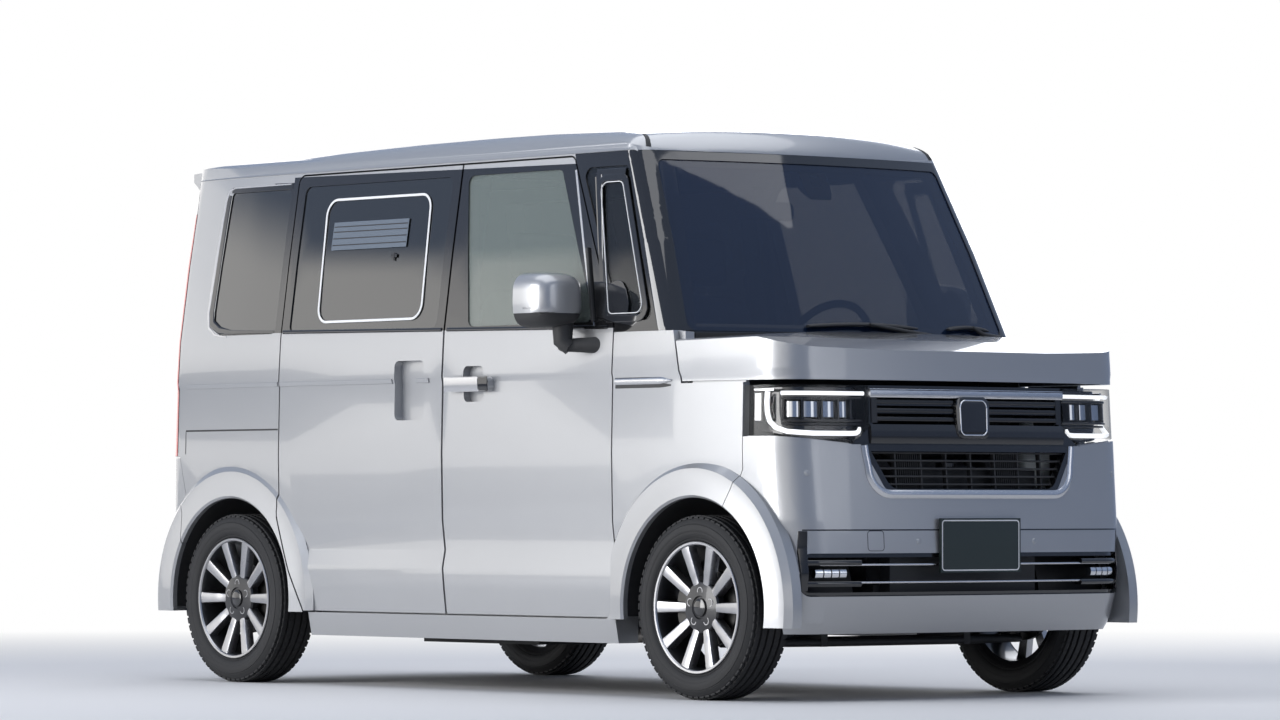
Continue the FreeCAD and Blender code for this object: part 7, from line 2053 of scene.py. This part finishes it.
    def build_face(self) -> None:
        """The display, the vents, the glovebox's seam, the selector and the switches."""
        with self.piece("centre_display", Paint.GLOSS_BLACK) as screen:
            loop = rounded_box(-0.125, 0.125, 1.03, 1.165, 0.012, 5)
            add_tube(screen, [[(x + 0.1 * (z - 1.03), 0.01 + y * s, 1.0975 + (z - 1.0975) * s) for y,
                               z in loop]
                              for x, s in ((0.716, 0.96), (0.706, 1.0), (0.696, 1.0), (0.692, 0.97))])
        with self.piece("dashboard_vents", Paint.SATIN) as vents:
            for across in (-0.52, -0.19, 0.17, 0.54):
                frame = rounded_box(across - 0.052, across + 0.052, 0.955, 1.012, 0.014, 5)
                add_strip(vents, frame, 0.007, self.face_point, 0.006, 0.01, 0.001, closed=True)
                for level in (0.969, 0.9835, 0.998):
                    add_strip(vents, row(across - 0.047, across + 0.047, 4, level), 0.006, self.face_point,
                              0.003, 0.006)
        with self.piece("dashboard_panel", Paint.GLOSS_BLACK) as dark:
            seam = rounded_box(-0.54, -0.12, 0.85, 0.94, 0.02, 6)
            add_strip(dark, seam, 0.003, self.face_point, 0.0008, 0.002, closed=True)
            add_patch(dark, panel(-0.085, 0.11, 5, 0.862, 0.935), self.face_point, 0.004, 0.006, 3)
        with self.piece("selector_and_knobs", Paint.DARK, slot="cabin_plastic") as lever:
            add_rod(lever, [(0.745, 0.055, 0.93), (0.7, 0.055, 0.96), (0.672, 0.055, 0.985)],
                    [0.006, 0.006, 0.008], 12)
            add_turned(lever, [(0.001, -0.02), (0.014, -0.017), (0.018, 0.0), (0.015, 0.022),
                               (0.001, 0.027)], "Z",
                       (0.668, 0.055, 0.998), 24, closed=False)
            for across in (-0.06, -0.02, 0.02):
                add_turned(lever, [(0.001, -0.006), (0.014, -0.006), (0.015, 0.008), (0.001, 0.009)], "X",
                           (0.77, across, 0.9), 24, closed=False)

    def build_pedals(self) -> None:
        """The brake and accelerator pedals."""
        with self.piece("pedals", Paint.DARK, slot="under_steel") as mesh:
            for across, half, height in ((0.33, 0.04, 0.42), (0.215, 0.024, 0.395)):
                add_rod(mesh, [(0.975, across, 0.655), (0.93, across, 0.56), (0.905, across, height)],
                        0.008, 10)
                add_box(mesh, (0.885, across - half, height - 0.032),
                        (0.899, across + half, height + 0.03), 0.006)

    def build_door_card(self, side: int, label: str) -> None:
        """The armrest, pull, speaker and pocket on the inside of a front door."""
        body, face = "front_door_" + label, 0.6655
        rest = rounded_loop([(0.12, 0.855, 0.02), (0.6, 0.87, 0.03), (0.64, 0.933, 0.025),
                             (0.12, 0.915, 0.02)], 5)
        pocket = rounded_loop([(0.18, 0.3, 0.02), (0.7, 0.3, 0.03), (0.7, 0.44, 0.03), (0.18, 0.4, 0.03)], 5)
        speaker = [(0.6 + 0.078 * math.cos(a), 0.56 + 0.078 * math.sin(a)) for a in turns(40)]
        with self.piece("door_card_" + label, Paint.DARK, body, slot="cabin_plastic") as card:
            for loop, steps in ((rest, (-0.004, 0.021, 0.03)), (pocket, (-0.002, 0.018, 0.022)),
                                (speaker, (-0.002, 0.006, 0.008))):
                add_tube(card, [[(x, side * (face - step), z) for x, z in loop] for step in steps])
        with self.piece("door_release_" + label, Paint.SATIN, body) as pull:
            path = ((0.56, 0.004, 1.01), (0.59, 0.016, 1.012), (0.64, 0.012, 1.014))
            add_rod(pull, [(x, side * (face - step), z) for x, step, z in path], [0.006, 0.009, 0.007], 12)

    def build_visor(self, side: int, label: str) -> None:
        """A sun visor folded up against the headlining."""
        with self.piece("sun_visor_" + label, Paint.LINING) as visor:
            loop = rounded_box(0.64, 0.8, 0.11, 0.455, 0.03, 6)
            add_tube(visor, [[(x, side * y, z) for x, y in loop] for z in (1.672, 1.676, 1.688, 1.692)])

    def build_belt(self, side: int, label: str) -> None:
        """A front seat belt hanging down the middle pillar, with its anchor."""
        with self.piece("seat_belt_" + label, Paint.DARK, slot="cabin_plastic") as belt:
            rings = []
            for share in spread(0, 1, 9):
                x, y, z = -0.085 - 0.02 * share, 0.64 - 0.03 * share, 0.33 + share
                rings.append([(x - 0.023, side * y, z), (x + 0.023, side * y, z),
                              (x + 0.023, side * (y - 0.0016), z),
                              (x - 0.023, side * (y - 0.0016), z)])
            add_tube(belt, rings)
            low, high = sorted((side * 0.6, side * 0.626))
            add_box(belt, (-0.135, low, 1.32), (-0.075, high, 1.365), 0.008)


# The tail, the engine bay and the fuel filler

@dataclass
class TailTrim(Kit):
    """The tailgate's fittings, the lamps' inner lights and the rear bumper's reflectors."""

    def build(self) -> None:
        """Make the pieces at the car's rear."""
        self.build_plate()
        self.build_handle()
        self.build_wiper()
        self.build_lamp_lights()
        self.build_bumper_trim()
        self.build_glass_border()

    def pane(self, across: float, height: float, proud: float) -> Point:
        """A point of the rear window."""
        return FORM.tail(across, height, proud, upper=True)

    def build_plate(self) -> None:
        """The blank rear plate in its frame, with the two small lamps over it."""
        with self.piece("rear_plate_border", Paint.SATIN, "tailgate") as frame:
            half, low, high = 0.165, 0.742, 0.907
            loop = rounded_box(-half, half, low, high, 0.01, 5)
            add_strip(frame, loop, 0.01, FORM.tail, 0.0085, 0.01, 0.001, closed=True)
        with self.piece("rear_plate", Paint.PLATE, "tailgate") as plate:
            add_patch(plate, panel(-half + 0.003, half - 0.003, 9, low + 0.003, high - 0.003), FORM.tail,
                      0.007,
                      0.006, 4)
        with self.piece("plate_lamps", Paint.PALE_LENS, "tailgate") as lamps:
            for across in (-0.095, 0.095):
                add_patch(lamps, panel(across - 0.03, across + 0.03, 5, 0.922, 0.94), FORM.tail, 0.01,
                          0.0095, 3)

    def build_handle(self) -> None:
        """The bright bar over the plate with the dark grip under it, and the small opening button."""
        with self.piece("tailgate_bar", Paint.SATIN, "tailgate") as bar:
            add_strip(bar, row(-0.3, 0.3, 25, 1.01), [0.018] + [0.034] * 23 + [0.018], FORM.tail, 0.0085,
                      0.008, 0.003)
        with self.piece("tailgate_grip", Paint.DARK, "tailgate") as grip:
            add_patch(grip, panel(-0.13, 0.13, 11, 0.95, 0.986), FORM.tail, 0.003, 0.003, 3)
            add_patch(grip, panel(-0.026, 0.026, 5, 0.956, 0.972), FORM.tail, 0.007, 0.004, 3)

    def build_wiper(self) -> None:
        """The rear wiper: a hub, an arm and a blade along the window's foot."""
        with self.piece("rear_wiper", Paint.DARK, "tailgate") as mesh:
            hub = Vector(FORM.tail(0.0, 1.118, 0.0))
            add_turned(mesh, [(0.001, 0.022), (0.016, 0.02), (0.024, 0.008), (0.025, -0.003),
                              (0.001, -0.003)], "X",
                       (hub.x - 0.014, hub.y, hub.z), 28, closed=False)
            elbow, end = Vector(self.pane(0.06, 1.165, 0.02)), Vector(self.pane(0.19, 1.196, 0.016))
            add_rod(mesh, [hub + Vector((-0.018, 0, 0)), elbow, end], [0.011, 0.008, 0.005], 12)
            blade = [(y, 1.188 + 0.012 * math.sin(math.pi * k / 12)) for k,
                     y in enumerate(spread(0.03, 0.35, 13))]
            add_strip(mesh, blade, [0.006] + [0.011] * 11 + [0.006], self.pane, 0.0125, 0.009, 0.003)
            add_strip(mesh, blade, 0.003, self.pane, 0.004, 0.0062)

    def build_glass_border(self) -> None:
        """The rear window's printed border and the high stop lamp."""
        with self.piece("rear_window_border", Paint.GLOSS_BLACK, "tailgate") as border:
            loop = rounded_box(-0.482, 0.482, 1.166, 1.606, 0.05, 8)
            add_strip(border, loop, 0.03, self.pane, -0.0032, 0.0006, 0.0, closed=True)
        with self.piece("high_stop_lamp", Paint.RED, "tailgate") as stop:
            rows = []
            for x in (-1.6935, -1.6965):
                loop = rounded_box(-0.15, 0.15, 1.7035, 1.7165, 0.006, 4)
                rows.append([(x, y, z) for y, z in loop])
            add_tube(stop, rows)

    def build_lamp_lights(self) -> None:
        """The bright lines and the dividing bars on the tall rear lamps."""
        for side, label in SIDES:
            with self.piece("tail_light_lines_" + label, Paint.GLOW) as lines:
                place = self.lamp_place(side)
                for degrees in (33.0, 66.0):
                    for low, high in ((0.775, 0.838), (1.094, 1.57)):
                        steps = max(4, round((high - low) / 0.03))
                        add_strip(lines, column(degrees, low, high, steps), 1.0, place, 0.0006, 0.001)
            with self.piece("tail_lamp_wing_" + label, Paint.RED) as wing:
                add_patch(wing, panel(64.0, 83.0, 8, 0.76, 1.583), place, 0.0016, 0.003, 40)
                add_patch(wing, panel(48.0, 64.2, 8, 1.09, 1.583), place, 0.0016, 0.003, 24)
            with self.piece("rear_corner_seam_" + label, Paint.DARK) as seam:
                path = column(84.0, 0.77, 1.56, 24) + [(82.0, 1.6), (76.0, 1.65), (64.0, 1.69)]
                add_strip(seam, [(degrees / TURN_SCALE, z) for degrees, z in path], 0.0028,
                          lambda turn, z, proud: place(turn * TURN_SCALE, z, proud), 0.0004, 0.001)
            self.build_quarter_border(side, label)
            with self.piece("tail_lamp_bars_" + label, Paint.GLOSS_BLACK) as bars:
                for height in (0.845, 0.963, 1.085):
                    add_strip(bars, row(24.0, 64.0, 13, height), 0.005, place, 0.001, 0.0015)

    def build_quarter_border(self, side: int, label: str) -> None:
        """The dark border that widens the quarter glass, and a bright strip of painted highlight on the bevel
        round it.
        """
        def flank(along: float, height: float, proud: float) -> Point:
            return FORM.side(side, along, height, proud, True)

        with self.piece("quarter_border_" + label, Paint.GLOSS_BLACK) as dark:
            inner = [(-1.3505, 1.64), (-1.356, 1.56), (-1.362, 1.45), (-1.369, 1.33), (-1.3745, 1.25),
                     (-1.366, 1.205),
                     (-1.333, 1.182), (-1.26, 1.174), (-1.1, 1.171), (-1.0, 1.169)]
            add_strip(dark, [(x - 0.014 if x < -1.34 else x, z) for x, z in inner],
                      [0.034] * 6 + [0.026, 0.014, 0.01, 0.01], flank,
                      0.001, 0.003)
            add_strip(dark, row(-1.352, -0.99, 16, 1.656), 0.02, flank, 0.001, 0.003)
        # Plating on the bevel round the glass: a painted highlight where the edge catches the light.
        with self.piece("quarter_bevel_highlight_" + label, Paint.SATIN) as bright:
            path = row(-1.0, -1.335, 12, 1.664) + [(-1.368, 1.655), (-1.382, 1.622), (-1.389, 1.54),
                                                   (-1.396, 1.43),
                                                                       (-1.403, 1.32), (-1.408, 1.24),
                                                   (-1.396, 1.192), (-1.352, 1.166),
                                                                       (-1.28, 1.158)]
            add_strip(bright, path, [0.005] * 12 + [0.009, 0.013, 0.014, 0.014, 0.014, 0.013, 0.01, 0.007,
                                                    0.004], flank, 0.0016, 0.0036)

    def lamp_place(self, side: int) -> Place:
        """A rear corner as a surface: degrees round it and a height."""
        def place(degrees: float, height: float, proud: float) -> Point:
            return FORM.rear_wrap(side, degrees, height, proud)
        return place

    def build_bumper_trim(self) -> None:
        """The rear bumper's reflectors and lower insert."""
        with self.piece("rear_reflectors", Paint.RED) as red:
            for side, _ in SIDES:
                add_strip(red, row(side * 0.44, side * 0.56, 9, 0.46), [0.01] + [0.026] * 7 + [0.01],
                          FORM.tail,
                          0.0025, 0.005, 0.001)
        with self.piece("rear_bumper_insert", Paint.DARK) as insert:
            add_patch(insert, panel(-0.44, 0.44, 25, 0.262, 0.335), FORM.tail, 0.0018, 0.0036, 4)


@dataclass
class EngineBay(Kit):
    """What fills the space under the bonnet round the engine block."""

    def build(self) -> None:
        """Make the cover, the battery, the bottles and the hoses."""
        with self.piece("engine_cover", Paint.DARK) as cover:
            add_box(cover, (1.13, -0.225, 0.731), (1.455, 0.165, 0.8), 0.018)
            for k in range(6):
                add_box(cover, (1.16, -0.19 + k * 0.058, 0.799), (1.425, -0.165 + k * 0.058, 0.808), 0.003)
        with self.piece("filler_caps", Paint.GLOSS_BLACK) as caps:
            add_turned(caps, [(0.001, 0.0), (0.026, 0.0), (0.028, 0.018), (0.02, 0.026), (0.001, 0.027)],
                       "Z", (1.2, 0.205, 0.731),
                       28, closed=False)
            add_turned(caps, [(0.001, 0.0), (0.03, 0.0), (0.031, 0.02), (0.001, 0.024)], "Z",
                       (1.59, -0.05, 0.702), 28, closed=False)
        with self.piece("battery", Paint.CABIN) as battery:
            add_box(battery, (1.18, 0.3, 0.705), (1.365, 0.43, 0.86), 0.01)
            add_box(battery, (1.172, 0.292, 0.855), (1.373, 0.438, 0.878), 0.006)
            for across in (0.325, 0.405):
                add_turned(battery, [(0.001, 0.0), (0.01, 0.0), (0.009, 0.018), (0.001, 0.019)], "Z",
                           (1.205, across, 0.877), 20,
                           closed=False)
            add_box(battery, (1.19, 0.31, 0.56), (1.355, 0.42, 0.706), 0.006)
        with self.piece("washer_bottle", Paint.BOTTLE) as bottle:
            add_box(bottle, (1.46, 0.3, 0.64), (1.57, 0.42, 0.83), 0.022)
            add_turned(bottle, [(0.001, 0.0), (0.022, 0.0), (0.022, 0.02), (0.001, 0.022)], "Z",
                       (1.515, 0.36, 0.829), 24, closed=False)
        with self.piece("hoses_and_leads", Paint.DARK) as hoses:
            add_rod(hoses, [(1.59, 0.13, 0.66), (1.54, 0.14, 0.72), (1.48, 0.15, 0.735),
                            (1.44, 0.15, 0.715)], 0.016, 14)
            add_rod(hoses, [(1.59, -0.2, 0.66), (1.545, -0.23, 0.74), (1.47, -0.255, 0.8),
                            (1.33, -0.26, 0.815),
                            (1.24, -0.24, 0.79)], [0.018, 0.02, 0.024, 0.026, 0.026], 16)
            add_rod(hoses, [(1.205, 0.325, 0.893), (1.23, 0.29, 0.9), (1.255, 0.23, 0.86),
                            (1.26, 0.17, 0.79)], 0.006, 10)
        with self.piece("air_cleaner", Paint.DARK) as cleaner:
            add_box(cleaner, (1.12, -0.43, 0.7), (1.36, -0.285, 0.87), 0.02)
            add_box(cleaner, (1.114, -0.436, 0.8), (1.366, -0.279, 0.812), 0.004)


def build_filler(shop: MaterialShop) -> None:
    """The fuel filler's cap and collar behind the flap, on the left side."""
    mesh = bmesh.new()
    x, y, z = -1.15, 0.6665, 0.916
    add_turned(mesh, [(0.001, 0.0), (0.038, 0.0), (0.038, 0.006), (0.03, 0.008), (0.029, 0.026),
                      (0.001, 0.028)],
               "Y", (x, y, z), 36, closed=False)
    add_box(mesh, (x - 0.006, y + 0.026, z - 0.024), (x + 0.006, y + 0.034, z + 0.024), 0.002)
    finish_piece(mesh_object("fuel_filler", mesh, shop.get(Paint.DARK)), "body", "dark_plastic")


def main() -> None:
    """Load the frame and dress it."""
    logging.basicConfig(level=logging.INFO, format="%(name)s: %(message)s")
    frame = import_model()
    bpy.context.scene.view_settings.view_transform = "Standard"
    shop = MaterialShop()
    Stage().build()
    Shell(frame, shop).build()
    for side, label in SIDES:
        for end, along, hub_body in (("front_", FRONT_AXLE, "knuckle_" + label),
                                     ("rear_", REAR_AXLE, "body")):
            RoadWheel(shop, end + label, (along, side * HALF_TRACK, AXLE_HEIGHT), side, hub_body).build()
        FrontLamp(shop, side, label).build()
        SideTrim(shop, side, label).build()
    for kit in (NoseTrim, RoofSkin, ScreenFittings, Seats, Cockpit, TailTrim, EngineBay):
        kit(shop).build()
    build_filler(shop)


if __name__ == "__main__":
    main()
